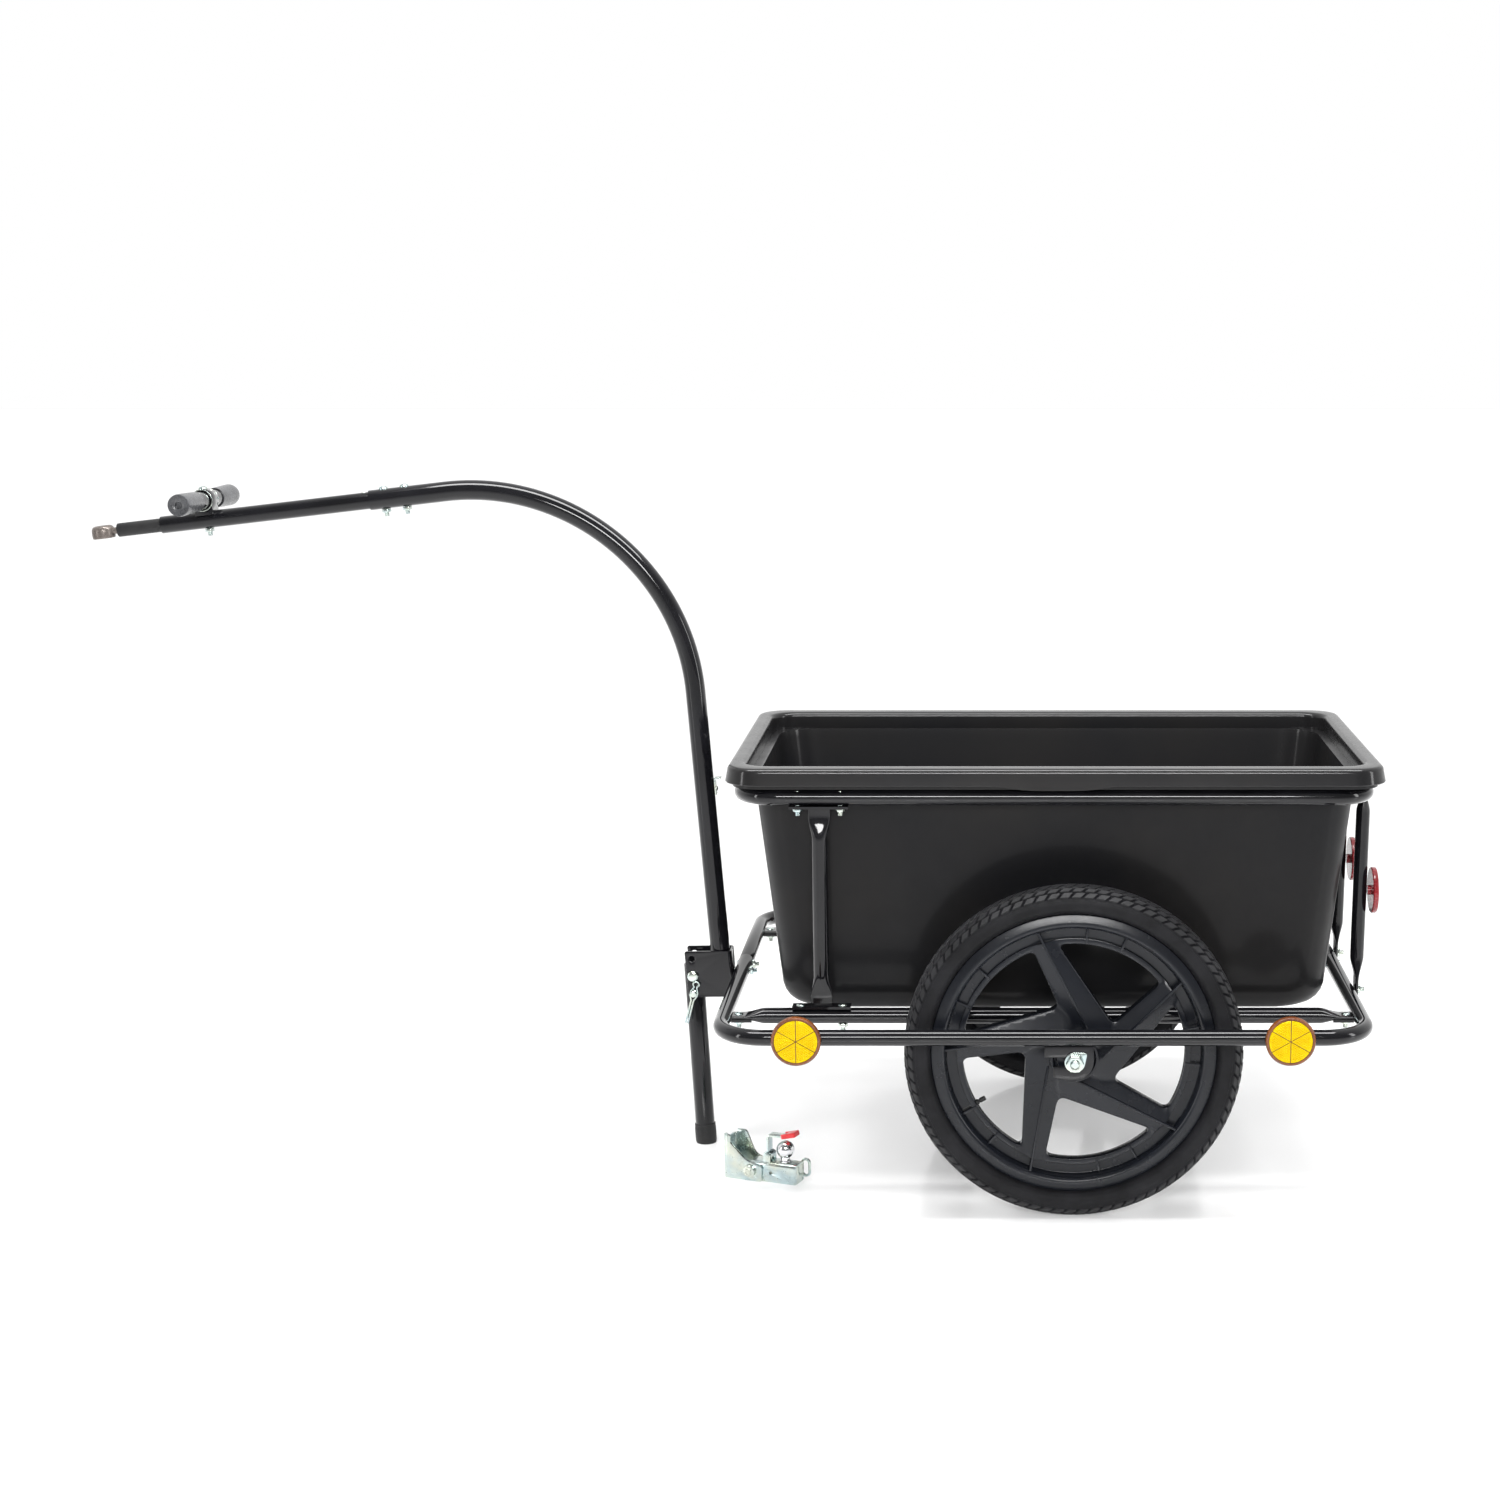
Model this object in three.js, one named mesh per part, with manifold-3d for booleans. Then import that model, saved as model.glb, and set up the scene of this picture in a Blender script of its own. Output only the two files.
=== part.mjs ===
// A two-wheeled cargo trailer for a bicycle, with its curved drawbar, stand leg, tub and loose seat post hitch.
// Millimetres, +Z up. The trailer travels towards -X, so the drawbar points to -X and the left side is at -Y.
// Until the last lines, X is measured from the wheel axle, Y from the middle of the trailer and Z from the floor.

import * as THREE from "three";
import { mergeVertices } from "three/addons/utils/BufferGeometryUtils.js";
import Module from "manifold-3d";

// Clearances and facets
const seatGap = 0.3;
const overrun = 4;
const mergeDistance = 0.001;
const tubeSides = 12;
const boltSides = 8;
const plateCurveSteps = 6;
const bendSteps = 4;
const hexSides = 6;

// Frame tube, used for the rings, the rails and the uprights
const frameTubeRadius = 9.5;
const frameTubeWall = 1.5;
const swageLength = 36;
const swageTaper = 3;
const ringJointY = 45;

// Tub in plan. Its walls lean out from the foot to the upper ring, and a ledge and a flange overhang them.
const tubCentreX = -21;
const tubWall = 3.5;
const tubWallTopHalfLength = 357.5;
const tubWallTopHalfWidth = 204.5;
const tubEndDraft = 25;
const tubSideDraft = 25.5;
const tubFootHalfLength = tubWallTopHalfLength - tubEndDraft;
const tubFootHalfWidth = tubWallTopHalfWidth - tubSideDraft;
const tubFloorInset = 24;
const tubWallCornerRadius = 52;
const tubCornerSteps = 4;
const rimEndLedge = 9.5;
const rimSideLedge = 0.5;
const rimEndFlange = 24;
const rimSideFlange = 30;
const rimHalfLength = tubWallTopHalfLength + rimEndLedge + rimEndFlange;
const rimSideHalfWidth = tubWallTopHalfWidth + rimSideLedge + rimSideFlange;
const rimSkirtWall = 3;
const rimRounding = 6;
const rimCornerRadius = 42;
const gripLipHalfLength = 60;
const gripLipDrop = 6;

// Upper ring, which goes round the tub's wall and carries its ledge
const upperRingHeight = 496;
const ringFrontClearance = 5;
const ringRearClearance = 3;
const ringSideClearance = 8;
const upperRingFront = tubWallTopHalfLength + ringFrontClearance + frameTubeRadius - tubCentreX;
const upperRingRear = tubWallTopHalfLength + ringRearClearance + frameTubeRadius + tubCentreX;
const upperRingHalfWidth = tubWallTopHalfWidth + ringSideClearance + frameTubeRadius;
const upperRingBendRadius = 45;

// Tub in height, hung from the upper ring
const rimRise = 35;
const rimSkirtHeight = 20;
const tubDepth = 298;
const tubFootRise = 26;
const tubWallTopDrop = 10;
const tubTop = upperRingHeight + rimRise;
const rimSkirtBottom = tubTop - rimSkirtHeight;
const tubBottom = tubTop - tubDepth;
const tubFootHeight = tubBottom + tubFootRise;
const tubWallTopHeight = upperRingHeight - tubWallTopDrop;

// Wheels
const wheelRadius = 200;
const tyreHalfWidth = 23;
const treadHalfWidth = 17;
const treadShoulderDrop = 9;
const tyreShoulderInset = 2;
const tyreWall = 4;
const treadThickness = 7;
const tyreHeight = 32;
const beadHeight = 9;
const rimFlangeHeight = 11;
const rimFlangeRadius = wheelRadius - tyreHeight;
const rimFloorRadius = rimFlangeRadius - rimFlangeHeight;
const rimHalfWidth = 18;
const rimFlangeThickness = 3.5;
const rimFloorThickness = 6;
const rimGrooveDepth = 19;
const discRadius = rimFloorRadius - rimGrooveDepth;
const discHalfThickness = 7.5;
const grooveWebHalfThickness = 3;
const windowBorder = 7;
const windowRadius = discRadius - windowBorder;
const spokeCount = 5;
const spokeFirstAngle = -28;
const spokeLeadSkew = -1.7;
const spokeTrailSkew = 7.8;
const spokeLeadOffset = 6.7;
const spokeTrailOffset = 56.5;
const windowCornerRadius = 8;
const windowInnerCornerRadius = 11;
const windowArcSteps = 3;
const crestOffset = 27.4;
const crestSkew = 0.8;
const crestHeight = 6.5;
const crestHalfBase = 9;
const crestInnerReach = 4;
const crestOuterReach = 9;
const gussetThickness = 3;
const gussetCount = 2;
const gussetFirstAngle = 22;
const gussetSpacing = 18;
const hubRadius = 28;
const hubSides = 16;
const hubBoreRadius = 9;
const wheelSegments = 30;
const tyreSegments = 30;
const innerTubeClearance = 1.2;
const valveRadius = 3.4;
const valveHoleRadius = 4.2;
const valveReach = 10;
const valveAngle = -151;

// Bumper ring and rails. The rails pass beside the tub's foot, and each wheel runs between a rail and the bumper.
const railRise = 28.6;
const railTubClearance = 23.5;
const wheelFromRail = 50;
const bumperFromWheel = 45;
const bumperLead = 23;
const bumperRearSet = 5;
const railHeight = wheelRadius + railRise;
const railHalfSpacing = tubFootHalfWidth + railTubClearance + frameTubeRadius;
const wheelPlane = railHalfSpacing + wheelFromRail;
const bumperHalfWidth = wheelPlane + bumperFromWheel;
const bumperFront = upperRingFront + bumperLead;
const bumperRear = upperRingRear - bumperRearSet;
const bumperBendRadius = 57;
const hubEndClearance = 0.5;
const hubHalfLength = bumperFromWheel - frameTubeRadius - hubEndClearance;
const railEndFlatLength = 24;
const railEndTaper = 32;
const lugLength = 24;
const lugThickness = 3;
const flatHalfWidth = 13;
const flatHalfThickness = 2;
const flatBoreShare = 0.3;

// Side uprights
const uprightInset = 48.5;
const uprightX = upperRingBendRadius + uprightInset - upperRingFront;
const uprightFlat = 10;
const uprightTaper = 30;
const uprightPlateLength = 70;
const uprightPlateWidth = 18;
const uprightPlateThickness = 3;
const drainRadius = 1.6;

// Rear uprights
const rearUprightY = 92;
const rearUprightRadius = 8.5;
const rearUprightFlat = 22;
const rearUprightTaper = 30;
const rearUprightOverlap = 9;

// Hub sleeves and axles
const hubSleeveClearance = 0.3;
const axleRadius = 5;
const axleHeadRadius = 9.2;
const axleHeadLength = 6.4;
const axleEndLength = 14;
const axleNutRadius = 9.2;
const axleNutLength = 8;
const tabWasherThickness = 2;
const tabWasherRadius = 12;
const tabWasherReach = 17;
const tabWasherTipRadius = 3;
const tabWasherTurn = 38;

// Dropout plates
const axleSlotClearance = 0.4;
const dropoutThickness = 4;
const dropoutEndRadius = 22;
const dropoutSlotHalf = axleRadius + axleSlotClearance;
const dropoutUpperReach = 35;
const dropoutLowerReach = 25;
const dropoutLowerArm = 13;

// Drawbar
const drawbarRadius = 12.5;
const drawbarWall = 1.5;
const drawbarLean = 4.27;
const drawbarDroop = 6.7;
const drawbarBendRadius = 274;
const drawbarBendSteps = 11;
const drawbarApexHeight = 841.7;
const drawbarTopRun = 94;
const frontTubeWall = 1.5;
const frontTubeInsert = 60;
const frontTubeLength = 262;
const frontTubeRadius = drawbarRadius - drawbarWall - seatGap;
const jointBoltRadius = 3;
const jointBoltHeadRadius = 5;
const jointBoltHeadLength = 3;
const jointBoltFirst = 18;
const jointBoltSpacing = 26;
const jointNutRadius = 5;
const jointNutLength = 5;
const jointBoltTip = 6;

// Stand, which is cut from the drawbar's tube
const standRadius = drawbarRadius;
const standWall = drawbarWall;
const standPivotForward = 36;
const standPivotDrop = 3.6;
const standPivotHeight = railHeight - standPivotDrop;
const standTopReach = 13;
const standTilt = 2.83;
const standFootHeight = 26;
const standFootWall = 1.5;
const standFootSole = 3;
const pivotBoltRadius = 5;
const pivotHeadRadius = 6;
const pivotHeadLength = 3;
const lockPinDrop = 22.4;
const lockPinRadius = 4;
const lockPinNeckRadius = 2.8;
const lockPinNeckLength = 4;
const lockPinHeadRadius = 7;
const lockPinHeadLength = 3;
const lockPinTip = 3;
const lockSlotTurn = 62;
const clipWireRadius = 1.2;
const clipLegLength = 40;
const clipLegGap = 0.6;
const clipHump = 4.5;
const clipLoopRadius = 4;
const clipLoopReach = 12;
const clipTurn = 14.3;
const clipSides = 6;

// Drawbar bracket and its bolt. The bracket reaches round the drawbar, the pivot and both lock pin holes.
const bracketThickness = 3;
const bracketSideClearance = 0.8;
const bracketLowEdge = 5.6;
const bracketHighEdge = 9.6;
const bracketFrontEdge = 7.9;
const drawbarSetForward = bracketThickness + 2 * seatGap + drawbarRadius;
const bracketReach = drawbarSetForward + standPivotForward + bracketFrontEdge;
const bracketFootHeight = standPivotHeight - lockPinDrop - bracketLowEdge;
const bracketTop = standPivotHeight + lockPinDrop + bracketHighEdge;
const drawbarFootLift = 3;
const drawbarFootHeight = bracketFootHeight + drawbarFootLift;
const drawbarBoltRadius = 3;
const drawbarBoltHeadRadius = 6;
const drawbarBoltHeadLength = 3;
const drawbarBoltNutLength = 5;
const drawbarBoltTip = 3;

// Drawbar hook
const hookDrop = 131.1;
const hookLength = 22;
const hookWidth = 12;
const hookThickness = 2;
const hookLip = 9;

// Coupling sleeve and socket
const sleeveClearance = 0.7;
const sleeveRadius = frontTubeRadius - frontTubeWall - sleeveClearance;
const sleeveLength = 55;
const sleevePlugLength = 25;
const neckRadius = 4.2;
const neckLength = 5;
const neckPlugLength = 18;
const socketRadius = 13.8;
const socketHeight = 16;
const socketRounding = 4;
const socketWall = 2.2;
const socketSegments = 14;

// Handle
const handlePlugClearance = 33;
const handleSetForward = frontTubeLength - sleevePlugLength - handlePlugClearance;
const handleTubeRadius = 11;
const handleTubeWall = 1.5;
const handleHalfLength = 96;
const gripEndRadius = 13.6;
const gripNeckRadius = 12.4;
const gripLength = 62;
const gripEnd = 5;
const clampHalfWidth = 13;
const clampWall = 2.2;
const clampHalfLength = 11;
const clampSaddleDrop = 6;

// Reflectors
const reflectorRadius = 29;
const reflectorLensRadius = 25;
const reflectorThickness = 6;
const reflectorLensThickness = 1.5;
const frontReflectorInset = 36.7;
const rearReflectorInset = 38.7;
const reflectorFrontX = bumperBendRadius + frontReflectorInset - bumperFront;
const reflectorRearX = bumperRear - bumperBendRadius - rearReflectorInset;
const redReflectorRadius = 28.5;
const redLensRadius = 25;
const redReflectorRise = 126.4;
const redReflectorStem = 4;
const sideReflectorStem = 1;
const reflectorStemRadius = 6;
const reflectorSegments = 14;

// Seat post hitch, which stands loose on the floor
const hitchX = -428;
const hitchY = -134;
const hitchYaw = -21;
const hitchLength = 97;
const hitchWidth = 24;
const hitchChannelHeight = 25;
const hitchChannelStart = 34;
const hitchSheet = 3;
const hitchLoopLength = 13;
const hitchLoopHeight = 24;
const hitchLoopLift = 5;
const hitchLoopWall = 3;
const jawHeight = 50;
const jawBackHeight = 55;
const jawCrest = 5;
const jawBackCrest = 18;
const jawReach = 52;
const jawTabHeight = 6;
const jawTabLength = 9;
const hitchBallRadius = 11.3;
const hitchBallInset = 19;
const hitchBallX = hitchLength - hitchBallInset;
const hitchNeckRadius = 6;
const hitchNeckHeight = 6;
const hitchStudRadius = 4;
const ballSegments = 12;
const latchSheet = 3;
const latchWidth = 12;
const latchBallGap = 9.2;
const latchBallClearance = 3.8;
const latchX = hitchBallX - hitchBallRadius - latchBallGap - latchSheet / 2;
const latchPlateY = (hitchWidth - latchWidth) / 2;
const latchReach = 19;
const latchPinRadius = 2.5;
const latchEarHeight = 6.2;
const latchTongueLength = 9;
const latchTipLength = 21;
const latchTipWall = 1.5;
const latchTipHeight = 6;
const latchTipRise = 14;
const hitchBoltX = 36;
const hitchBoltHeight = 13;
const hitchBoltRadius = 4;
const hitchBoltHeadRadius = 7.5;
const hitchBoltHeadLength = 4;

const wasm = await Module();
wasm.setup();

const radians = THREE.MathUtils.degToRad;
const X = new THREE.Vector3(1, 0, 0);
const Y = new THREE.Vector3(0, 1, 0);
const Z = new THREE.Vector3(0, 0, 1);
const vector = (x, y, z) => new THREE.Vector3(x, y, z);
const flatPoint = (x, y) => new THREE.Vector2(x, y);

const blackPaint = new THREE.MeshStandardMaterial({ color: 0x17171a, roughness: 0.25, metalness: 0.2 });
const tubPlastic = new THREE.MeshStandardMaterial({ color: 0x141414, roughness: 0.4, metalness: 0 });
const wheelPlastic = new THREE.MeshStandardMaterial({ color: 0x22252b, roughness: 0.5, metalness: 0 });
const rubber = new THREE.MeshStandardMaterial({ color: 0x1b1b1b, roughness: 0.9, metalness: 0 });
const zinc = new THREE.MeshStandardMaterial({ color: 0xb9c3c6, roughness: 0.3, metalness: 1 });
const chrome = new THREE.MeshStandardMaterial({ color: 0xd8d8dc, roughness: 0.1, metalness: 1 });
const gripVinyl = new THREE.MeshStandardMaterial({ color: 0x5c6066, roughness: 0.35, metalness: 0 });
const amber = new THREE.MeshStandardMaterial({ color: 0xf5a800, roughness: 0.25, metalness: 0 });
const red = new THREE.MeshStandardMaterial({ color: 0xc01824, roughness: 0.25, metalness: 0 });

// A closed mesh as a solid that can be cut and joined.
function solidOf(geometry) {
  const loose = geometry.index ? geometry.toNonIndexed() : geometry;
  const bare = new THREE.BufferGeometry();
  bare.setAttribute("position", loose.getAttribute("position"));
  const merged = mergeVertices(bare, mergeDistance);
  const vertProperties = merged.attributes.position.array;
  const triVerts = new Uint32Array(merged.index.array);
  return new wasm.Manifold(new wasm.Mesh({ numProp: 3, vertProperties, triVerts }));
}

// A solid back as a three.js geometry.
function geometryOf(solid) {
  const mesh = solid.getMesh();
  const geometry = new THREE.BufferGeometry();
  geometry.setAttribute("position", new THREE.BufferAttribute(new Float32Array(mesh.vertProperties), 3));
  geometry.setIndex(new THREE.BufferAttribute(new Uint32Array(mesh.triVerts), 1));
  geometry.computeVertexNormals();
  return geometry;
}

const join = (...pieces) => geometryOf(pieces.map(solidOf).reduce((whole, next) => whole.add(next)));
const cut = (body, ...tools) =>
  geometryOf(tools.map(solidOf).reduce((whole, next) => whole.subtract(next), solidOf(body)));

function add(parent, name, geometry, material) {
  const mesh = new THREE.Mesh(geometry, material);
  mesh.name = name;
  parent.add(mesh);
}

function box(lowX, highX, lowY, highY, lowZ, highZ) {
  const geometry = new THREE.BoxGeometry(highX - lowX, highY - lowY, highZ - lowZ);
  return geometry.translate((lowX + highX) / 2, (lowY + highY) / 2, (lowZ + highZ) / 2);
}

// An outline drawn in X and Z, as a plate between two Y values.
function sidePlate(outline, lowY, highY, curveSegments = plateCurveSteps) {
  const shape = outline instanceof THREE.Shape ? outline : new THREE.Shape(outline);
  const geometry = new THREE.ExtrudeGeometry(shape, { depth: highY - lowY, bevelEnabled: false, curveSegments });
  return geometry.rotateX(Math.PI / 2).translate(0, highY, 0);
}

// A closed profile of radius and height, turned about the Y axis. It is walked up its outer side and down its inner.
function turned(profile, segments) {
  const closed = [...profile, profile[0]];
  if (THREE.ShapeUtils.area(profile) < 0) closed.reverse();
  return new THREE.LatheGeometry(closed, segments);
}

// A closed tube through its stations. The section is wide across the path and thick along the normal, and its flats,
// not its corners, lie at the stated half sizes. A station without a bore is solid.
function tubeGeometry(stations, normal, sides = tubeSides) {
  const flatScale = 1 / Math.cos(Math.PI / sides);
  const ring = (station, halfWidth, halfThickness) => {
    const across = normal.clone().cross(station.along).normalize();
    return Array.from({ length: sides }, (_, k) => {
      const angle = ((k + 1 / 2) * 2 * Math.PI) / sides;
      return station.point
        .clone()
        .addScaledVector(across, halfWidth * flatScale * Math.cos(angle))
        .addScaledVector(normal, halfThickness * flatScale * Math.sin(angle));
    });
  };
  const skin = [];
  const face = (a, b, c, d) => skin.push(a, b, c, a, c, d);
  const outer = stations.map((s) => ring(s, s.halfWidth, s.halfThickness));
  const hollow = stations[0].boreWidth !== undefined;
  const inner = hollow ? stations.map((s) => ring(s, s.boreWidth, s.boreThickness)) : [];
  const last = stations.length - 1;
  for (let k = 0; k < sides; k++) {
    const next = (k + 1) % sides;
    for (let i = 0; i < last; i++) {
      face(outer[i][k], outer[i][next], outer[i + 1][next], outer[i + 1][k]);
      if (hollow) face(inner[i][next], inner[i][k], inner[i + 1][k], inner[i + 1][next]);
    }
    if (hollow) {
      face(outer[0][next], outer[0][k], inner[0][k], inner[0][next]);
      face(outer[last][k], outer[last][next], inner[last][next], inner[last][k]);
    } else {
      skin.push(stations[0].point, outer[0][next], outer[0][k]);
      skin.push(stations[last].point, outer[last][k], outer[last][next]);
    }
  }
  return new THREE.BufferGeometry().setFromPoints(skin);
}

const solidSize = (radius) => ({ halfWidth: radius, halfThickness: radius });
const pipeSize = (radius, wall) => ({ ...solidSize(radius), boreWidth: radius - wall, boreThickness: radius - wall });

// A straight solid bar and a straight pipe between two points, with flats along the normal.
function straight(from, to, normal, size, sides) {
  const along = to.clone().sub(from).normalize();
  return tubeGeometry([{ point: from, along, ...size }, { point: to, along, ...size }], normal, sides);
}
const bar = (from, to, normal, radius, sides = boltSides) =>
  straight(from, to, normal, solidSize(radius), sides);
const pipe = (from, to, normal, radius, wall) => straight(from, to, normal, pipeSize(radius, wall));

// Stations along straight runs that are joined by round bends.
function bentPath(corners, bendRadius, steps = bendSteps) {
  return corners.flatMap((corner, i) => {
    const before = corners[i - 1];
    const after = corners[i + 1];
    if (!before || !after) {
      const run = before ? corner.clone().sub(before) : after.clone().sub(corner);
      return [{ point: corner.clone(), along: run.normalize() }];
    }
    const arriving = corner.clone().sub(before).normalize();
    const leaving = after.clone().sub(corner).normalize();
    const turn = arriving.angleTo(leaving);
    const axis = arriving.clone().cross(leaving).normalize();
    const start = corner.clone().addScaledVector(arriving, -bendRadius * Math.tan(turn / 2));
    const centre = start.clone().addScaledVector(axis.clone().cross(arriving), bendRadius);
    return Array.from({ length: steps + 1 }, (_, step) => {
      const angle = (turn * step) / steps;
      const point = start.clone().sub(centre).applyAxisAngle(axis, angle).add(centre);
      return { point, along: arriving.clone().applyAxisAngle(axis, angle) };
    });
  });
}

// A straight tube whose ends are pressed flat along the normal.
function flatEndedTube(from, to, normal, radius, flatLength, taperLength) {
  const along = to.clone().sub(from).normalize();
  const length = from.distanceTo(to);
  const flat = {
    halfWidth: flatHalfWidth,
    halfThickness: flatHalfThickness,
    boreWidth: flatHalfWidth - frameTubeWall,
    boreThickness: flatHalfThickness * flatBoreShare,
  };
  const place = (distance, size) => ({ point: from.clone().addScaledVector(along, distance), along, ...size });
  const round = pipeSize(radius, frameTubeWall);
  const stations = [
    place(0, flat),
    place(flatLength, flat),
    place(flatLength + taperLength, round),
    place(length - flatLength - taperLength, round),
    place(length - flatLength, flat),
    place(length, flat),
  ];
  return tubeGeometry(stations, normal);
}

const trailer = new THREE.Group();
const sides = [
  { name: "left", sign: -1 },
  { name: "right", sign: 1 },
];

// Tube rings in halves. The left half runs past the middle and takes the swaged ends of the right half.
function ringHalf(sign, front, rear, halfWidth, height, bendRadius) {
  const corners = [
    vector(-front, ringJointY, height),
    vector(-front, sign * halfWidth, height),
    vector(rear, sign * halfWidth, height),
    vector(rear, ringJointY, height),
  ];
  const full = pipeSize(frameTubeRadius, frameTubeWall);
  const path = bentPath(corners, bendRadius).map((station) => ({ ...station, ...full }));
  if (sign < 0) return tubeGeometry(path, Z);
  const plug = pipeSize(frameTubeRadius - frameTubeWall - seatGap, frameTubeWall);
  const first = path[0];
  const end = path[path.length - 1];
  const place = (station, distance, size) => ({
    along: station.along,
    point: station.point.clone().addScaledVector(station.along, distance),
    ...size,
  });
  const stations = [
    place(first, -swageLength, plug),
    place(first, seatGap, plug),
    place(first, seatGap + swageTaper, full),
    ...path.slice(1, -1),
    place(end, -seatGap - swageTaper, full),
    place(end, -seatGap, plug),
    place(end, swageLength, plug),
  ];
  return tubeGeometry(stations, Z);
}

// Welded lugs carry the flattened rail ends on the inner sides of the two cross tubes.
function railLug(crossX, inward, y) {
  const top = railHeight - flatHalfThickness - seatGap;
  const root = crossX + inward * (frameTubeRadius - frameTubeWall / 2);
  const tip = crossX + inward * (frameTubeRadius + lugLength);
  const sideY = flatHalfWidth;
  return box(Math.min(root, tip), Math.max(root, tip), y - sideY, y + sideY, top - lugThickness, top);
}

// The drawbar leans forward, and stands inside its bracket in front of the bumper's front tube.
const leanTangent = Math.tan(radians(drawbarLean));
const bracketBackAt = (z) => -bumperFront - frameTubeRadius - seatGap - (z - railHeight) * leanTangent;
const drawbarAxisAt = (z) => bracketBackAt(z) - drawbarSetForward;
const drawbarBoltHeadTop = railHeight + drawbarBoltHeadRadius + seatGap;
const drawbarBoltHeadX = drawbarAxisAt(drawbarBoltHeadTop) - drawbarRadius - 2 * seatGap;
const drawbarBoltNutX = -bumperFront + frameTubeRadius + seatGap;
const alongX = (fromX, toX, radius, sides) =>
  bar(vector(fromX, 0, railHeight), vector(toX, 0, railHeight), Z, radius, sides);
const drawbarBoltHole = alongX(drawbarBoltHeadX - overrun, drawbarBoltNutX + overrun, drawbarBoltRadius + seatGap);

for (const { name, sign } of sides) {
  const half = ringHalf(sign, bumperFront, bumperRear, bumperHalfWidth, railHeight, bumperBendRadius);
  const frontLug = railLug(-bumperFront, 1, sign * railHalfSpacing);
  const rearLug = railLug(bumperRear, -1, sign * railHalfSpacing);
  // The lugs reach only the wall of the tube, so its bore stays open.
  const bumper = join(half, frontLug, rearLug);
  add(trailer, `bumper_${name}`, sign < 0 ? cut(bumper, drawbarBoltHole) : bumper, blackPaint);
}
for (const { name, sign } of sides) {
  const ringSizes = [upperRingFront, upperRingRear, upperRingHalfWidth, upperRingHeight, upperRingBendRadius];
  add(trailer, `upper_ring_${name}`, ringHalf(sign, ...ringSizes), blackPaint);
}

// Rails
for (const { name, sign } of sides) {
  const from = vector(-bumperFront + frameTubeRadius + seatGap, sign * railHalfSpacing, railHeight);
  const to = vector(bumperRear - frameTubeRadius - seatGap, sign * railHalfSpacing, railHeight);
  const rail = flatEndedTube(from, to, Z, frameTubeRadius, railEndFlatLength, railEndTaper);
  add(trailer, `rail_${name}`, rail, blackPaint);
}

// Side uprights stand between the rails and the upper ring, with a bolt plate at each end.
for (const { name, sign } of sides) {
  const footY = sign * railHalfSpacing;
  const headY = sign * upperRingHalfWidth;
  const footZ = railHeight + frameTubeRadius + seatGap;
  const headZ = upperRingHeight - frameTubeRadius - seatGap;
  const plate = (y, lowZ) => {
    const halfLength = uprightPlateLength / 2;
    const halfWidth = uprightPlateWidth / 2;
    const highZ = lowZ + uprightPlateThickness;
    return box(uprightX - halfLength, uprightX + halfLength, y - halfWidth, y + halfWidth, lowZ, highZ);
  };
  const inPlate = uprightPlateThickness / 2;
  const from = vector(uprightX, footY, footZ + inPlate);
  const to = vector(uprightX, headY, headZ - inPlate);
  const normal = X.clone().cross(to.clone().sub(from).normalize()).normalize();
  const tube = flatEndedTube(from, to, normal, frameTubeRadius, uprightFlat, uprightTaper);
  const upright = join(tube, plate(footY, footZ), plate(headY, headZ - uprightPlateThickness));
  // A drain hole through the lower plate keeps the tube open.
  const drain = bar(vector(uprightX, footY, footZ - overrun), vector(uprightX, footY, footZ + overrun), X, drainRadius);
  add(trailer, `side_upright_${name}`, cut(upright, drain), blackPaint);
}

// Rear uprights are bolted flat to the outer faces of the two rear tubes.
const rearFootX = bumperRear + frameTubeRadius + seatGap + flatHalfThickness;
const rearHeadX = upperRingRear + frameTubeRadius + seatGap + flatHalfThickness;
for (const { name, sign } of sides) {
  const from = vector(rearFootX, sign * rearUprightY, railHeight - rearUprightOverlap);
  const to = vector(rearHeadX, sign * rearUprightY, upperRingHeight + rearUprightOverlap - seatGap);
  const normal = to.clone().sub(from).normalize().cross(Y).normalize();
  const upright = flatEndedTube(from, to, normal, rearUprightRadius, rearUprightFlat, rearUprightTaper);
  add(trailer, `rear_upright_${name}`, upright, blackPaint);
}

// Reflectors are discs on a back plate. The red ones stand on short stems behind the rear uprights.
function reflectorGeometry(radius, lensRadius, stem) {
  const profile = [
    flatPoint(0, 0),
    flatPoint(reflectorStemRadius, 0),
    flatPoint(reflectorStemRadius, stem),
    flatPoint(radius, stem),
    flatPoint(radius, stem + reflectorThickness),
    flatPoint(lensRadius, stem + reflectorThickness + reflectorLensThickness),
    flatPoint(0, stem + reflectorThickness + reflectorLensThickness),
  ];
  return new THREE.LatheGeometry(profile, reflectorSegments);
}
const redReflectorHeight = railHeight + redReflectorRise;
const redHeightRatio = redReflectorRise / (upperRingHeight - railHeight);
const rearUprightMidX = rearFootX + (rearHeadX - rearFootX) * redHeightRatio;
for (const { name, sign } of sides) {
  const disc = reflectorGeometry(redReflectorRadius, redLensRadius, redReflectorStem).rotateZ(-Math.PI / 2);
  const x = rearUprightMidX + rearUprightRadius + 2 * seatGap;
  disc.translate(x, sign * rearUprightY, redReflectorHeight);
  add(trailer, `rear_reflector_${name}`, disc, red);
}
const sideReflectorPlaces = [
  { place: "front", x: reflectorFrontX },
  { place: "rear", x: reflectorRearX },
];
for (const { name, sign } of sides) {
  for (const { place, x } of sideReflectorPlaces) {
    const disc = reflectorGeometry(reflectorRadius, reflectorLensRadius, sideReflectorStem);
    if (sign < 0) disc.rotateX(Math.PI);
    disc.translate(x, sign * (bumperHalfWidth + frameTubeRadius + seatGap), railHeight);
    add(trailer, `side_reflector_${place}_${name}`, disc, amber);
  }
}

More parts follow.
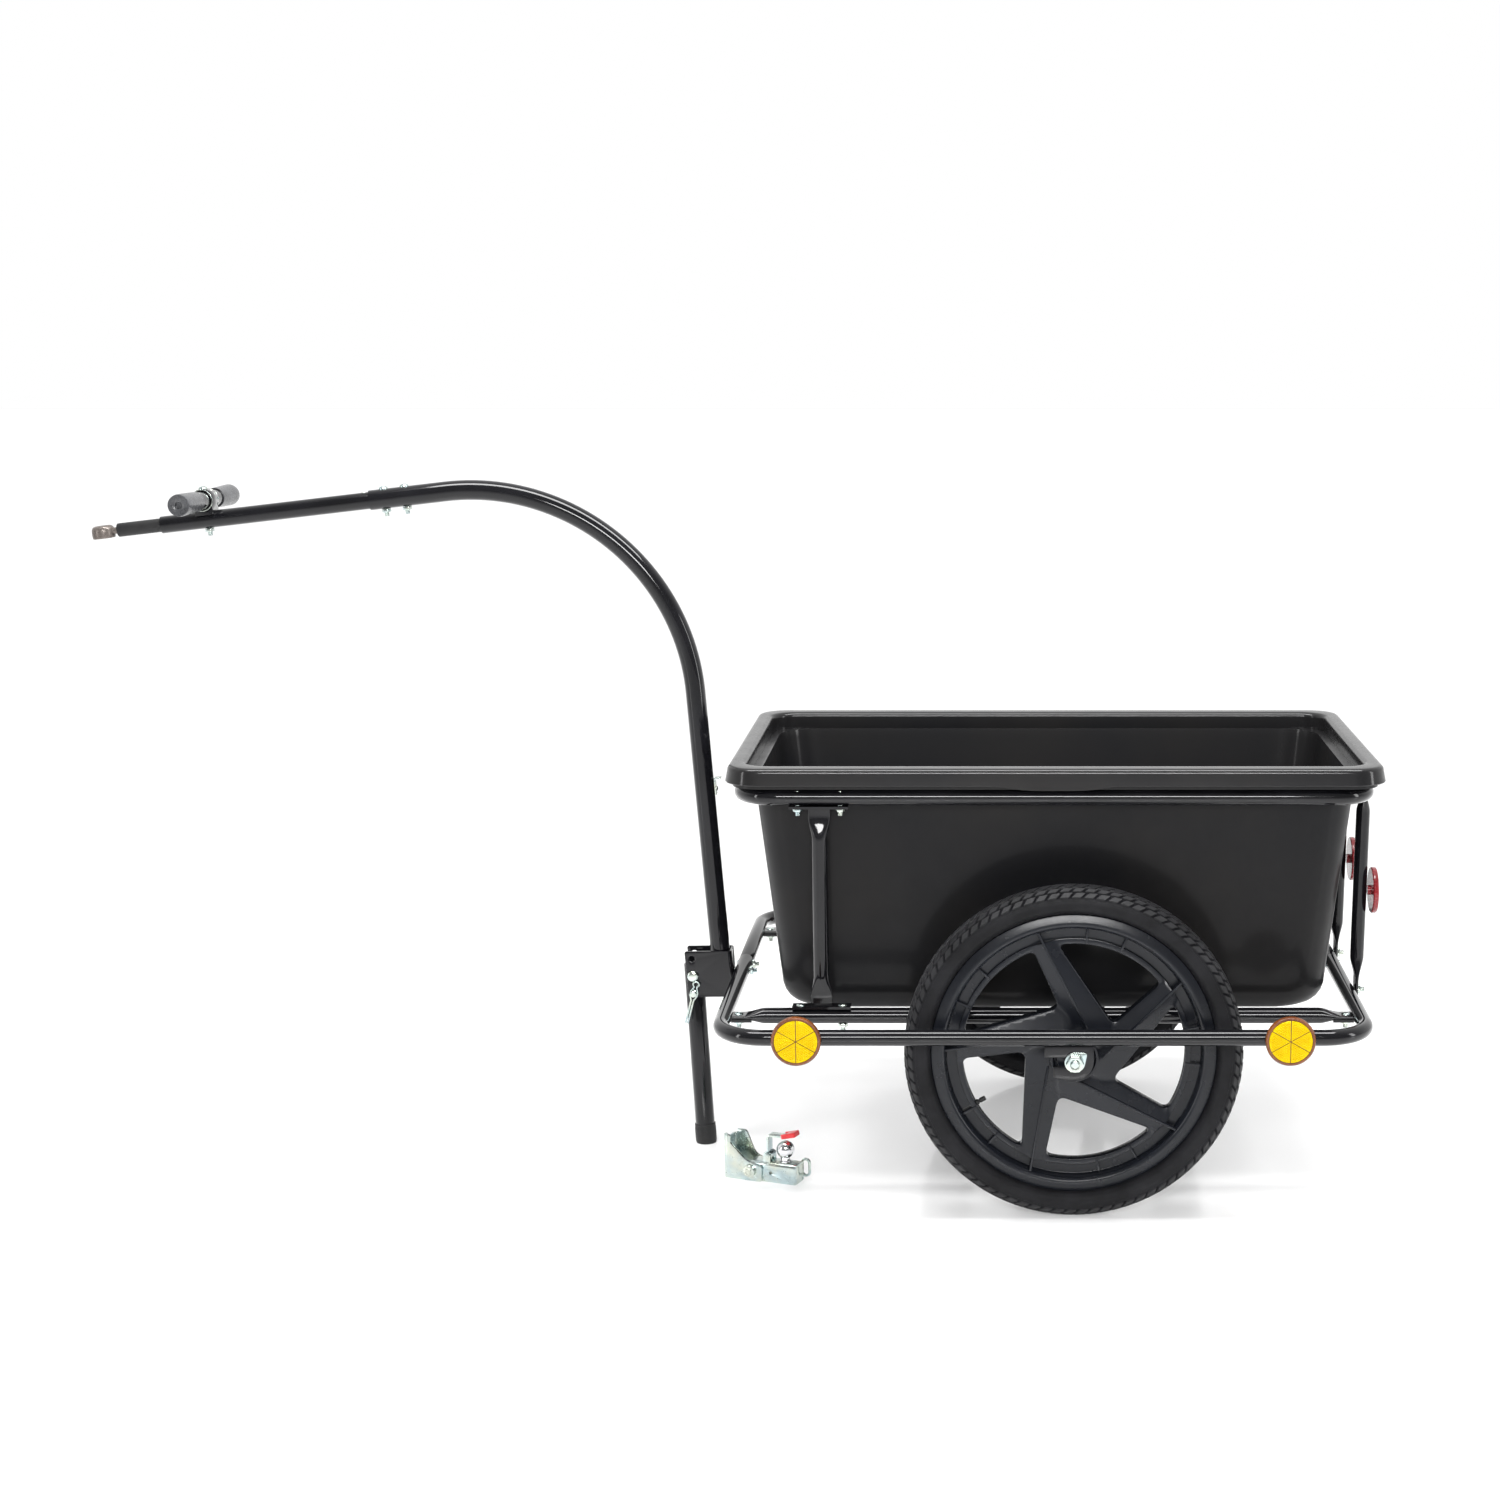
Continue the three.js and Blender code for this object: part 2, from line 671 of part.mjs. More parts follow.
// Dropout plates hang under the bumper tubes and the rails. Each has a slot that is open towards the front.
function dropoutOutline() {
  const top = railHeight - frameTubeRadius - seatGap;
  const slot = dropoutSlotHalf;
  const shape = new THREE.Shape();
  shape.moveTo(-dropoutUpperReach, top);
  shape.lineTo(-dropoutUpperReach, wheelRadius + slot);
  shape.lineTo(0, wheelRadius + slot);
  shape.absarc(0, wheelRadius, slot, Math.PI / 2, -Math.PI / 2, true);
  shape.lineTo(-dropoutLowerReach, wheelRadius - slot);
  shape.lineTo(-dropoutLowerReach, wheelRadius - slot - dropoutLowerArm);
  shape.lineTo(-dropoutEndRadius / 2, wheelRadius - dropoutEndRadius);
  shape.lineTo(0, wheelRadius - dropoutEndRadius);
  shape.absarc(0, wheelRadius, dropoutEndRadius, -Math.PI / 2, 0, false);
  shape.lineTo(dropoutEndRadius, top);
  return shape;
}
const dropoutPlaces = [
  { place: "outer", y: bumperHalfWidth },
  { place: "inner", y: railHalfSpacing },
];
for (const { name, sign } of sides) {
  for (const { place, y } of dropoutPlaces) {
    const lowY = sign * y - dropoutThickness / 2;
    add(trailer, `dropout_${place}_${name}`, sidePlate(dropoutOutline(), lowY, lowY + dropoutThickness), blackPaint);
  }
}

// One window of the wheel lies between the trailing edge of a spoke and the leading edge of the next one.
function windowCorners(index) {
  const base = spokeFirstAngle + (index * 360) / spokeCount;
  const edge = (angle, offset) => {
    const along = flatPoint(Math.cos(radians(angle)), Math.sin(radians(angle)));
    return { along, point: flatPoint(along.y * offset, -along.x * offset) };
  };
  const trail = edge(base + spokeTrailSkew, spokeTrailOffset);
  const lead = edge(base - 360 / spokeCount + spokeLeadSkew, spokeLeadOffset);
  const onRim = ({ along, point }) =>
    point.clone().addScaledVector(along, Math.sqrt(windowRadius ** 2 - point.lengthSq()));
  const gap = trail.point.clone().sub(lead.point);
  const inner = lead.point.clone().addScaledVector(lead.along, gap.cross(trail.along) / lead.along.cross(trail.along));
  return { inner, trailEnd: onRim(trail), leadEnd: onRim(lead) };
}

// A window is straight along both spokes, round along the rim, and has rounded corners.
function windowPath(index) {
  const { inner, trailEnd, leadEnd } = windowCorners(index);
  const toward = (from, to, distance) => from.clone().addScaledVector(to.clone().sub(from).normalize(), distance);
  const inset = windowCornerRadius / windowRadius;
  const leadAngle = Math.atan2(leadEnd.y, leadEnd.x) + inset;
  const trailAngle = Math.atan2(trailEnd.y, trailEnd.x) - inset;
  const sweep = (trailAngle - leadAngle + 2 * Math.PI) % (2 * Math.PI);
  const start = toward(inner, leadEnd, windowInnerCornerRadius);
  const leadStop = toward(leadEnd, inner, windowCornerRadius);
  const trailStop = toward(trailEnd, inner, windowCornerRadius);
  const trailStart = toward(inner, trailEnd, windowInnerCornerRadius);
  const path = new THREE.Path();
  path.moveTo(start.x, start.y);
  path.lineTo(leadStop.x, leadStop.y);
  path.quadraticCurveTo(
    leadEnd.x,
    leadEnd.y,
    windowRadius * Math.cos(leadAngle),
    windowRadius * Math.sin(leadAngle),
  );
  path.absarc(0, 0, windowRadius, leadAngle, leadAngle + sweep, false);
  path.quadraticCurveTo(trailEnd.x, trailEnd.y, trailStop.x, trailStop.y);
  path.lineTo(trailStart.x, trailStart.y);
  path.quadraticCurveTo(inner.x, inner.y, start.x, start.y);
  return path;
}

// The spoke plate is a disc with windows. A many-sided outline is enough where it runs into the rim.
function spokePlate() {
  const outline = Array.from({ length: wheelSegments }, (_, k) => {
    const angle = (k * 2 * Math.PI) / wheelSegments;
    return flatPoint(discRadius * Math.cos(angle), discRadius * Math.sin(angle));
  });
  const shape = new THREE.Shape(outline);
  for (let index = 0; index < spokeCount; index++) {
    shape.holes.push(new THREE.Path(windowPath(index).getPoints(windowArcSteps)));
  }
  return sidePlate(shape, -discHalfThickness, discHalfThickness);
}

// Each spoke has a crest on both faces, and radial gussets stiffen the groove between the spokes.
function spokeRibs() {
  const top = discHalfThickness + crestHeight;
  const section = [
    flatPoint(-crestHalfBase, 0),
    flatPoint(0, -top),
    flatPoint(crestHalfBase, 0),
    flatPoint(0, top),
  ];
  // The section's X lies across the spoke, its Y along the axle, and it is drawn out along the spoke.
  const basis = new THREE.Matrix4().makeBasis(Z, Y.clone().negate(), X);
  const inner = Math.sqrt(hubRadius ** 2 - crestOffset ** 2) - crestInnerReach;
  const outer = Math.sqrt((discRadius + crestOuterReach) ** 2 - crestOffset ** 2);
  const ribs = [];
  for (let index = 0; index < spokeCount; index++) {
    const turn = radians(spokeFirstAngle + crestSkew + (index * 360) / spokeCount);
    const ridge = new THREE.ExtrudeGeometry(new THREE.Shape(section), { depth: outer - inner, bevelEnabled: false });
    ribs.push(ridge.applyMatrix4(basis).translate(inner, 0, -crestOffset).rotateY(-turn));
    for (let extra = 0; extra < gussetCount; extra++) {
      const halfWidth = gussetThickness / 2;
      const low = discRadius - gussetThickness;
      const high = rimFloorRadius - rimFloorThickness + gussetThickness;
      const gusset = box(low, high, -discHalfThickness, discHalfThickness, -halfWidth, halfWidth);
      ribs.push(gusset.rotateY(-turn - radians(gussetFirstAngle + extra * gussetSpacing)));
    }
  }
  return ribs;
}

// The one-piece wheel, about the Y axis, with its outer side at -Y.
function wheelGeometry() {
  const half = [
    flatPoint(discRadius - gussetThickness, grooveWebHalfThickness),
    flatPoint(rimFloorRadius - rimFloorThickness, grooveWebHalfThickness),
    flatPoint(rimFloorRadius - rimFloorThickness, rimHalfWidth - rimFlangeThickness),
    flatPoint(rimFloorRadius, rimHalfWidth),
    flatPoint(rimFlangeRadius, rimHalfWidth),
    flatPoint(rimFlangeRadius, rimHalfWidth - rimFlangeThickness),
    flatPoint(rimFloorRadius, rimHalfWidth - rimFlangeThickness),
  ];
  const mirrored = half.map((p) => flatPoint(p.x, -p.y)).reverse();
  const rim = turned([...mirrored, ...half], wheelSegments);
  const along = (halfLength, radius, sides) => bar(vector(0, -halfLength, 0), vector(0, halfLength, 0), Z, radius, sides);
  const hub = along(hubHalfLength, hubRadius, hubSides);
  const bore = along(hubHalfLength + overrun, hubBoreRadius, tubeSides);
  const valveHole = bar(
    vector(windowRadius - overrun, 0, 0),
    vector(rimFloorRadius + overrun, 0, 0),
    Y,
    valveHoleRadius,
  );
  return cut(join(spokePlate(), rim, hub, ...spokeRibs()), bore, valveHole.rotateY(-radians(valveAngle)));
}

// The tyre is open between its beads. The inner tube fills it and carries the valve stem.
const beadHalfWidth = rimHalfWidth - rimFlangeThickness - seatGap;
const beadRadius = rimFloorRadius + 2 * seatGap;
const tyreMiddleRadius = (rimFlangeRadius + wheelRadius) / 2;
const belowZero = (p) => flatPoint(p.x, -p.y);

function tyreGeometry() {
  const outer = [
    flatPoint(beadRadius, beadHalfWidth),
    flatPoint(rimFlangeRadius + seatGap, beadHalfWidth),
    flatPoint(rimFlangeRadius + 2 * seatGap, rimHalfWidth),
    flatPoint(tyreMiddleRadius, tyreHalfWidth),
    flatPoint(wheelRadius - treadShoulderDrop, tyreHalfWidth - tyreShoulderInset),
    flatPoint(wheelRadius, treadHalfWidth / 2),
  ];
  const inner = [
    flatPoint(wheelRadius - treadThickness, treadHalfWidth / 2),
    flatPoint(tyreMiddleRadius, tyreHalfWidth - tyreWall),
    flatPoint(rimFloorRadius + beadHeight, beadHalfWidth - tyreWall),
    flatPoint(beadRadius, beadHalfWidth - tyreWall),
  ];
  const loop = [
    ...outer.map(belowZero),
    ...[...outer].reverse(),
    ...[...inner].reverse(),
    ...inner.map(belowZero),
  ];
  return turned(loop, tyreSegments);
}

function innerTubeGeometry() {
  const half = [
    flatPoint(beadRadius + innerTubeClearance, beadHalfWidth - tyreWall - innerTubeClearance),
    flatPoint(rimFloorRadius + beadHeight, beadHalfWidth - tyreWall - innerTubeClearance),
    flatPoint(tyreMiddleRadius, tyreHalfWidth - tyreWall - innerTubeClearance),
    flatPoint(wheelRadius - treadThickness - innerTubeClearance, treadHalfWidth / 2 - innerTubeClearance),
  ];
  const ring = turned([...half.map(belowZero), ...[...half].reverse()], tyreSegments);
  const stem = bar(vector(windowRadius - valveReach, 0, 0), vector(rimFloorRadius + overrun, 0, 0), Y, valveRadius);
  return join(ring, stem.rotateY(-radians(valveAngle)));
}

const innerDropoutY = railHalfSpacing - dropoutThickness / 2;
const outerDropoutY = bumperHalfWidth + dropoutThickness / 2;
for (const { name, sign } of sides) {
  const wheel = new THREE.Group();
  wheel.position.set(0, sign * wheelPlane, wheelRadius);
  // The right wheel is the left one turned about.
  if (sign > 0) wheel.rotation.z = Math.PI;
  trailer.add(wheel);
  add(wheel, `wheel_${name}`, wheelGeometry(), wheelPlastic);
  add(wheel, `tyre_${name}`, tyreGeometry(), rubber);
  add(wheel, `inner_tube_${name}`, innerTubeGeometry(), rubber);

  const at = (y) => vector(0, sign * y, wheelRadius);
  const sleeveFrom = at(innerDropoutY + dropoutThickness + seatGap);
  const sleeveTo = at(outerDropoutY - dropoutThickness - seatGap);
  const hubSleeveRadius = hubBoreRadius - hubSleeveClearance;
  const hubSleeveWall = hubSleeveRadius - axleRadius - hubSleeveClearance;
  add(trailer, `hub_sleeve_${name}`, pipe(sleeveFrom, sleeveTo, Z, hubSleeveRadius, hubSleeveWall), zinc);

  const headOuter = innerDropoutY - seatGap;
  const shank = bar(at(headOuter), at(outerDropoutY + axleEndLength), Z, axleRadius, tubeSides);
  const head = bar(at(headOuter - axleHeadLength), at(headOuter), Z, axleHeadRadius, hexSides);
  add(trailer, `axle_bolt_${name}`, join(shank, head), zinc);

  const washerInner = outerDropoutY + seatGap;
  const washer = new THREE.Shape();
  const tabAngle = Math.acos((tabWasherRadius - tabWasherTipRadius) / (tabWasherReach - tabWasherTipRadius));
  const tipDistance = tabWasherReach - tabWasherTipRadius;
  washer.absarc(0, 0, tabWasherRadius, tabAngle, 2 * Math.PI - tabAngle, false);
  washer.absarc(tipDistance, 0, tabWasherTipRadius, -tabAngle, tabAngle, false);
  const washerHole = bar(
    vector(0, -outerDropoutY, 0),
    vector(0, outerDropoutY, 0),
    Z,
    axleRadius + seatGap,
    tubeSides,
  );
  const disc = cut(sidePlate(washer, -tabWasherThickness / 2, tabWasherThickness / 2), washerHole);
  disc.rotateY(-radians(tabWasherTurn)).translate(0, sign * (washerInner + tabWasherThickness / 2), wheelRadius);
  add(trailer, `tab_washer_${name}`, disc, zinc);

  const nutInner = washerInner + tabWasherThickness + seatGap;
  const nut = straight(at(nutInner), at(nutInner + axleNutLength), Z, solidSize(axleNutRadius), hexSides);
  const nutHoleEnd = at(nutInner + axleNutLength + overrun);
  const nutHole = bar(at(outerDropoutY), nutHoleEnd, Z, axleRadius + seatGap, tubeSides);
  add(trailer, `axle_nut_${name}`, cut(nut, nutHole), zinc);
}

// Rear drawbar tube: up out of the bracket, round the long bend, and down to the joint.
const lean = radians(drawbarLean);
const droop = radians(drawbarDroop);
const bendStartHeight = drawbarApexHeight - drawbarBendRadius * (1 - Math.sin(lean));
const bendReach = drawbarBendRadius * Math.tan((Math.PI / 2 + droop - lean) / 2);
const upward = vector(-Math.sin(lean), 0, Math.cos(lean));
const forward = vector(-Math.cos(droop), 0, -Math.sin(droop));
const drawbarFoot = vector(drawbarAxisAt(drawbarFootHeight), 0, drawbarFootHeight);
const bendStart = vector(drawbarAxisAt(bendStartHeight), 0, bendStartHeight);
const bendCorner = bendStart.clone().addScaledVector(upward, bendReach);
const drawbarJoint = bendCorner.clone().addScaledVector(forward, bendReach + drawbarTopRun);

// Everything ahead of the joint lies on one sloping line: its own X runs back along the line from the joint.
const front = new THREE.Group();
front.position.copy(drawbarJoint);
front.rotation.y = -droop;
trailer.add(front);
front.updateMatrix();

const acrossFront = (x, radius) =>
  bar(vector(x, 0, -drawbarRadius - overrun), vector(x, 0, drawbarRadius + overrun), Y, radius);
const jointBoltPlaces = [
  { place: "front", x: jointBoltFirst },
  { place: "rear", x: jointBoltFirst + jointBoltSpacing },
];
const jointHoles = jointBoltPlaces.map(({ x }) => acrossFront(x, jointBoltRadius + seatGap));

const rearPath = bentPath([drawbarFoot, bendCorner, drawbarJoint], drawbarBendRadius, drawbarBendSteps);
const rearTube = tubeGeometry(rearPath.map((s) => ({ ...s, ...pipeSize(drawbarRadius, drawbarWall) })), Y);
const rearHoles = jointHoles.map((hole) => hole.clone().applyMatrix4(front.matrix));
add(trailer, "drawbar_rear_tube", cut(rearTube, drawbarBoltHole, ...rearHoles), blackPaint);

const frontTube = pipe(vector(-frontTubeLength, 0, 0), vector(frontTubeInsert, 0, 0), Y, frontTubeRadius, frontTubeWall);
const handleBoltHole = acrossFront(-handleSetForward, jointBoltRadius + seatGap);
add(front, "drawbar_front_tube", cut(frontTube, handleBoltHole, ...jointHoles), blackPaint);

// A bolt across the line, with a low round head above and its nut and thread end below.
function crossBolt(x, headZ, nutZ) {
  const at = (z) => vector(x, 0, z);
  const shank = bar(at(nutZ - jointNutLength - jointBoltTip), at(headZ), Y, jointBoltRadius);
  const head = bar(at(headZ), at(headZ + jointBoltHeadLength), Y, jointBoltHeadRadius);
  const nut = bar(at(nutZ - jointNutLength), at(nutZ), Y, jointNutRadius, hexSides);
  return join(shank, head, nut);
}
for (const { place, x } of jointBoltPlaces) {
  const seat = drawbarRadius + seatGap;
  add(front, `joint_bolt_${place}`, crossBolt(x, seat, -seat), zinc);
}

// Coupling sleeve and socket
const sleeveEnd = -frontTubeLength - sleeveLength;
const sleeveWall = sleeveRadius - neckRadius - seatGap;
const sleeve = pipe(vector(sleeveEnd, 0, 0), vector(sleevePlugLength - frontTubeLength, 0, 0), Y, sleeveRadius, sleeveWall);
add(front, "coupling_sleeve", sleeve, rubber);
const socketX = sleeveEnd - neckLength - socketRadius;
const socketTop = socketHeight / 2;
const socketProfile = [
  flatPoint(0, socketTop - socketWall),
  flatPoint(socketRadius - socketWall - socketRounding, socketTop - socketWall),
  flatPoint(socketRadius - socketWall, socketTop - socketWall - socketRounding),
  flatPoint(socketRadius - socketWall, -socketTop),
  flatPoint(socketRadius, -socketTop),
  flatPoint(socketRadius, socketTop - socketRounding),
  flatPoint(socketRadius - socketRounding, socketTop),
  flatPoint(0, socketTop),
];
const socketCup = new THREE.LatheGeometry(socketProfile, socketSegments).rotateX(Math.PI / 2).translate(socketX, 0, 0);
const neckFrom = vector(socketX + socketRadius - socketWall / 2, 0, 0);
const neck = bar(neckFrom, vector(sleeveEnd + neckPlugLength, 0, 0), Y, neckRadius, tubeSides);
add(front, "coupling_socket", join(socketCup, neck), blackPaint);

// T handle: a cross tube on top of the front tube, with two vinyl grips and a clamp ring round its middle.
const handleZ = frontTubeRadius + clampWall + 2 * seatGap + handleTubeRadius;
const handleAt = (y, z = handleZ) => vector(-handleSetForward, y, z);
const handleBoltWay = bar(
  handleAt(0, -frontTubeRadius - overrun),
  handleAt(0, handleZ + handleTubeRadius + clampWall + overrun),
  Y,
  jointBoltRadius + seatGap,
);
const handleTube = pipe(handleAt(-handleHalfLength), handleAt(handleHalfLength), Z, handleTubeRadius, handleTubeWall);
add(front, "handle_tube", cut(handleTube, handleBoltWay), blackPaint);
for (const { name, sign } of sides) {
  const end = handleHalfLength + gripEnd;
  const bore = handleTubeRadius + seatGap;
  const station = (y, outer, inner) => ({
    point: handleAt(y),
    along: Y,
    ...pipeSize(outer, outer - inner),
  });
  const body = [
    { ...station(end - gripLength, gripNeckRadius, bore), boreWidth: undefined },
    { ...station(end - gripLength / 4, gripEndRadius, bore) },
    { ...station(end, gripEndRadius, bore) },
  ];
  const grip = cut(
    tubeGeometry(body, Z),
    bar(handleAt(end - gripLength - overrun), handleAt(handleHalfLength + seatGap), Z, bore, tubeSides),
  );
  // Both grips are made at +Y, and the left one is turned about the clamp.
  if (sign < 0) grip.translate(handleSetForward, 0, 0).rotateZ(Math.PI).translate(-handleSetForward, 0, 0);
  add(front, `grip_${name}`, grip, gripVinyl);
}
const clampRadius = handleTubeRadius + seatGap + clampWall;
const clampRing = bar(handleAt(-clampHalfWidth), handleAt(clampHalfWidth), Z, clampRadius, tubeSides);
const saddle = box(
  -handleSetForward - clampHalfLength,
  -handleSetForward + clampHalfLength,
  -clampHalfWidth,
  clampHalfWidth,
  clampSaddleDrop,
  handleZ,
);
const clampTools = [
  bar(
    handleAt(-clampHalfWidth - overrun),
    handleAt(clampHalfWidth + overrun),
    Z,
    handleTubeRadius + seatGap,
    tubeSides,
  ),
  bar(
    vector(-handleSetForward - clampRadius - overrun, 0, 0),
    vector(-handleSetForward + clampRadius + overrun, 0, 0),
    Y,
    frontTubeRadius + seatGap,
    tubeSides,
  ),
  handleBoltWay,
];
add(front, "handle_clamp", cut(join(clampRing, saddle), ...clampTools), zinc);
const handleBoltHead = handleZ + clampRadius + 2 * seatGap;
add(
  front,
  "handle_bolt",
  crossBolt(-handleSetForward, handleBoltHead, -frontTubeRadius - seatGap),
  zinc,
);

// Cable hook on the rear face of the drawbar
const hookHeight = bendStartHeight - hookDrop;
const hook = new THREE.Group();
hook.position.set(drawbarAxisAt(hookHeight) + drawbarRadius / Math.cos(lean) + seatGap, 0, hookHeight);
hook.rotation.y = -lean;
trailer.add(hook);
const hookOutline = [
  flatPoint(0, 0),
  flatPoint(hookThickness, 0),
  flatPoint(hookThickness, hookLength - hookThickness),
  flatPoint(hookLip, hookLength - hookThickness),
  flatPoint(hookLip, hookLength),
  flatPoint(0, hookLength),
];
add(hook, "cable_hook", sidePlate(hookOutline, -hookWidth / 2, hookWidth / 2), zinc);

// Drawbar bracket: a folded channel that is open towards the front.
const pivotX = drawbarAxisAt(standPivotHeight) - standPivotForward;
const pivot = vector(pivotX, 0, standPivotHeight);
const legDown = vector(Math.sin(radians(standTilt)), 0, -Math.cos(radians(standTilt)));
const lockPinAt = pivot.clone().addScaledVector(legDown, lockPinDrop);
const spareHoleAt = pivot.clone().addScaledVector(legDown, -lockPinDrop);
const cheekInner = drawbarRadius + bracketSideClearance;
const cheekOuter = cheekInner + bracketThickness;
const acrossAt = (point, fromY, toY, radius, sides) =>
  bar(vector(point.x, fromY, point.z), vector(point.x, toY, point.z), Z, radius, sides);
const throughBracket = (point, radius, sides) =>
  acrossAt(point, -cheekOuter - overrun, cheekOuter + overrun, radius, sides);
const bracketOutline = (lowZ, highZ, back, reach) => [
  flatPoint(bracketBackAt(lowZ) - back, lowZ),
  flatPoint(bracketBackAt(highZ) - back, highZ),
  flatPoint(bracketBackAt(highZ) - reach, highZ),
  flatPoint(bracketBackAt(lowZ) - reach, lowZ),
];
const bracketBody = sidePlate(bracketOutline(bracketFootHeight, bracketTop, 0, bracketReach), -cheekOuter, cheekOuter);
const bracketRoom = sidePlate(
  bracketOutline(bracketFootHeight - overrun, bracketTop + overrun, bracketThickness, bracketReach + overrun),
  -cheekInner,
  cheekInner,
);
const bracket = cut(
  bracketBody,
  bracketRoom,
  drawbarBoltHole,
  throughBracket(pivot, pivotBoltRadius + seatGap, tubeSides),
  throughBracket(lockPinAt, lockPinRadius + seatGap),
  throughBracket(spareHoleAt, lockPinRadius + seatGap),
);
add(trailer, "drawbar_bracket", bracket, blackPaint);

const drawbarBolt = join(
  alongX(drawbarBoltHeadX - drawbarBoltHeadLength, drawbarBoltHeadX, drawbarBoltHeadRadius),
  alongX(drawbarBoltHeadX, drawbarBoltNutX + drawbarBoltNutLength + drawbarBoltTip, drawbarBoltRadius),
  alongX(drawbarBoltNutX, drawbarBoltNutX + drawbarBoltNutLength, drawbarBoltHeadRadius, hexSides),
);
add(trailer, "drawbar_bolt", drawbarBolt, zinc);

// Stand leg. The slot for the lock pin is open to the rear, so the leg can swing forward and up off the pin.
const legLength = standPivotHeight / Math.cos(radians(standTilt));
const onLeg = (distance) => pivot.clone().addScaledVector(legDown, distance);
const legTube = pipe(
  onLeg(-standTopReach),
  onLeg(legLength - standFootSole - seatGap - standRadius * Math.tan(radians(standTilt))),
  Y,
  standRadius,
  standWall,
);
const slotHalf = lockPinRadius + seatGap;
const slotStart = Math.atan2(legDown.z, legDown.x);
const slotEnd = slotStart + radians(lockSlotTurn);
const slotShape = new THREE.Shape();
slotShape.absarc(pivot.x, pivot.z, lockPinDrop + slotHalf, slotStart, slotEnd, false);
slotShape.absarc(pivot.x, pivot.z, lockPinDrop - slotHalf, slotEnd, slotStart, true);
const legReach = standRadius + overrun;
const leg = cut(
  legTube,
  throughBracket(pivot, pivotBoltRadius + seatGap, tubeSides),
  throughBracket(lockPinAt, slotHalf),
  sidePlate(slotShape, -legReach, legReach),
);
add(trailer, "stand_leg", leg, blackPaint);

const footOuter = standRadius + seatGap + standFootWall;
const footCap = cut(
  bar(onLeg(legLength - standFootHeight), onLeg(legLength + footOuter), Y, footOuter, tubeSides),
  bar(
    onLeg(legLength - standFootHeight - overrun),
    onLeg(legLength - standFootSole - standRadius * Math.tan(radians(standTilt))),
    Y,
    standRadius + seatGap,
    tubeSides,
  ),
  box(pivotX - standPivotHeight, pivotX + standPivotHeight, -footOuter * 2, footOuter * 2, -footOuter * 2, 0),
);
add(trailer, "stand_foot", footCap, rubber);

const headSeat = cheekOuter + seatGap;
const pivotBolt = join(
  acrossAt(pivot, -headSeat, headSeat, pivotBoltRadius, tubeSides),
  acrossAt(pivot, -headSeat - pivotHeadLength, -headSeat, pivotHeadRadius),
  acrossAt(pivot, headSeat, headSeat + pivotHeadLength, pivotHeadRadius, hexSides),
);
add(trailer, "stand_pivot_bolt", pivotBolt, zinc);

const neckEnd = -headSeat - lockPinNeckLength;
const lockPin = join(
  acrossAt(lockPinAt, headSeat, headSeat + lockPinHeadLength, lockPinHeadRadius),
  acrossAt(lockPinAt, -headSeat, headSeat, lockPinRadius),
  acrossAt(lockPinAt, neckEnd, -headSeat, lockPinNeckRadius),
  acrossAt(lockPinAt, neckEnd - lockPinTip, neckEnd, lockPinRadius),
);
add(trailer, "lock_pin", lockPin, zinc);

// Spring clip: two wire legs that bulge round the neck of the lock pin and meet in a loop above it.
const clip = new THREE.Group();
clip.position.set(lockPinAt.x, -headSeat - lockPinNeckLength / 2, lockPinAt.z);
clip.rotation.y = radians(clipTurn);
trailer.add(clip);
const legX = clipLegGap / 2 + clipWireRadius;
const humpX = lockPinNeckRadius + seatGap + clipWireRadius;
const rightLeg = [
  vector(legX, 0, -clipLegLength),
  vector(legX, 0, -clipHump * 2),
  vector(humpX, 0, -clipHump / 2),
  vector(humpX, 0, clipHump / 2),
  vector(legX, 0, clipHump * 2),
  vector(clipLoopRadius, 0, clipLoopReach),
];
const loopArc = [1, 2, 3].map((k) => {
  const angle = (k * Math.PI) / 4;
  return vector(clipLoopRadius * Math.cos(angle), 0, clipLoopReach + clipLoopRadius * Math.sin(angle));
});
const leftLeg = rightLeg.map((p) => vector(-p.x, 0, p.z)).reverse();
const clipPoints = [...rightLeg, ...loopArc, ...leftLeg];
const clipStations = clipPoints.map((point, i) => {
  const before = clipPoints[Math.max(i - 1, 0)];
  const after = clipPoints[Math.min(i + 1, clipPoints.length - 1)];
  return { point, along: after.clone().sub(before).normalize(), ...solidSize(clipWireRadius) };
});
add(clip, "lock_clip", tubeGeometry(clipStations, Y, clipSides), zinc);

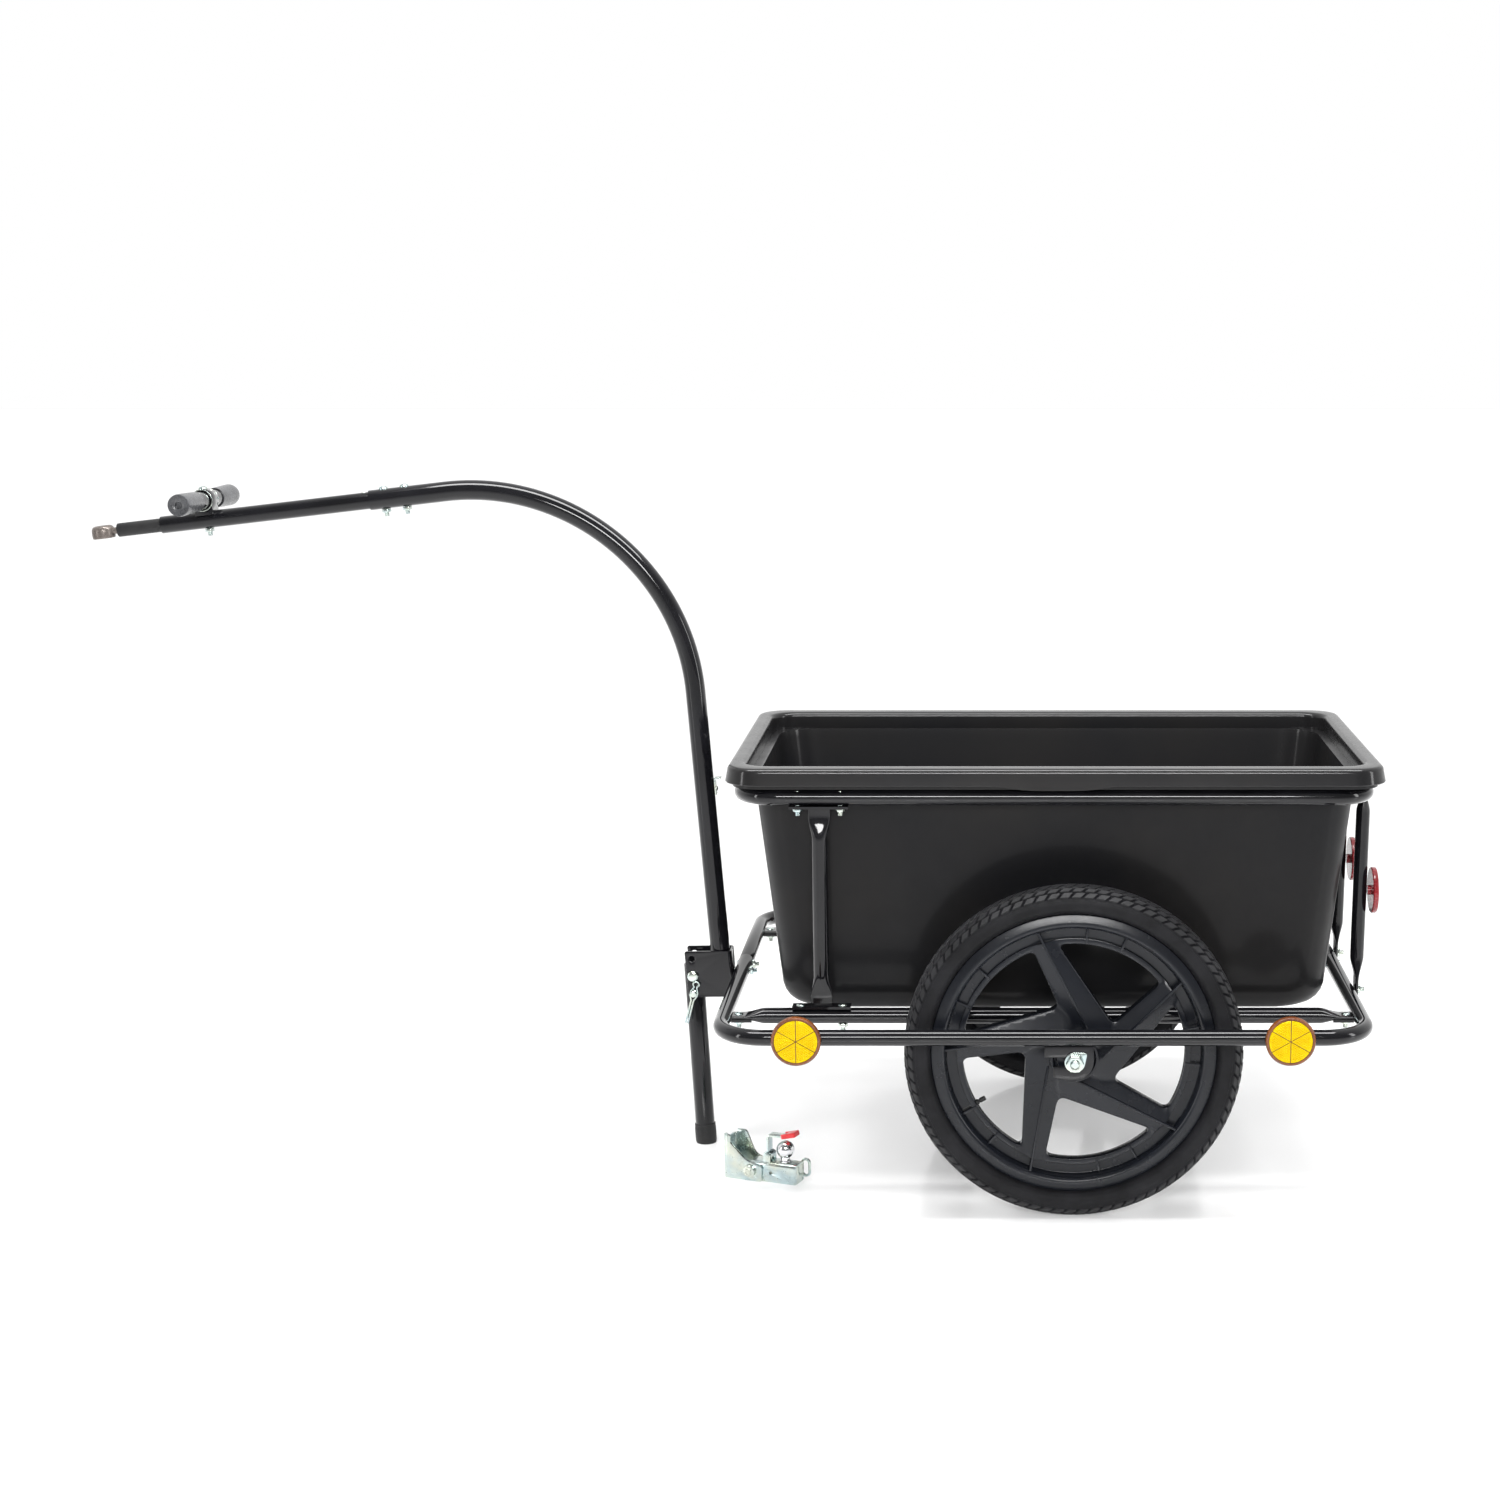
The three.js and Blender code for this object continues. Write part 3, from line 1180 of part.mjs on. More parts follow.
// Tub: one skin walked from the middle of the inner floor, over the rim and its skirt, and down the outside.
function tubGeometry() {
  const level = (halfLength, halfWidth, radius, z) => {
    const loop = [];
    for (let corner = 0; corner < 4; corner++) {
      const signX = corner === 0 || corner === 3 ? 1 : -1;
      const signY = corner < 2 ? 1 : -1;
      for (let step = 0; step <= tubCornerSteps; step++) {
        const angle = ((corner + step / tubCornerSteps) * Math.PI) / 2;
        loop.push(
          vector(
            tubCentreX + signX * (halfLength - radius) + radius * Math.cos(angle),
            signY * (halfWidth - radius) + radius * Math.sin(angle),
            z,
          ),
        );
      }
    }
    return loop;
  };
  const flare = (z) => (z - tubFootHeight) / (tubWallTopHeight - tubFootHeight);
  const wallLength = (z) => tubFootHalfLength + (tubWallTopHalfLength - tubFootHalfLength) * flare(z);
  const wallWidth = (z) => tubFootHalfWidth + (tubWallTopHalfWidth - tubFootHalfWidth) * flare(z);
  const outside = (inset, z) => level(wallLength(z) - inset, wallWidth(z) - inset, tubWallCornerRadius - inset, z);
  const rim = (inset, z) =>
    level(rimHalfLength - inset, rimSideHalfWidth - inset, Math.max(rimCornerRadius - inset, tubWall), z);
  // The opening's edge, where the flange meets the inner wall. Its outset is measured from that edge.
  const opening = (outset, z) =>
    level(
      rimHalfLength - rimEndFlange + outset,
      rimSideHalfWidth - rimSideFlange + outset,
      rimCornerRadius - rimEndFlange / 2 + outset,
      z,
    );
  const ledgeBottom = upperRingHeight + frameTubeRadius + seatGap;
  const ledgeTop = ledgeBottom + tubWall;
  const roundDrop = rimRounding * (1 - Math.SQRT1_2);
  const floorZ = tubBottom + tubWall;
  const loops = [
    outside(tubWall + tubFloorInset, floorZ),
    outside(tubWall + tubFloorInset / 3, floorZ + tubFloorInset / 4),
    outside(tubWall, tubFootHeight + tubWall),
    outside(tubWall, ledgeTop),
    opening(0, ledgeTop),
    opening(0, tubTop - rimRounding),
    opening(roundDrop, tubTop - roundDrop),
    opening(rimRounding, tubTop),
    rim(rimRounding, tubTop),
    rim(roundDrop, tubTop - roundDrop),
    rim(0, tubTop - rimRounding),
    rim(0, rimSkirtBottom),
    rim(rimSkirtWall, rimSkirtBottom),
    rim(rimSkirtWall, tubTop - rimRounding),
    rim(rimRounding, tubTop - tubWall),
    opening(rimRounding, tubTop - tubWall),
    opening(tubWall, tubTop - rimRounding),
    opening(tubWall, ledgeTop),
    rim(rimSkirtWall + rimRounding, ledgeTop),
    rim(rimSkirtWall + rimRounding, ledgeBottom),
    outside(0, ledgeBottom),
    outside(0, tubFootHeight),
    outside(tubFloorInset / 4, tubBottom + tubFloorInset / 4),
    outside(tubFloorInset, tubBottom),
  ];
  const skin = [];
  const count = loops[0].length;
  const innerMiddle = vector(tubCentreX, 0, floorZ);
  const outerMiddle = vector(tubCentreX, 0, tubBottom);
  for (let k = 0; k < count; k++) {
    const next = (k + 1) % count;
    for (let i = 0; i + 1 < loops.length; i++) {
      const [a, b, c, d] = [loops[i][k], loops[i][next], loops[i + 1][next], loops[i + 1][k]];
      skin.push(a, c, b, a, d, c);
    }
    skin.push(innerMiddle, loops[0][k], loops[0][next]);
    const last = loops[loops.length - 1];
    skin.push(outerMiddle, last[next], last[k]);
  }
  const body = new THREE.BufferGeometry().setFromPoints(skin);
  // A shallow curved lip hangs from the skirt in the middle of each long side, to lift the tub by.
  const lips = sides.map(({ sign }) => {
    const shape = new THREE.Shape();
    shape.moveTo(tubCentreX - gripLipHalfLength, rimSkirtBottom + gripLipDrop);
    shape.lineTo(tubCentreX - gripLipHalfLength, rimSkirtBottom);
    shape.quadraticCurveTo(
      tubCentreX,
      rimSkirtBottom - 2 * gripLipDrop,
      tubCentreX + gripLipHalfLength,
      rimSkirtBottom,
    );
    shape.lineTo(tubCentreX + gripLipHalfLength, rimSkirtBottom + gripLipDrop);
    const outerY = sign * rimSideHalfWidth;
    const innerY = sign * (rimSideHalfWidth - rimSkirtWall);
    return sidePlate(shape, Math.min(outerY, innerY), Math.max(outerY, innerY));
  });
  return join(body, ...lips);
}
add(trailer, "tub", tubGeometry(), tubPlastic);

// Seat post hitch, standing loose on the floor
const hitch = new THREE.Group();
hitch.position.set(hitchX, hitchY, 0);
hitch.rotation.z = radians(hitchYaw);
trailer.add(hitch);

const channelTop = hitchChannelHeight;
const channelRoof = channelTop - hitchSheet;
const roundEnd = (lowX, highX, lowZ, highZ) => {
  const radius = (highX - lowX) / 2;
  const shape = new THREE.Shape();
  shape.absarc(lowX + radius, highZ - radius, radius, 0, Math.PI, false);
  shape.absarc(lowX + radius, lowZ + radius, radius, Math.PI, 2 * Math.PI, false);
  return shape;
};
const loopLow = hitchLength - hitchSheet;
const loop = sidePlate(
  roundEnd(loopLow, loopLow + hitchLoopLength, hitchLoopLift, hitchLoopLift + hitchLoopHeight),
  hitchWidth - hitchSheet,
  hitchWidth,
);
const loopSlot = sidePlate(
  roundEnd(
    loopLow + hitchLoopWall,
    loopLow + hitchLoopLength - hitchLoopWall,
    hitchLoopLift + hitchLoopWall,
    hitchLoopLift + hitchLoopHeight - hitchLoopWall,
  ),
  hitchWidth - hitchSheet - overrun,
  hitchWidth + overrun,
);
const earOuter = latchPlateY + latchWidth + seatGap + hitchSheet;
const earInner = latchPlateY - seatGap - hitchSheet;
const ear = (y) => {
  const halfLength = latchPinRadius * 2;
  return box(
    latchX - halfLength,
    latchX + halfLength,
    y,
    y + hitchSheet,
    channelRoof,
    channelTop + latchEarHeight + halfLength,
  );
};
const latchPinZ = channelTop + latchEarHeight;
const hitchAcross = (x, z, fromY, toY, radius, sides) => bar(vector(x, fromY, z), vector(x, toY, z), Z, radius, sides);
const upRod = (x, y, fromZ, toZ, radius, sides) => bar(vector(x, y, fromZ), vector(x, y, toZ), Y, radius, sides);
const channelBody = cut(
  box(hitchChannelStart, hitchLength, 0, hitchWidth, 0, channelTop),
  box(
    hitchChannelStart - overrun,
    hitchLength - hitchSheet,
    hitchSheet,
    hitchWidth - hitchSheet,
    -overrun,
    channelRoof,
  ),
  upRod(hitchBallX, hitchWidth / 2, 0, channelTop + overrun, hitchStudRadius + seatGap),
  hitchAcross(hitchBoltX, hitchBoltHeight, -overrun, hitchWidth + overrun, hitchBoltRadius + seatGap),
);
const channel = cut(
  join(
    channelBody,
    loop,
    ear(earInner),
    ear(earOuter - hitchSheet),
    hitchAcross(latchX, latchPinZ, earInner, earOuter, latchPinRadius),
  ),
  loopSlot,
);
add(hitch, "hitch_channel", channel, zinc);

// Jaw: two side plates with sloping upper edges, folded from one sheet round the channel, with a tab on top.
const jawOutline = (height, crest) => [
  flatPoint(0, 0),
  flatPoint(jawReach, 0),
  flatPoint(jawReach, hitchBoltHeight + hitchBoltHeadRadius),
  flatPoint(hitchChannelStart - hitchSheet, channelTop),
  flatPoint(crest, height),
  flatPoint(0, height),
];
const jawFront = -seatGap - hitchSheet;
const jawBack = hitchWidth + seatGap + hitchSheet;
const jaw = cut(
  join(
    sidePlate(jawOutline(jawHeight, jawCrest), jawFront, -seatGap),
    sidePlate(jawOutline(jawBackHeight, jawBackCrest), jawBack - hitchSheet, jawBack),
    box(0, hitchSheet, jawFront, jawBack, 0, jawHeight),
    box(0, jawTabLength, jawFront, jawFront + jawTabLength, jawHeight - hitchSheet, jawHeight + jawTabHeight),
  ),
  hitchAcross(hitchBoltX, hitchBoltHeight, jawFront - overrun, jawBack + overrun, hitchBoltRadius + seatGap),
);
add(hitch, "hitch_jaw", jaw, zinc);

const boltFront = jawFront - seatGap;
const boltBack = jawBack + seatGap;
const hitchBolt = join(
  hitchAcross(hitchBoltX, hitchBoltHeight, boltFront - hitchBoltHeadLength, boltFront, hitchBoltHeadRadius),
  hitchAcross(hitchBoltX, hitchBoltHeight, boltFront, boltBack, hitchBoltRadius),
  hitchAcross(hitchBoltX, hitchBoltHeight, boltBack, boltBack + hitchBoltHeadLength, hitchBoltHeadRadius, hexSides),
);
add(hitch, "hitch_bolt", hitchBolt, zinc);

const neckBottom = channelTop + seatGap;
const ballCentreZ = neckBottom + hitchNeckHeight + Math.sqrt(hitchBallRadius ** 2 - hitchNeckRadius ** 2);
const ballSphere = new THREE.SphereGeometry(hitchBallRadius, ballSegments, ballSegments / 2).rotateX(Math.PI / 2);
const ball = join(
  ballSphere.translate(hitchBallX, hitchWidth / 2, ballCentreZ),
  upRod(hitchBallX, hitchWidth / 2, neckBottom, ballCentreZ, hitchNeckRadius),
  upRod(hitchBallX, hitchWidth / 2, channelRoof - overrun, neckBottom, hitchStudRadius),
);
add(hitch, "hitch_ball", ball, chrome);

// Safety latch: a bent strip that stands on its pin, bends over the ball and ends in a rising tongue.
const latchTop = ballCentreZ + hitchBallRadius + latchBallClearance + latchSheet;
const latchLeft = latchX - latchSheet / 2;
const latchBarrel = latchPinRadius + seatGap + latchSheet;
const tongueStart = latchLeft + latchReach;
const rise = Math.tan(radians(latchTipRise));
const tongueEnd = tongueStart + latchTongueLength;
const latchOutline = [
  flatPoint(latchLeft, latchPinZ),
  flatPoint(latchLeft + latchSheet, latchPinZ),
  flatPoint(latchLeft + latchSheet, latchTop - latchSheet),
  flatPoint(tongueStart, latchTop - latchSheet),
  flatPoint(tongueEnd, latchTop - latchSheet + latchTongueLength * rise),
  flatPoint(tongueEnd, latchTop + latchTongueLength * rise),
  flatPoint(tongueStart, latchTop),
  flatPoint(latchLeft + latchSheet, latchTop),
  flatPoint(latchLeft, latchTop - latchSheet),
];
const latch = cut(
  join(
    sidePlate(latchOutline, latchPlateY, latchPlateY + latchWidth),
    hitchAcross(latchX, latchPinZ, latchPlateY, latchPlateY + latchWidth, latchBarrel, tubeSides),
  ),
  hitchAcross(latchX, latchPinZ, earInner, earOuter, latchPinRadius + seatGap),
);
add(hitch, "hitch_latch", latch, zinc);

// The red tip is a sleeve pushed over the tongue.
const tip = new THREE.Group();
tip.position.set(tongueStart, latchPlateY + latchWidth / 2, latchTop - latchSheet / 2);
tip.rotation.y = -radians(latchTipRise);
hitch.add(tip);
const tipHalfWidth = latchWidth / 2 + latchTipWall;
const tipPocket = box(
  -overrun,
  latchTongueLength / Math.cos(radians(latchTipRise)) + seatGap * 2,
  -latchWidth / 2 - seatGap,
  latchWidth / 2 + seatGap,
  -latchSheet / 2 - seatGap,
  latchSheet / 2 + seatGap,
);
const tipBody = box(
  latchTipWall,
  latchTipLength,
  -tipHalfWidth,
  tipHalfWidth,
  -latchTipHeight / 2,
  latchTipHeight / 2,
);
add(tip, "latch_tip", cut(tipBody, tipPocket), red);

// The origin lies on the floor under the middle of the whole length.
trailer.updateMatrixWorld(true);
const reach = new THREE.Box3().setFromObject(trailer);
trailer.position.x = -(reach.min.x + reach.max.x) / 2;

const cargoTrailer = new THREE.Group();
cargoTrailer.add(trailer);

export default cargoTrailer;
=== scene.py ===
"""A black two-wheeled bicycle cargo trailer with its loose seat post hitch, as a studio photograph shows it."""

from math import cos, pi, radians, sin, sqrt, tan

import bmesh
import bpy
import numpy as np
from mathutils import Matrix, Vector
from mathutils.geometry import delaunay_2d_cdt


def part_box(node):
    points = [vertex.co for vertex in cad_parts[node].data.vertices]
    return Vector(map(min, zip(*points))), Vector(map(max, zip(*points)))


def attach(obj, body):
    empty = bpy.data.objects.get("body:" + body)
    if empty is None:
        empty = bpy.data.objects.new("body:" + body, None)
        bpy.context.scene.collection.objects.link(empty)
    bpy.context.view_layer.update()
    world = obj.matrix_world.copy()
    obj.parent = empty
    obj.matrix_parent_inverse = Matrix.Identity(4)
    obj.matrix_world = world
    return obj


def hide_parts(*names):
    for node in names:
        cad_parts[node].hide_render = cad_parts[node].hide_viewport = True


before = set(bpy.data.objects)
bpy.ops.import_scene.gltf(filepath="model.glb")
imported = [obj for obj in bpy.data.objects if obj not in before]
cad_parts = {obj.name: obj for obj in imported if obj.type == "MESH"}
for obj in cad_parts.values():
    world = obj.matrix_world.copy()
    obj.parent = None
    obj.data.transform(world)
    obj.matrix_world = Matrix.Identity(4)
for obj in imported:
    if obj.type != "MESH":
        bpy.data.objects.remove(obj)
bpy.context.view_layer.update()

scene = bpy.context.scene

# The photograph's view. The lens stands low on the trailer's left, nearly square to it, and looks down a
# little. Its place was worked out from the outlines of the wheels, the bumper tube and the rim.
camera_place = (0.32447, -3.0665, 1.0353)
camera_tilt = 80.365
camera_data = bpy.data.cameras.new("photo_view")
camera_data.lens = 59.16
camera_data.sensor_width = 36.0
camera_data.shift_x = -0.1627
camera = bpy.data.objects.new("photo_view", camera_data)
camera.location = camera_place
camera.rotation_euler = (radians(camera_tilt), 0, 0)
scene.collection.objects.link(camera)
scene.camera = camera

# The studio: a lit white wall behind the trailer that dims towards the lens's side, over a pale, faintly
# glossy floor. Soft boxes overhead and before the trailer give its tubes and edges their long highlights.
dim_side = 0.3
dimming_span = (-0.6, 0.35)


def map_range(tree, value, source, target, shape="LINEAR"):
    """A value's place between the ends of its source range, carried over to the target range."""
    node = tree.nodes.new("ShaderNodeMapRange")
    node.interpolation_type = shape
    for field, bound in zip(("From Min", "From Max", "To Min", "To Max"), (*source, *target)):
        node.inputs[field].default_value = bound
    tree.links.new(value, node.inputs["Value"])
    return node.outputs["Result"]


world = bpy.data.worlds.new("studio")
world.use_nodes = True
room = world.node_tree
direction = room.nodes.new("ShaderNodeTexCoord").outputs["Generated"]
parts = room.nodes.new("ShaderNodeSeparateXYZ")
room.links.new(direction, parts.inputs["Vector"])
fading = map_range(room, parts.outputs["Y"], dimming_span, (dim_side, 1.0), "SMOOTHSTEP")
room.nodes["Background"].inputs["Color"].default_value = (1, 1, 1, 1)
room.links.new(fading, room.nodes["Background"].inputs["Strength"])
scene.world = world
scene.view_settings.view_transform = "Standard"

floor_half = 30.0
floor_mesh = bpy.data.meshes.new("studio_floor")
floor_corners = [(x, y, 0) for x, y in ((-1, -1), (1, -1), (1, 1), (-1, 1))]
floor_mesh.from_pydata([(x * floor_half, y * floor_half, z) for x, y, z in floor_corners], [], [(0, 1, 2, 3)])
floor = bpy.data.objects.new("studio_floor", floor_mesh)
scene.collection.objects.link(floor)
floor_material = bpy.data.materials.new("pale floor")
floor_material.use_nodes = True
floor_shader = floor_material.node_tree.nodes["Principled BSDF"]
floor_shader.inputs["Base Color"].default_value = (0.8, 0.8, 0.8, 1)
floor_shader.inputs["Roughness"].default_value = 0.12
floor_shader.inputs["Emission Color"].default_value = (1, 1, 1, 1)
floor_shader.inputs["Emission Strength"].default_value = 0.3
floor_mesh.materials.append(floor_material)


def soft_box(name, place, target, width, height, watts):
    """An area lamp at a place, turned so that its face looks at the target."""
    data = bpy.data.lights.new(name, "AREA")
    data.shape = "RECTANGLE"
    data.size = width
    data.size_y = height
    data.energy = watts
    lamp = bpy.data.objects.new(name, data)
    lamp.location = place
    lamp.rotation_euler = (Vector(target) - Vector(place)).to_track_quat("-Z", "Y").to_euler()
    scene.collection.objects.link(lamp)


soft_box("top_box", (0.3, -0.4, 2.3), (0.3, 0, 0.3), 2.4, 0.5, 66)
soft_box("front_box", (0.4, -3.3, 1.75), (0.3, 0.1, 0.5), 1.6, 0.4, 60)
soft_box("left_box", (-3.0, -1.9, 1.0), (0.1, 0, 0.5), 0.35, 1.8, 15)
soft_box("right_box", (3.6, -1.2, 1.2), (0.3, 0, 0.5), 0.5, 1.8, 20)

# Frame tubes: two bent ring halves below and two above, in round steel tube, joined by swaged ends.
# They are bent, welded to their lugs, and dipped or sprayed in one coat of gloss black.
mm = 0.001
axle_x = 418.17285 * mm
tube_radius = 9.5 * mm
tube_wall = 1.5 * mm
fine_gap = 0.3 * mm
tube_sides = 32
bend_steps = 20
weld_distance = 0.000004
smooth_angle = 36
tone_span = (0.35, 0.65)
polish_span = (0.3, 0.7)
polish_fineness = 6
along_x, along_y, up = np.eye(3)


def surface(name, colour, patch_colour, roughness, metallic=0.0, coat=0.0, specular=0.5, grain=900.0,
            grain_depth=0.02 * mm, patch=14.0, roughness_span=0.12, waves=None):
    """A material whose colour drifts between two tones in broad patches, whose roughness follows finer ones,
    and whose fine grain is a bump. All are noise on the object's own coordinates, in metres. Waves, a stretch
    and a depth, add a slow swell of the surface."""
    material = bpy.data.materials.new(name)
    material.use_nodes = True
    tree = material.node_tree
    shader = tree.nodes["Principled BSDF"]
    shader.inputs["Metallic"].default_value = metallic
    shader.inputs["Coat Weight"].default_value = coat
    shader.inputs["Coat Roughness"].default_value = 0.06
    shader.inputs["Specular IOR Level"].default_value = specular
    place = tree.nodes.new("ShaderNodeTexCoord").outputs["Object"]

    def noise(scale, detail, where=place):
        """Smooth noise from 0 to 1 with this many swells a metre, at a place."""
        node = tree.nodes.new("ShaderNodeTexNoise")
        node.inputs["Scale"].default_value = scale
        node.inputs["Detail"].default_value = detail
        tree.links.new(where, node.inputs["Vector"])
        return node.outputs["Fac"]

    def raised(height, depth, before=None):
        """The surface's tilt where a height from 0 to 1 stands for a depth, on top of an earlier tilt."""
        node = tree.nodes.new("ShaderNodeBump")
        node.inputs["Distance"].default_value = depth
        tree.links.new(height, node.inputs["Height"])
        if before is not None:
            tree.links.new(before, node.inputs["Normal"])
        return node.outputs["Normal"]

    tones = tree.nodes.new("ShaderNodeMix")
    tones.data_type = "RGBA"
    share, first_colour, second_colour = (tones.inputs[index] for index in (0, 6, 7))
    tree.links.new(map_range(tree, noise(patch, detail=4), tone_span, (0, 1)), share)
    first_colour.default_value = (*colour, 1)
    second_colour.default_value = (*patch_colour, 1)
    tree.links.new(tones.outputs[2], shader.inputs["Base Color"])
    polish = (roughness - roughness_span / 2, roughness + roughness_span / 2)
    fine = noise(patch * polish_fineness, detail=6)
    tree.links.new(map_range(tree, fine, polish_span, polish), shader.inputs["Roughness"])
    swell = None
    if waves:
        stretch, depth = waves
        mapping = tree.nodes.new("ShaderNodeMapping")
        mapping.inputs["Scale"].default_value = stretch
        tree.links.new(place, mapping.inputs["Vector"])
        swell = raised(noise(1.0, 1, mapping.outputs["Vector"]), depth)
    tree.links.new(raised(noise(grain, detail=3), grain_depth, swell), shader.inputs["Normal"])
    return material


black_paint = surface("gloss black paint", (0.004, 0.004, 0.005), (0.008, 0.008, 0.01), 0.13, coat=1.0,
                      specular=0.1, grain=420, grain_depth=0.006 * mm, roughness_span=0.08)
black_paint.node_tree.nodes["Principled BSDF"].inputs["Coat IOR"].default_value = 1.38


def piece(name, shells, material, body, replaced=(), sharp=smooth_angle):
    """One mesh from closed shells of points and faces. Doubles are merged, normals turned outwards, and edges
    sharper than the given angle stay crisp. It rides on a body and stands for the nodes."""
    points, faces, start = [], [], 0
    for shell_points, shell_faces in shells:
        points.append(np.asarray(shell_points, float).reshape(-1, 3))
        faces += [[int(corner) + start for corner in face] for face in shell_faces]
        start += len(points[-1])
    mesh = bpy.data.meshes.new(name)
    mesh.from_pydata(np.concatenate(points).tolist(), [], faces)
    shell = bmesh.new()
    shell.from_mesh(mesh)
    bmesh.ops.remove_doubles(shell, verts=shell.verts, dist=weld_distance)
    bmesh.ops.delete(shell, geom=[point for point in shell.verts if not point.link_faces], context="VERTS")
    bmesh.ops.recalc_face_normals(shell, faces=shell.faces)
    shell.to_mesh(mesh)
    shell.free()
    mesh.shade_smooth()
    mesh.set_sharp_from_angle(angle=radians(sharp))
    mesh.materials.append(material)
    made = bpy.data.objects.new(name, mesh)
    scene.collection.objects.link(made)
    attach(made, body)
    if replaced:
        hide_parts(*replaced)
    return made


def painted(name, shells, node):
    """A painted piece of the frame, which stands for one node."""
    piece(name, shells, black_paint, "frame", [node])


def grid_faces(rows, columns, close_rows=False, close_columns=True):
    """Quads between neighbouring rows and columns of a grid of points, which can wrap round either way."""
    row = np.arange(rows if close_rows else rows - 1)[:, None]
    column = np.arange(columns if close_columns else columns - 1)[None, :]
    next_row, next_column = (row + 1) % rows, (column + 1) % columns
    corners = [row * columns + column, row * columns + next_column,
               next_row * columns + next_column, next_row * columns + column]
    return np.stack(corners, axis=-1).reshape(-1, 4).tolist()


def bent_path(corners, bend_radius, steps=bend_steps):
    """Straight runs between corners, with each inner corner replaced by an arc tangent to both runs."""
    corners = np.asarray(corners, float)
    points = [corners[:1]]
    for before, corner, after in zip(corners[:-2], corners[1:-1], corners[2:]):
        arriving = (corner - before) / np.linalg.norm(corner - before)
        leaving = (after - corner) / np.linalg.norm(after - corner)
        turn = np.arccos(np.clip(arriving @ leaving, -1, 1))
        inward = leaving - arriving * (arriving @ leaving)
        inward /= np.linalg.norm(inward)
        start = corner - arriving * bend_radius * tan(turn / 2)
        angle = np.linspace(0, turn, steps + 1)[:, None]
        points.append(start + bend_radius * (np.sin(angle) * arriving + (1 - np.cos(angle)) * inward))
    points.append(corners[-1:])
    return np.concatenate(points)


pressed_power_share = 0.6


def rings_along(points, normal, wide, thick=None, square=0.0, sides=tube_sides):
    """Rings round a path. Each is an ellipse, wide across the path and thick along the fixed normal. Square,
    from 0 to 1, swells it towards the flat-sided section of a pressed tube."""
    points = np.asarray(points, float)
    runs = np.diff(points, axis=0)
    runs /= np.linalg.norm(runs, axis=1, keepdims=True)
    along = np.concatenate([runs[:1], runs[:-1] + runs[1:], runs[-1:]])
    across = np.cross(np.broadcast_to(normal, along.shape), along)
    across /= np.linalg.norm(across, axis=1, keepdims=True)
    count = len(points)
    wide = np.broadcast_to(wide, count)[:, None, None]
    thick = wide if thick is None else np.broadcast_to(thick, count)[:, None, None]
    power = 1 - pressed_power_share * np.broadcast_to(square, count)[:, None]
    angle = (np.arange(sides) * 2 * pi / sides)[None, :]
    side = np.sign(np.cos(angle)) * np.abs(np.cos(angle)) ** power
    rise = np.sign(np.sin(angle)) * np.abs(np.sin(angle)) ** power
    return points[:, None] + across[:, None] * wide * side[..., None] + normal * thick * rise[..., None]


def hollow_tube(path, normal, radius):
    """A pipe along a path as one closed skin: out along the outer rings and back along the inner ones."""
    outer = rings_along(path, normal, radius)
    inner = rings_along(path, normal, np.asarray(radius) - tube_wall)
    rings = np.concatenate([outer, inner[::-1]])
    return rings.reshape(-1, 3), grid_faces(len(rings), tube_sides, close_rows=True)


def capped(rings):
    """Rings of points joined into one solid skin, with a face over each end."""
    count, sides = rings.shape[:2]
    ends = [list(range(sides)), list(range((count - 1) * sides, count * sides))]
    return rings.reshape(-1, 3), grid_faces(count, sides) + ends


ring_joint_y = 45 * mm
swage_length = 36 * mm
swage_taper = 4 * mm
lug_thickness = 3 * mm
lug_half_width = 13 * mm
lug_length = 24 * mm
lug_drop = 2.3 * mm
joint_lip = 0.25 * mm
mouth_step = 1 * mm


def box_shell(low, high):
    """The eight corners and six faces of a plain block between two corners, for small lugs and plates."""
    low, high = np.asarray(low, float), np.asarray(high, float)
    pick = np.array([(x, y, z) for x in (0, 1) for y in (0, 1) for z in (0, 1)])
    faces = [(0, 1, 3, 2), (4, 6, 7, 5), (0, 4, 5, 1), (2, 3, 7, 6), (0, 2, 6, 4), (1, 5, 7, 3)]
    return np.where(pick, high, low), faces


def ring_half(side, front_x, rear_x, half_width, height, bend_radius):
    """One half of a tube ring. The left half runs past the middle and its mouth swells by a hair, and the
    right half has swaged ends, whose radius drops to the bore of the left half over a short taper."""
    corners = [(front_x, ring_joint_y, height), (front_x, side * half_width, height),
               (rear_x, side * half_width, height), (rear_x, ring_joint_y, height)]
    path = bent_path(corners, bend_radius)
    mouth = np.array([0, -1, -2]) * mouth_step
    swage = np.array([-swage_length, fine_gap, fine_gap + swage_taper])
    steps = mouth if side < 0 else swage
    front = path[0] + steps[:, None] * along_y
    rear = path[-1] + steps[::-1, None] * along_y
    whole = np.concatenate([front, path[1:-1], rear])
    radius = np.full(len(whole), tube_radius)
    radius[[0, 1, -2, -1]] = tube_radius + joint_lip if side < 0 else tube_radius - tube_wall - fine_gap
    return hollow_tube(whole, up, radius)


bumper_low, bumper_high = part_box("bumper_left")
bumper_z = 228.6 * mm
bumper_front = bumper_low[0] + tube_radius
bumper_rear = bumper_high[0] - tube_radius
bumper_half_width = -bumper_low[1] - tube_radius
bumper_bend = 57 * mm
upper_low, upper_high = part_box("upper_ring_left")
upper_z = 496 * mm
upper_front = upper_low[0] + tube_radius
upper_rear = upper_high[0] - tube_radius
upper_half_width = -upper_low[1] - tube_radius
upper_bend = 45 * mm
rail_y = 212 * mm
lug_top = bumper_z - lug_drop
sides = (("left", -1), ("right", 1))

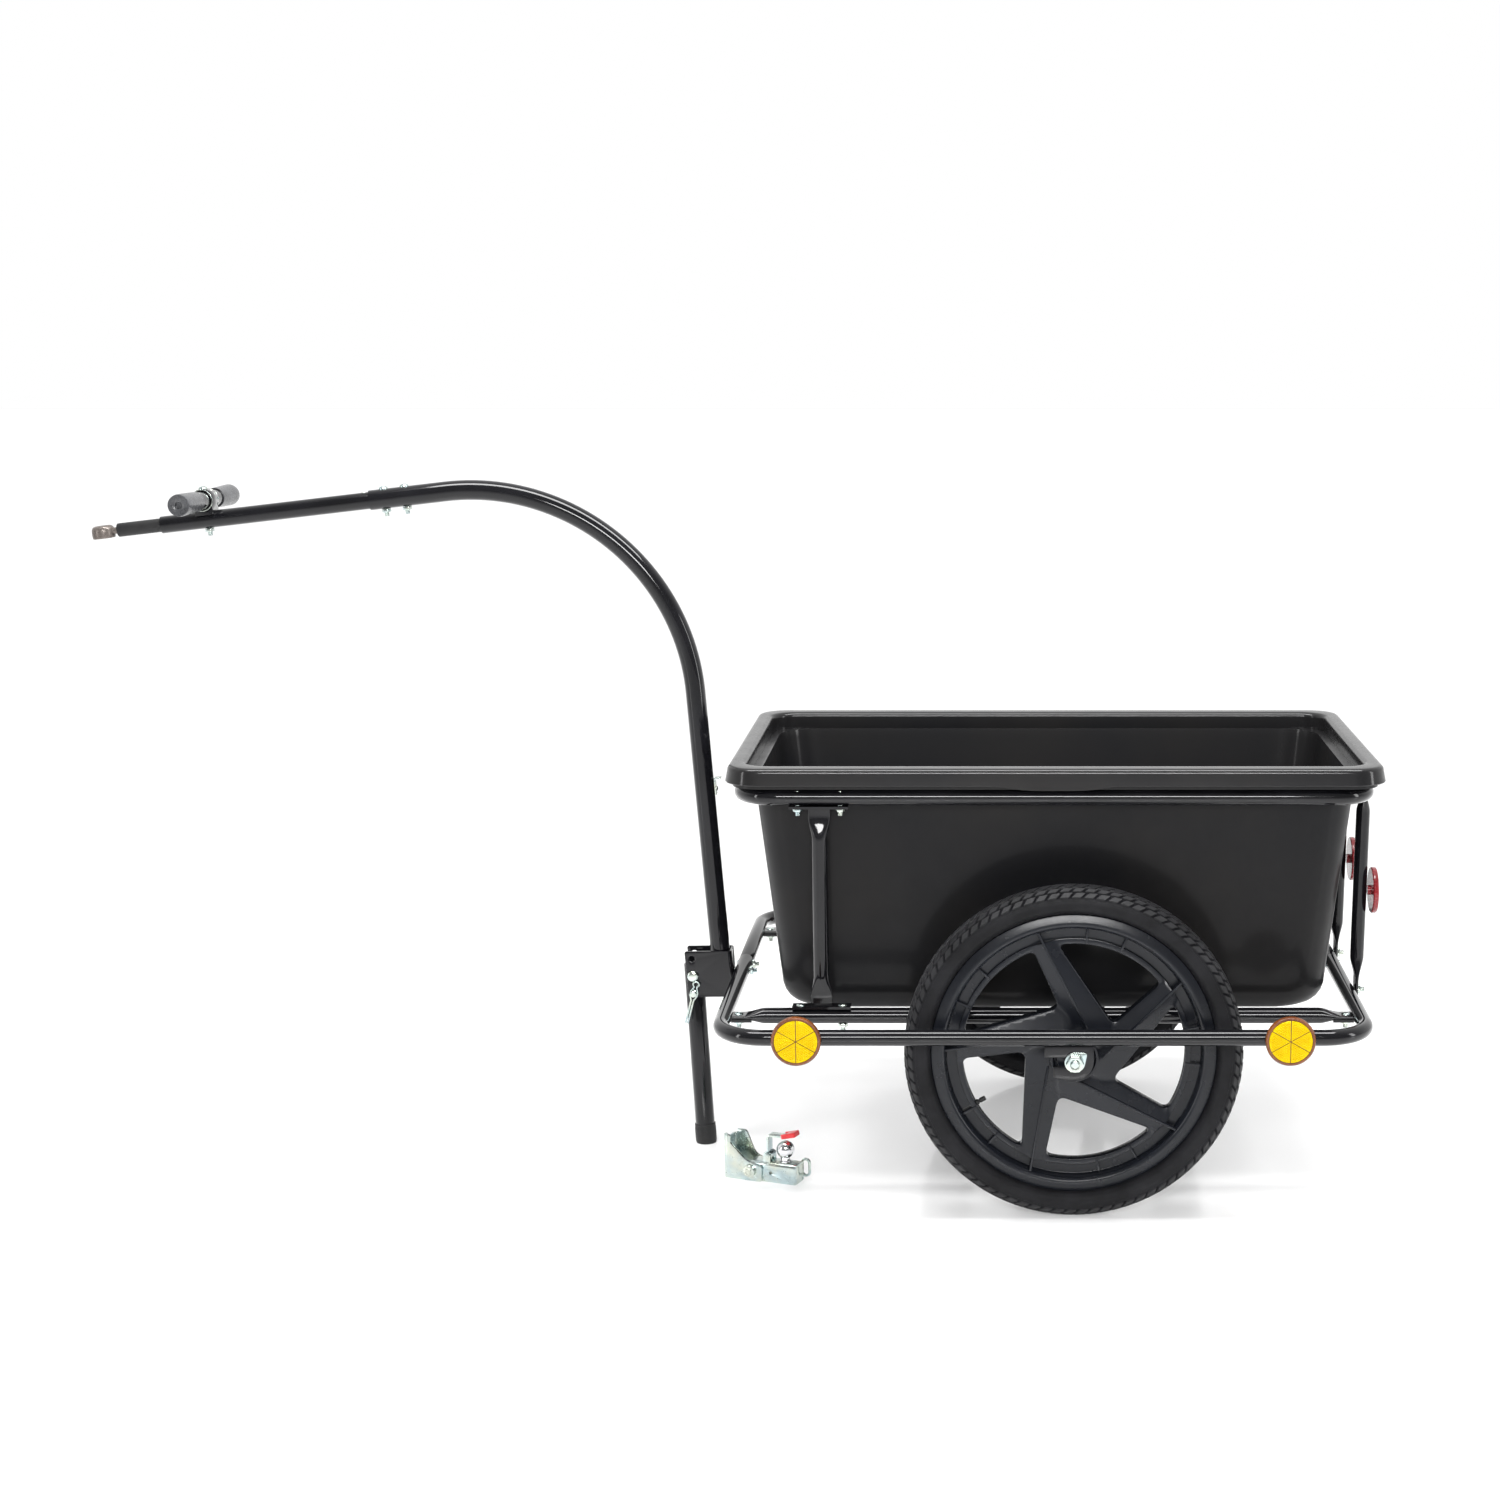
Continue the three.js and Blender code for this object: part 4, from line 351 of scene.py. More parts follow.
for side_name, side in sides:
    shells = [ring_half(side, bumper_front, bumper_rear, bumper_half_width, bumper_z, bumper_bend)]
    for tube_x, inward in ((bumper_front, 1), (bumper_rear, -1)):
        root = tube_x + inward * (tube_radius - tube_wall / 2)
        tip = tube_x + inward * (tube_radius + lug_length)
        low = (min(root, tip), side * rail_y - lug_half_width, lug_top - lug_thickness)
        high = (max(root, tip), side * rail_y + lug_half_width, lug_top)
        shells.append(box_shell(low, high))
    painted(f"bumper_ring_{side_name}", shells, f"bumper_{side_name}")
    half = ring_half(side, upper_front, upper_rear, upper_half_width, upper_z, upper_bend)
    painted(f"tub_ring_{side_name}", [half], f"upper_ring_{side_name}")

# Rails and uprights: lengths of the same tube, pressed flat at both ends and drilled for a bolt.
# The rails lie on the bumper's lugs, and the side uprights carry bolt plates welded to their flats.
flat_half_width = 13 * mm
flat_half_thickness = 2 * mm
rail_flat = 13 * mm
rail_taper = 26 * mm
taper_steps = 12


def flat_ended_tube(start, end, normal, radius, flat_length, taper_length):
    """A tube whose section eases from a flat-sided slot at each end to a circle, by a smooth step."""
    start, end = np.asarray(start, float), np.asarray(end, float)
    length = np.linalg.norm(end - start)
    half_way = np.concatenate([[0.0], flat_length + np.linspace(0, taper_length, taper_steps + 1)])
    distance = np.concatenate([half_way, length - half_way[::-1]])
    from_end = np.minimum(distance, length - distance)
    share = np.clip((from_end - flat_length) / taper_length, 0, 1)
    ease = share * share * (3 - 2 * share)
    path = start + (end - start) * (distance / length)[:, None]
    wide = flat_half_width + (radius - flat_half_width) * ease
    thick = flat_half_thickness + (radius - flat_half_thickness) * ease
    return capped(rings_along(path, normal, wide, thick, 1 - ease))


def square_to(along, side_axis):
    """The unit direction that is square to both a length and a side axis."""
    normal = np.cross(along, side_axis)
    return normal / np.linalg.norm(normal)


upright_x = axle_x - 299.5 * mm
plate_reach = np.array([35, 9, 0]) * mm
plate_thickness = 3 * mm
side_flat = 10 * mm
rear_flat = 22 * mm
side_taper = 30 * mm
rear_upright_y = 92 * mm
rear_radius = 8.5 * mm
rear_foot_drop = 9 * mm
rear_head_rise = 8.7 * mm

for side_name, side in sides:
    start = (bumper_front + tube_radius + fine_gap, side * rail_y, bumper_z)
    end = (bumper_rear - tube_radius - fine_gap, side * rail_y, bumper_z)
    rail = flat_ended_tube(start, end, up, tube_radius, rail_flat, rail_taper)
    painted(f"rail_tube_{side_name}", [rail], f"rail_{side_name}")

    foot = np.array([upright_x, side * rail_y, bumper_z + tube_radius + fine_gap])
    head = np.array([upright_x, side * upper_half_width, upper_z - tube_radius - fine_gap])
    half_plate = up * plate_thickness / 2
    tube = flat_ended_tube(foot + half_plate, head - half_plate, square_to(along_x, head - foot),
                           tube_radius, side_flat, side_taper)
    lower = box_shell(foot - plate_reach, foot + plate_reach + 2 * half_plate)
    upper = box_shell(head - plate_reach - 2 * half_plate, head + plate_reach)
    painted(f"upright_tube_{side_name}", [tube, lower, upper], f"side_upright_{side_name}")

    behind = tube_radius + fine_gap + flat_half_thickness
    foot = np.array([bumper_rear + behind, side * rear_upright_y, bumper_z - rear_foot_drop])
    head = np.array([upper_rear + behind, side * rear_upright_y, upper_z + rear_head_rise])
    tube = flat_ended_tube(foot, head, square_to(head - foot, along_y), rear_radius, rear_flat, side_taper)
    painted(f"rear_tube_{side_name}", [tube], f"rear_upright_{side_name}")

# Frame bolts: small zinc-plated coach bolts with low round heads, each with a hexagon nut and a bare thread
# end. They hold the uprights' plates, the rails' flat ends and the swaged ring joints together.
zinc = surface("bright zinc plate", (0.5, 0.61, 0.63), (0.66, 0.69, 0.6), 0.22, metallic=1.0, grain=2200,
               grain_depth=0.005 * mm, patch=45, roughness_span=0.16)
bolt_radius = 3 * mm
head_radius = 5.5 * mm
head_height = 2.2 * mm
nut_radius = 5.2 * mm
nut_height = 4 * mm
thread_pitch = 0.9 * mm
thread_depth = 0.3 * mm
bolt_tip = 5 * mm
sunk_head = 1.2 * mm
nut_corner = 0.6 * mm
head_edge_share = 0.35
corner_limit_share = 0.49
rounding_shares = np.array([0.3, 1.0])


def plated(name, shells, *nodes, body="frame"):
    """A zinc-plated piece, which stands for the named nodes."""
    piece(name, shells, zinc, body, nodes)


def seat(origin, outward, upward=up):
    """A place on the trailer: an origin and three axes, the third outward and the second near upward."""
    third = np.asarray(outward, float) / np.linalg.norm(outward)
    first = np.cross(upward, third)
    first /= np.linalg.norm(first)
    return np.asarray(origin, float), first, np.cross(third, first), third


def set_at(place, local):
    """Local points, as three coordinates along the place's axes, put where that place is."""
    origin, first, second, third = place
    local = np.asarray(local, float)
    return origin + local[..., :1] * first + local[..., 1:2] * second + local[..., 2:] * third


def softened(corners, radii, steps=4):
    """A closed outline whose corners become short curves. Each starts its radius before the corner and ends
    as far past it, and is the quadratic curve that the corner pulls on."""
    corners = np.asarray(corners, float)
    radii = np.broadcast_to(radii, len(corners))[:, None]
    back, ahead = np.roll(corners, 1, 0) - corners, np.roll(corners, -1, 0) - corners
    back_length, ahead_length = (np.linalg.norm(run, axis=1, keepdims=True) for run in (back, ahead))
    start = corners + back / back_length * np.minimum(radii, back_length * corner_limit_share)
    end = corners + ahead / ahead_length * np.minimum(radii, ahead_length * corner_limit_share)
    t = np.linspace(0, 1, steps + 1)[None, :, None]
    curve = (1 - t) ** 2 * start[:, None] + 2 * t * (1 - t) * corners[:, None] + t ** 2 * end[:, None]
    return curve.reshape(-1, 2)


def turned(profile, place, segments=48):
    """A profile of radius and height points carried round the place's third axis. One that starts and stops
    on the axis makes a solid, and any other is closed to make a ring."""
    profile = np.asarray(profile, float)
    is_ring = max(profile[0, 0], profile[-1, 0]) > weld_distance
    angle = np.arange(segments) * 2 * pi / segments
    radius, height = profile[:, :1], profile[:, 1:]
    local = np.stack([radius * np.cos(angle), radius * np.sin(angle), height + 0 * angle], axis=-1)
    return set_at(place, local).reshape(-1, 3), grid_faces(len(profile), segments, close_rows=is_ring)


def domed(radius, low, high, steps=6):
    """The profile of a round head: flat below, upright at its edge, and rounded over to the axis."""
    angle = np.linspace(0, pi / 2, steps + 1)
    edge = low + (high - low) * head_edge_share
    curve = np.stack([radius * np.cos(angle), edge + (high - edge) * np.sin(angle)], axis=1)
    return np.concatenate([[(0, low), (radius, low)], curve])


def threaded(radius, low, high, place, segments=20):
    """A bolt's thread: the radius falls and rises once a pitch, and its phase turns once with the angle."""
    height = np.arange(low, high, thread_pitch / 4)
    angle = np.arange(segments) * 2 * pi / segments
    phase = height[:, None] / thread_pitch + angle[None, :] / (2 * pi)
    reach = radius - thread_depth * np.abs(2 * (phase % 1) - 1)
    local = np.stack([reach * np.cos(angle), reach * np.sin(angle), height[:, None] + 0 * angle], axis=-1)
    return capped(set_at(place, local))


def within(points, starts, ends):
    """For each point, whether a ray from it meets the outlines' edges an odd number of times."""
    u, v = points[:, :1], points[:, 1:]
    first_u, first_v, last_u, last_v = starts[:, 0], starts[:, 1], ends[:, 0], ends[:, 1]
    spans = (first_v > v) != (last_v > v)
    rise = np.where(last_v == first_v, 1, last_v - first_v)
    meeting = first_u + (v - first_v) / rise * (last_u - first_u)
    return (spans & (meeting > u)).sum(axis=1) % 2 == 1


def edge_distance(points, starts, ends):
    """The distance from each point to the nearest of the outlines' edges."""
    run = ends - starts
    share = ((points[:, None] - starts) * run).sum(-1) / np.maximum((run * run).sum(-1), weld_distance ** 2)
    nearest = starts + np.clip(share, 0, 1)[..., None] * run
    return np.linalg.norm(points[:, None] - nearest, axis=-1).min(axis=1)


def inset_loop(loop, distance, hole):
    """A loop moved into the material beside it, each point along the mean of its two edges' normals."""
    run = np.roll(loop, -1, 0) - loop
    run /= np.maximum(np.linalg.norm(run, axis=1, keepdims=True), weld_distance)
    left = np.stack([-run[:, 1], run[:, 0]], axis=1)
    mean = left + np.roll(left, 1, 0)
    mean /= np.maximum((mean * mean).sum(1, keepdims=True), 1) / 2
    area = (loop[:, 0] * np.roll(loop[:, 1], -1) - np.roll(loop[:, 0], -1) * loop[:, 1]).sum()
    return loop + mean * distance * (1 if area > 0 else -1) * (-1 if hole else 1)


def plate(loops, low, high, place, rounding, fill=(), creases=(), rise=None):
    """A plate between two heights. The first loop is its edge, the others are holes, and rise lifts points on
    both faces. Near every edge the faces fall away along a quarter circle of the rounding radius."""
    loops = [np.asarray(loop, float) for loop in loops]
    inner = [inset_loop(loop, step, index > 0)
             for index, loop in enumerate(loops) for step in rounding_shares * rounding]
    sets = [*loops, *inner]
    starts = np.concatenate(loops)
    ends = np.concatenate([np.roll(loop, -1, 0) for loop in loops])
    edges, start = [], 0
    for loop in sets:
        edges += [(start + i, start + (i + 1) % len(loop)) for i in range(len(loop))]
        start += len(loop)
    if len(fill):
        fill = fill[within(fill, starts, ends)]
        fill = fill[edge_distance(fill, starts, ends) > 2 * rounding]
        sets.append(fill)
        start += len(fill)
    for crease in creases:
        edges += [(start + i, start + i + 1) for i in range(len(crease) - 1)]
        start += len(crease)
    points = np.concatenate([*sets, *creases])
    net = delaunay_2d_cdt([Vector(point) for point in points.tolist()], edges, [], 0, weld_distance / 10, True)
    flat = np.array([tuple(point) for point in net[0]])
    triangles = np.array(net[2])
    triangles = triangles[within(flat[triangles].mean(axis=1), starts, ends)]
    depth = np.clip(rounding - edge_distance(flat, starts, ends), 0, rounding)
    fall = rounding - np.sqrt(np.maximum(rounding ** 2 - depth ** 2, 0))
    lift = 0 if rise is None else rise(flat)
    top = set_at(place, np.column_stack([flat, high + lift - fall]))
    bottom = set_at(place, np.column_stack([flat, low - lift + fall]))
    count = len(flat)
    pairs = np.concatenate([triangles[:, [0, 1]], triangles[:, [1, 2]], triangles[:, [2, 0]]])
    codes = pairs[:, 0] * count + pairs[:, 1]
    border = pairs[~np.isin(codes, pairs[:, 1] * count + pairs[:, 0])]
    walls = np.column_stack([border[:, 1], border[:, 0], border[:, 0] + count, border[:, 1] + count])
    faces = triangles.tolist() + (triangles[:, ::-1] + count).tolist() + walls.tolist()
    return np.concatenate([top, bottom]), faces


def circle(radius, centre=(0, 0), segments=32, turn=0.0):
    """A loop of points round a circle. With six segments it is a hexagon."""
    angle = np.arange(segments) * 2 * pi / segments + turn
    return np.stack([centre[0] + radius * np.cos(angle), centre[1] + radius * np.sin(angle)], axis=1)


def hexagon_nut(radius, bore, low, high, place, rounding=0.5 * mm):
    """A nut: a hexagon with softened corners round a bore. The radius is half its width across flats."""
    hexagon = softened(circle(radius / cos(pi / 6), segments=6), nut_corner, steps=2)
    return plate([hexagon, circle(bore, segments=24)], low, high, place, rounding)


def small_bolt(top, bottom, head_lift=0.0):
    """A coach bolt from its head's seat to its nut's seat: head, shank, nut and bare thread end."""
    top, bottom = np.asarray(top, float), np.asarray(bottom, float)
    shank = top - bottom
    length = np.linalg.norm(shank)
    place = seat(bottom, shank, along_y if abs(shank[2]) > abs(shank[0]) else up)
    head = domed(head_radius, length - sunk_head, length + head_height - sunk_head + head_lift)
    crown = turned(head, place, segments=24)
    nut = hexagon_nut(nut_radius, bolt_radius - thread_depth, -nut_height, 0, place)
    return [crown, nut, threaded(bolt_radius, -nut_height - bolt_tip, length, place)]


upright_bolt_spread = 25 * mm
joint_bolt_y = 32 * mm
rail_bolt_inset = 7.5 * mm

for side_name, side in sides:
    bolts = []
    for spot_x in (upright_x - upright_bolt_spread, upright_x + upright_bolt_spread):
        crown = (spot_x, side * upper_half_width, upper_z + tube_radius - sunk_head)
        plate_under = (*crown[:2], upper_z - tube_radius - fine_gap - plate_thickness)
        bolts += small_bolt(crown, plate_under)
        plate_over = (spot_x, side * rail_y, bumper_z + tube_radius + fine_gap + plate_thickness)
        rail_under = (*plate_over[:2], bumper_z - tube_radius)
        bolts += small_bolt(plate_over, rail_under, sunk_head)
    front_end = bumper_front + tube_radius + rail_bolt_inset
    rear_end = bumper_rear - tube_radius - rail_bolt_inset
    for end_x in (front_end, rear_end):
        flat_top = (end_x, side * rail_y, bumper_z + flat_half_thickness)
        bolts += small_bolt(flat_top, (end_x, side * rail_y, lug_top - lug_thickness), sunk_head)
    for tube_x, tube_z in ((bumper_rear, bumper_z), (upper_rear, upper_z)):
        flat_x = tube_x + tube_radius + fine_gap + 2 * flat_half_thickness
        flat_y = side * rear_upright_y
        bolts += small_bolt((tube_x, flat_y, tube_z), (flat_x, flat_y, tube_z))
    plated(f"frame_bolts_{side_name}", bolts)

bolts = []
for tube_x, outward in ((bumper_front, -1), (bumper_rear, 1)):
    outer = (tube_x + outward * tube_radius, joint_bolt_y, bumper_z)
    bolts += small_bolt(outer, (tube_x - outward * tube_radius, joint_bolt_y, bumper_z))
for tube_x in (upper_front, upper_rear):
    crown = (tube_x, joint_bolt_y, upper_z + tube_radius - sunk_head)
    bolts += small_bolt(crown, (tube_x, joint_bolt_y, upper_z - tube_radius))
plated("ring_joint_bolts", bolts)

# Dropouts: plates of 4 mm steel welded to the rails and the bumper, with an axle slot that opens forwards.
# They are stamped, with a round nose behind the axle, and painted with the frame.
axle_z = 200 * mm
dropout_thickness = 4 * mm
dropout_top = 18.8 * mm
dropout_upper_reach = 35 * mm
dropout_lower_reach = 25 * mm
dropout_lower_arm = 18.4 * mm
dropout_slot_half = 5.4 * mm
dropout_nose = 22 * mm
dropout_rounding = 0.6 * mm
arc_points = 13
dropout_ys = (("outer", 307 * mm), ("inner", 212 * mm))


def dropout_outline():
    """The plate's edge about the axle: a round nose behind, a straight top, and two fingers at the slot."""
    angle = np.linspace(-pi / 2, 0, arc_points)[:, None]
    nose = dropout_nose * np.concatenate([np.cos(angle), np.sin(angle)], axis=1)
    slot_angle = np.linspace(pi / 2, -pi / 2, arc_points)[:, None]
    slot = dropout_slot_half * np.concatenate([np.cos(slot_angle), np.sin(slot_angle)], axis=1)
    upper = [(dropout_nose, dropout_top), (-dropout_upper_reach, dropout_top),
             (-dropout_upper_reach, dropout_slot_half)]
    lower = [(-dropout_lower_reach, -dropout_slot_half), (-dropout_lower_reach, -dropout_lower_arm),
             (-dropout_nose / 2, -dropout_nose)]
    return np.concatenate([lower, nose, upper, slot])


for side_name, side in sides:
    for place_name, distance in dropout_ys:
        place = seat((axle_x, side * distance, axle_z), along_y * side)
        shell = plate([dropout_outline() * [-side, 1]], -dropout_thickness / 2, dropout_thickness / 2, place,
                      dropout_rounding)
        painted(f"axle_plate_{place_name}_{side_name}", [shell], f"dropout_{place_name}_{side_name}")

# Wheels: each is one casting of black glass-filled nylon, with five ridged spokes that run off the hub like a
# pinwheel, a deep groove inside the rim, and short stiffening ribs across that groove.
wheel_plastic = surface("moulded wheel nylon", (0.007, 0.008, 0.011), (0.01, 0.0115, 0.016), 0.25,
                        specular=0.34, grain=900, grain_depth=0.012 * mm, patch=9, roughness_span=0.06)
wheel_y = 262 * mm
rim_flange = 168 * mm
rim_floor = 157 * mm
rim_half = 18 * mm
flange_thickness = 3.5 * mm
flange_slope = 3.2 * mm
rim_inner = 151 * mm
disc_radius = 138 * mm
disc_half = 7.5 * mm
disc_rounding = 1.2 * mm
net_spacing = 4.5 * mm
net_half_count = 36
web_half = 3 * mm
window_radius = 131 * mm
window_corner = 8 * mm
window_inner_corner = 11 * mm
corner_points, window_rim_points, window_side_points, crest_points = 9, 22, 14, 22
spoke_first = radians(-28)
spoke_count = 5
spoke_spacing = 2 * pi / spoke_count
lead_skew, lead_offset = -1.7, 6.7 * mm
trail_skew, trail_offset = 7.8, 56.5 * mm
crest_skew, crest_offset = 0.8, 27.4 * mm
crest_height = 6.5 * mm
crest_start = 8 * mm
crest_margin = 1.5 * mm
roof_fade_start, roof_fade_length = -22 * mm, 30 * mm
roof_least_run = 0.1 * mm
hub_radius = 28 * mm
hub_half = 35 * mm
hub_bore = 9 * mm
hub_boss, hub_groove, hub_step = 20.5 * mm, 24 * mm, 0.8 * mm
hub_groove_depth, hub_rim_drop = 5 * mm, 1 * mm
gusset_turns = (radians(22), radians(40))
gusset_half, gusset_rise, gusset_rounding = 1.4 * mm, 1.2 * mm, 0.5 * mm
gusset_overlap, rim_overlap = 6 * mm, 1 * mm
crest_rib_half, crest_rib_rise, crest_rib_rounding = 1.6 * mm, 2 * mm, 1.4 * mm
crest_rib_start = 20 * mm
spoke_turns = spoke_first + np.arange(spoke_count) * spoke_spacing


def spoke_line(turn, skew, offset):
    """A line beside a spoke: the point nearest the axle, and its direction outwards."""
    angle = turn + radians(skew)
    return np.array([sin(angle), -cos(angle)]) * offset, np.array([cos(angle), sin(angle)])


def window_outline(turn):
    """One window: straight along two spokes, round along the rim, and with rounded corners."""
    trail, trail_way = spoke_line(turn, trail_skew, trail_offset)
    lead, lead_way = spoke_line(turn - spoke_spacing, lead_skew, lead_offset)
    gap = trail - lead
    slant = lead_way[0] * trail_way[1] - lead_way[1] * trail_way[0]
    inner = lead + lead_way * ((gap[0] * trail_way[1] - gap[1] * trail_way[0]) / slant)
    lead_end = lead + lead_way * sqrt(window_radius ** 2 - lead @ lead)
    trail_end = trail + trail_way * sqrt(window_radius ** 2 - trail @ trail)
    first, last = np.arctan2(lead_end[1], lead_end[0]), np.arctan2(trail_end[1], trail_end[0])
    last += 2 * pi * (last < first)
    bend = window_corner / window_radius
    angle = np.linspace(first + bend, last - bend, window_rim_points)
    rim = window_radius * np.stack([np.cos(angle), np.sin(angle)], axis=1)
    t = np.linspace(0, 1, corner_points)[:, None]
    run = np.linspace(0, 1, window_side_points)[1:-1, None]

    def pulled(start, corner, end):
        """The quadratic curve from start to end that the corner pulls on."""
        return (1 - t) ** 2 * start + 2 * t * (1 - t) * corner + t ** 2 * end

    def toward(start, end, distance):
        """The point at a distance from the start on the way to the end."""
        return start + (end - start) / np.linalg.norm(end - start) * distance

    lead_start = toward(inner, lead_end, window_inner_corner)
    lead_stop = toward(lead_end, inner, window_corner)
    trail_start = toward(trail_end, inner, window_corner)
    trail_stop = toward(inner, trail_end, window_inner_corner)
    return np.concatenate([
        lead_start + (lead_stop - lead_start) * run, pulled(lead_stop, lead_end, rim[0]), rim[1:-1],
        pulled(rim[-1], trail_end, trail_start), trail_start + (trail_stop - trail_start) * run,
        pulled(trail_stop, inner, lead_start)])


def spoke_roof(points):
    """How far the faces rise above the flat disc: along each spoke a roof climbs evenly from its two edges to
    its crest, fades out towards the hub, and the highest roof counts."""
    rise = np.zeros(len(points))
    for turn in spoke_turns:
        lines = [(radians(skew) + turn, offset) for skew, offset in
                 ((lead_skew, lead_offset), (trail_skew, trail_offset), (crest_skew, crest_offset))]
        lead, trail, crest = (points @ [sin(angle), -cos(angle)] - offset for angle, offset in lines)
        reach = points @ [cos(turn), sin(turn)]
        edge = np.where(crest < 0, lead, -trail)
        share = np.clip(edge / np.maximum(edge + np.abs(crest), roof_least_run), 0, 1)
        fade = np.clip((reach - roof_fade_start) / roof_fade_length, 0, 1)
        rise = np.maximum(rise, share * fade)
    return rise * crest_height


def bar_across(place, turn, offset, start, stop, half, height, rounding):
    """A flat bar that stands across the wheel's groove, along a direction and beside it by an offset."""
    origin, first, second, third = place
    way = cos(turn) * first + sin(turn) * second
    beside = cos(turn) * second - sin(turn) * first
    outline = [(start, offset - half), (stop, offset - half), (stop, offset + half), (start, offset + half)]
    return plate([outline], -height, height, (origin, way, beside, third), rounding)


def wheel_shells(place):
    """The spoke disc, the rim with its groove, the hub, and the ribs across the groove."""
    crests = []
    for turn in spoke_turns:
        nearest, way = spoke_line(turn, crest_skew, crest_offset)
        far = sqrt((disc_radius - crest_margin) ** 2 - crest_offset ** 2)
        crests.append(nearest + way * np.linspace(crest_start, far, crest_points)[:, None])
    row, column = np.mgrid[-net_half_count:net_half_count + 1, -net_half_count:net_half_count + 1]
    row_height_share = 0.866
    fill = np.stack([(column + row % 2 / 2) * net_spacing, row * net_spacing * row_height_share], axis=-1)
    loops = [circle(disc_radius, segments=160), *(window_outline(turn) for turn in spoke_turns)]
    disc = plate(loops, -disc_half, disc_half, place, disc_rounding, fill.reshape(-1, 2), crests, spoke_roof)
    lip_foot = rim_half - flange_thickness - flange_slope / 2
    half_rim = [(disc_radius - 3 * mm, web_half), (rim_inner - 1 * mm, web_half),
                (rim_inner, rim_half - flange_thickness), (rim_floor - 2.5 * mm, rim_half),
                (rim_floor + 1 * mm, rim_half), (rim_flange, rim_half - flange_slope),
                (rim_flange, lip_foot), (rim_floor, lip_foot)]
    corner_radii = np.array([0, 2, 2.5, 3, 1.5, 1.2, 0.8, 1.5]) * mm
    mirrored = [(radius, -height) for radius, height in reversed(half_rim)]
    rim_profile = softened(mirrored + half_rim, np.concatenate([corner_radii[::-1], corner_radii]))
    half_hub = [(hub_bore, hub_half), (hub_boss, hub_half), (hub_boss + hub_step, hub_half - hub_groove_depth),
                (hub_groove, hub_half - hub_groove_depth), (hub_groove + hub_step, hub_half - hub_rim_drop),
                (hub_radius, hub_half - hub_rim_drop)]
    hub_profile = softened(half_hub + [(radius, -height) for radius, height in reversed(half_hub)], hub_step)
    shells = [disc, turned(rim_profile, place, segments=160), turned(hub_profile, place, segments=64)]
    for turn in spoke_turns:
        for extra in gusset_turns:
            shells.append(bar_across(place, turn + extra, 0, disc_radius - gusset_overlap,
                                     rim_inner + rim_overlap, gusset_half, disc_half + gusset_rise,
                                     gusset_rounding))
        stop = sqrt((rim_inner + rim_overlap) ** 2 - crest_offset ** 2)
        shells.append(bar_across(place, turn + radians(crest_skew), -crest_offset, crest_rib_start, stop,
                                 crest_rib_half, disc_half + crest_height + crest_rib_rise, crest_rib_rounding))
    return shells


wheel_places = {}
for side_name, side in sides:
    wheel_places[side_name] = seat((axle_x, side * wheel_y, axle_z), along_y * side)
    piece(f"wheel_casting_{side_name}", wheel_shells(wheel_places[side_name]), wheel_plastic,
          f"wheel_{side_name}", [f"wheel_{side_name}"])

# Tyres: 16 inch, in matt black rubber, with a smooth side wall and a tread of slanted square blocks in rows.
# Each is moulded in one, with fine raised rings on its walls, and its beads sit inside the rim's two flanges.
tyre_rubber = surface("tyre rubber", (0.008, 0.008, 0.009), (0.014, 0.014, 0.016), 0.5, specular=0.16,
                      grain=1600, grain_depth=0.025 * mm, patch=30, roughness_span=0.24)
tyre_middle = 178.5 * mm
tyre_rise = 19 * mm
tyre_half_width = 23 * mm
tyre_wall = 4 * mm
tyre_crown = 6 * mm
tyre_power = 0.82
tread_depth = 2.8 * mm
tread_pitches = 84
tread_slant = 2.0
tread_end_share = 0.76
# A block's points within one pitch and their heights, as shares, then each row of blocks from the middle out.
pitch_shares = np.array([0.0, 0.1, 0.16, 0.5, 0.84, 0.9])
height_shares = np.array([0.0, 0.0, 1.0, 1.0, 1.0, 0.0])
row_edge_shares = ((-0.02, 0.2), (0.25, 0.44), (0.49, 0.70))
wall_ring_shares = (0.8, 1.1)
wall_ring_height = 0.4 * mm
inner_end_share = 0.02
edge_share = 0.012
bead_share = 1.32
tuck_start = 1.05
tuck_share = 0.36
wall_points, inner_points = 13, 8
bead_foot = np.array([(167.6, 12.6), (158, 12.6), (158, 10.2), (167, 10.2)]) * mm


def tyre_section(share, rise, half_width):
    """Radius and half width round the tyre's section. The share is 0 at the tread's middle and 1 at the
    widest part, and a power of sine and cosine makes the section a little squarer than an ellipse. Below its
    widest part the wall tucks in towards the rim by a square law."""
    angle = pi / 2 * (1 - share)
    radius = tyre_middle + rise * np.sign(np.sin(angle)) * np.abs(np.sin(angle)) ** tyre_power
    tuck = np.clip((share - tuck_start) / (bead_share - tuck_start), 0, 1) ** 2
    return radius, half_width * np.abs(np.cos(angle)) ** tyre_power * (1 - tuck_share * tuck)


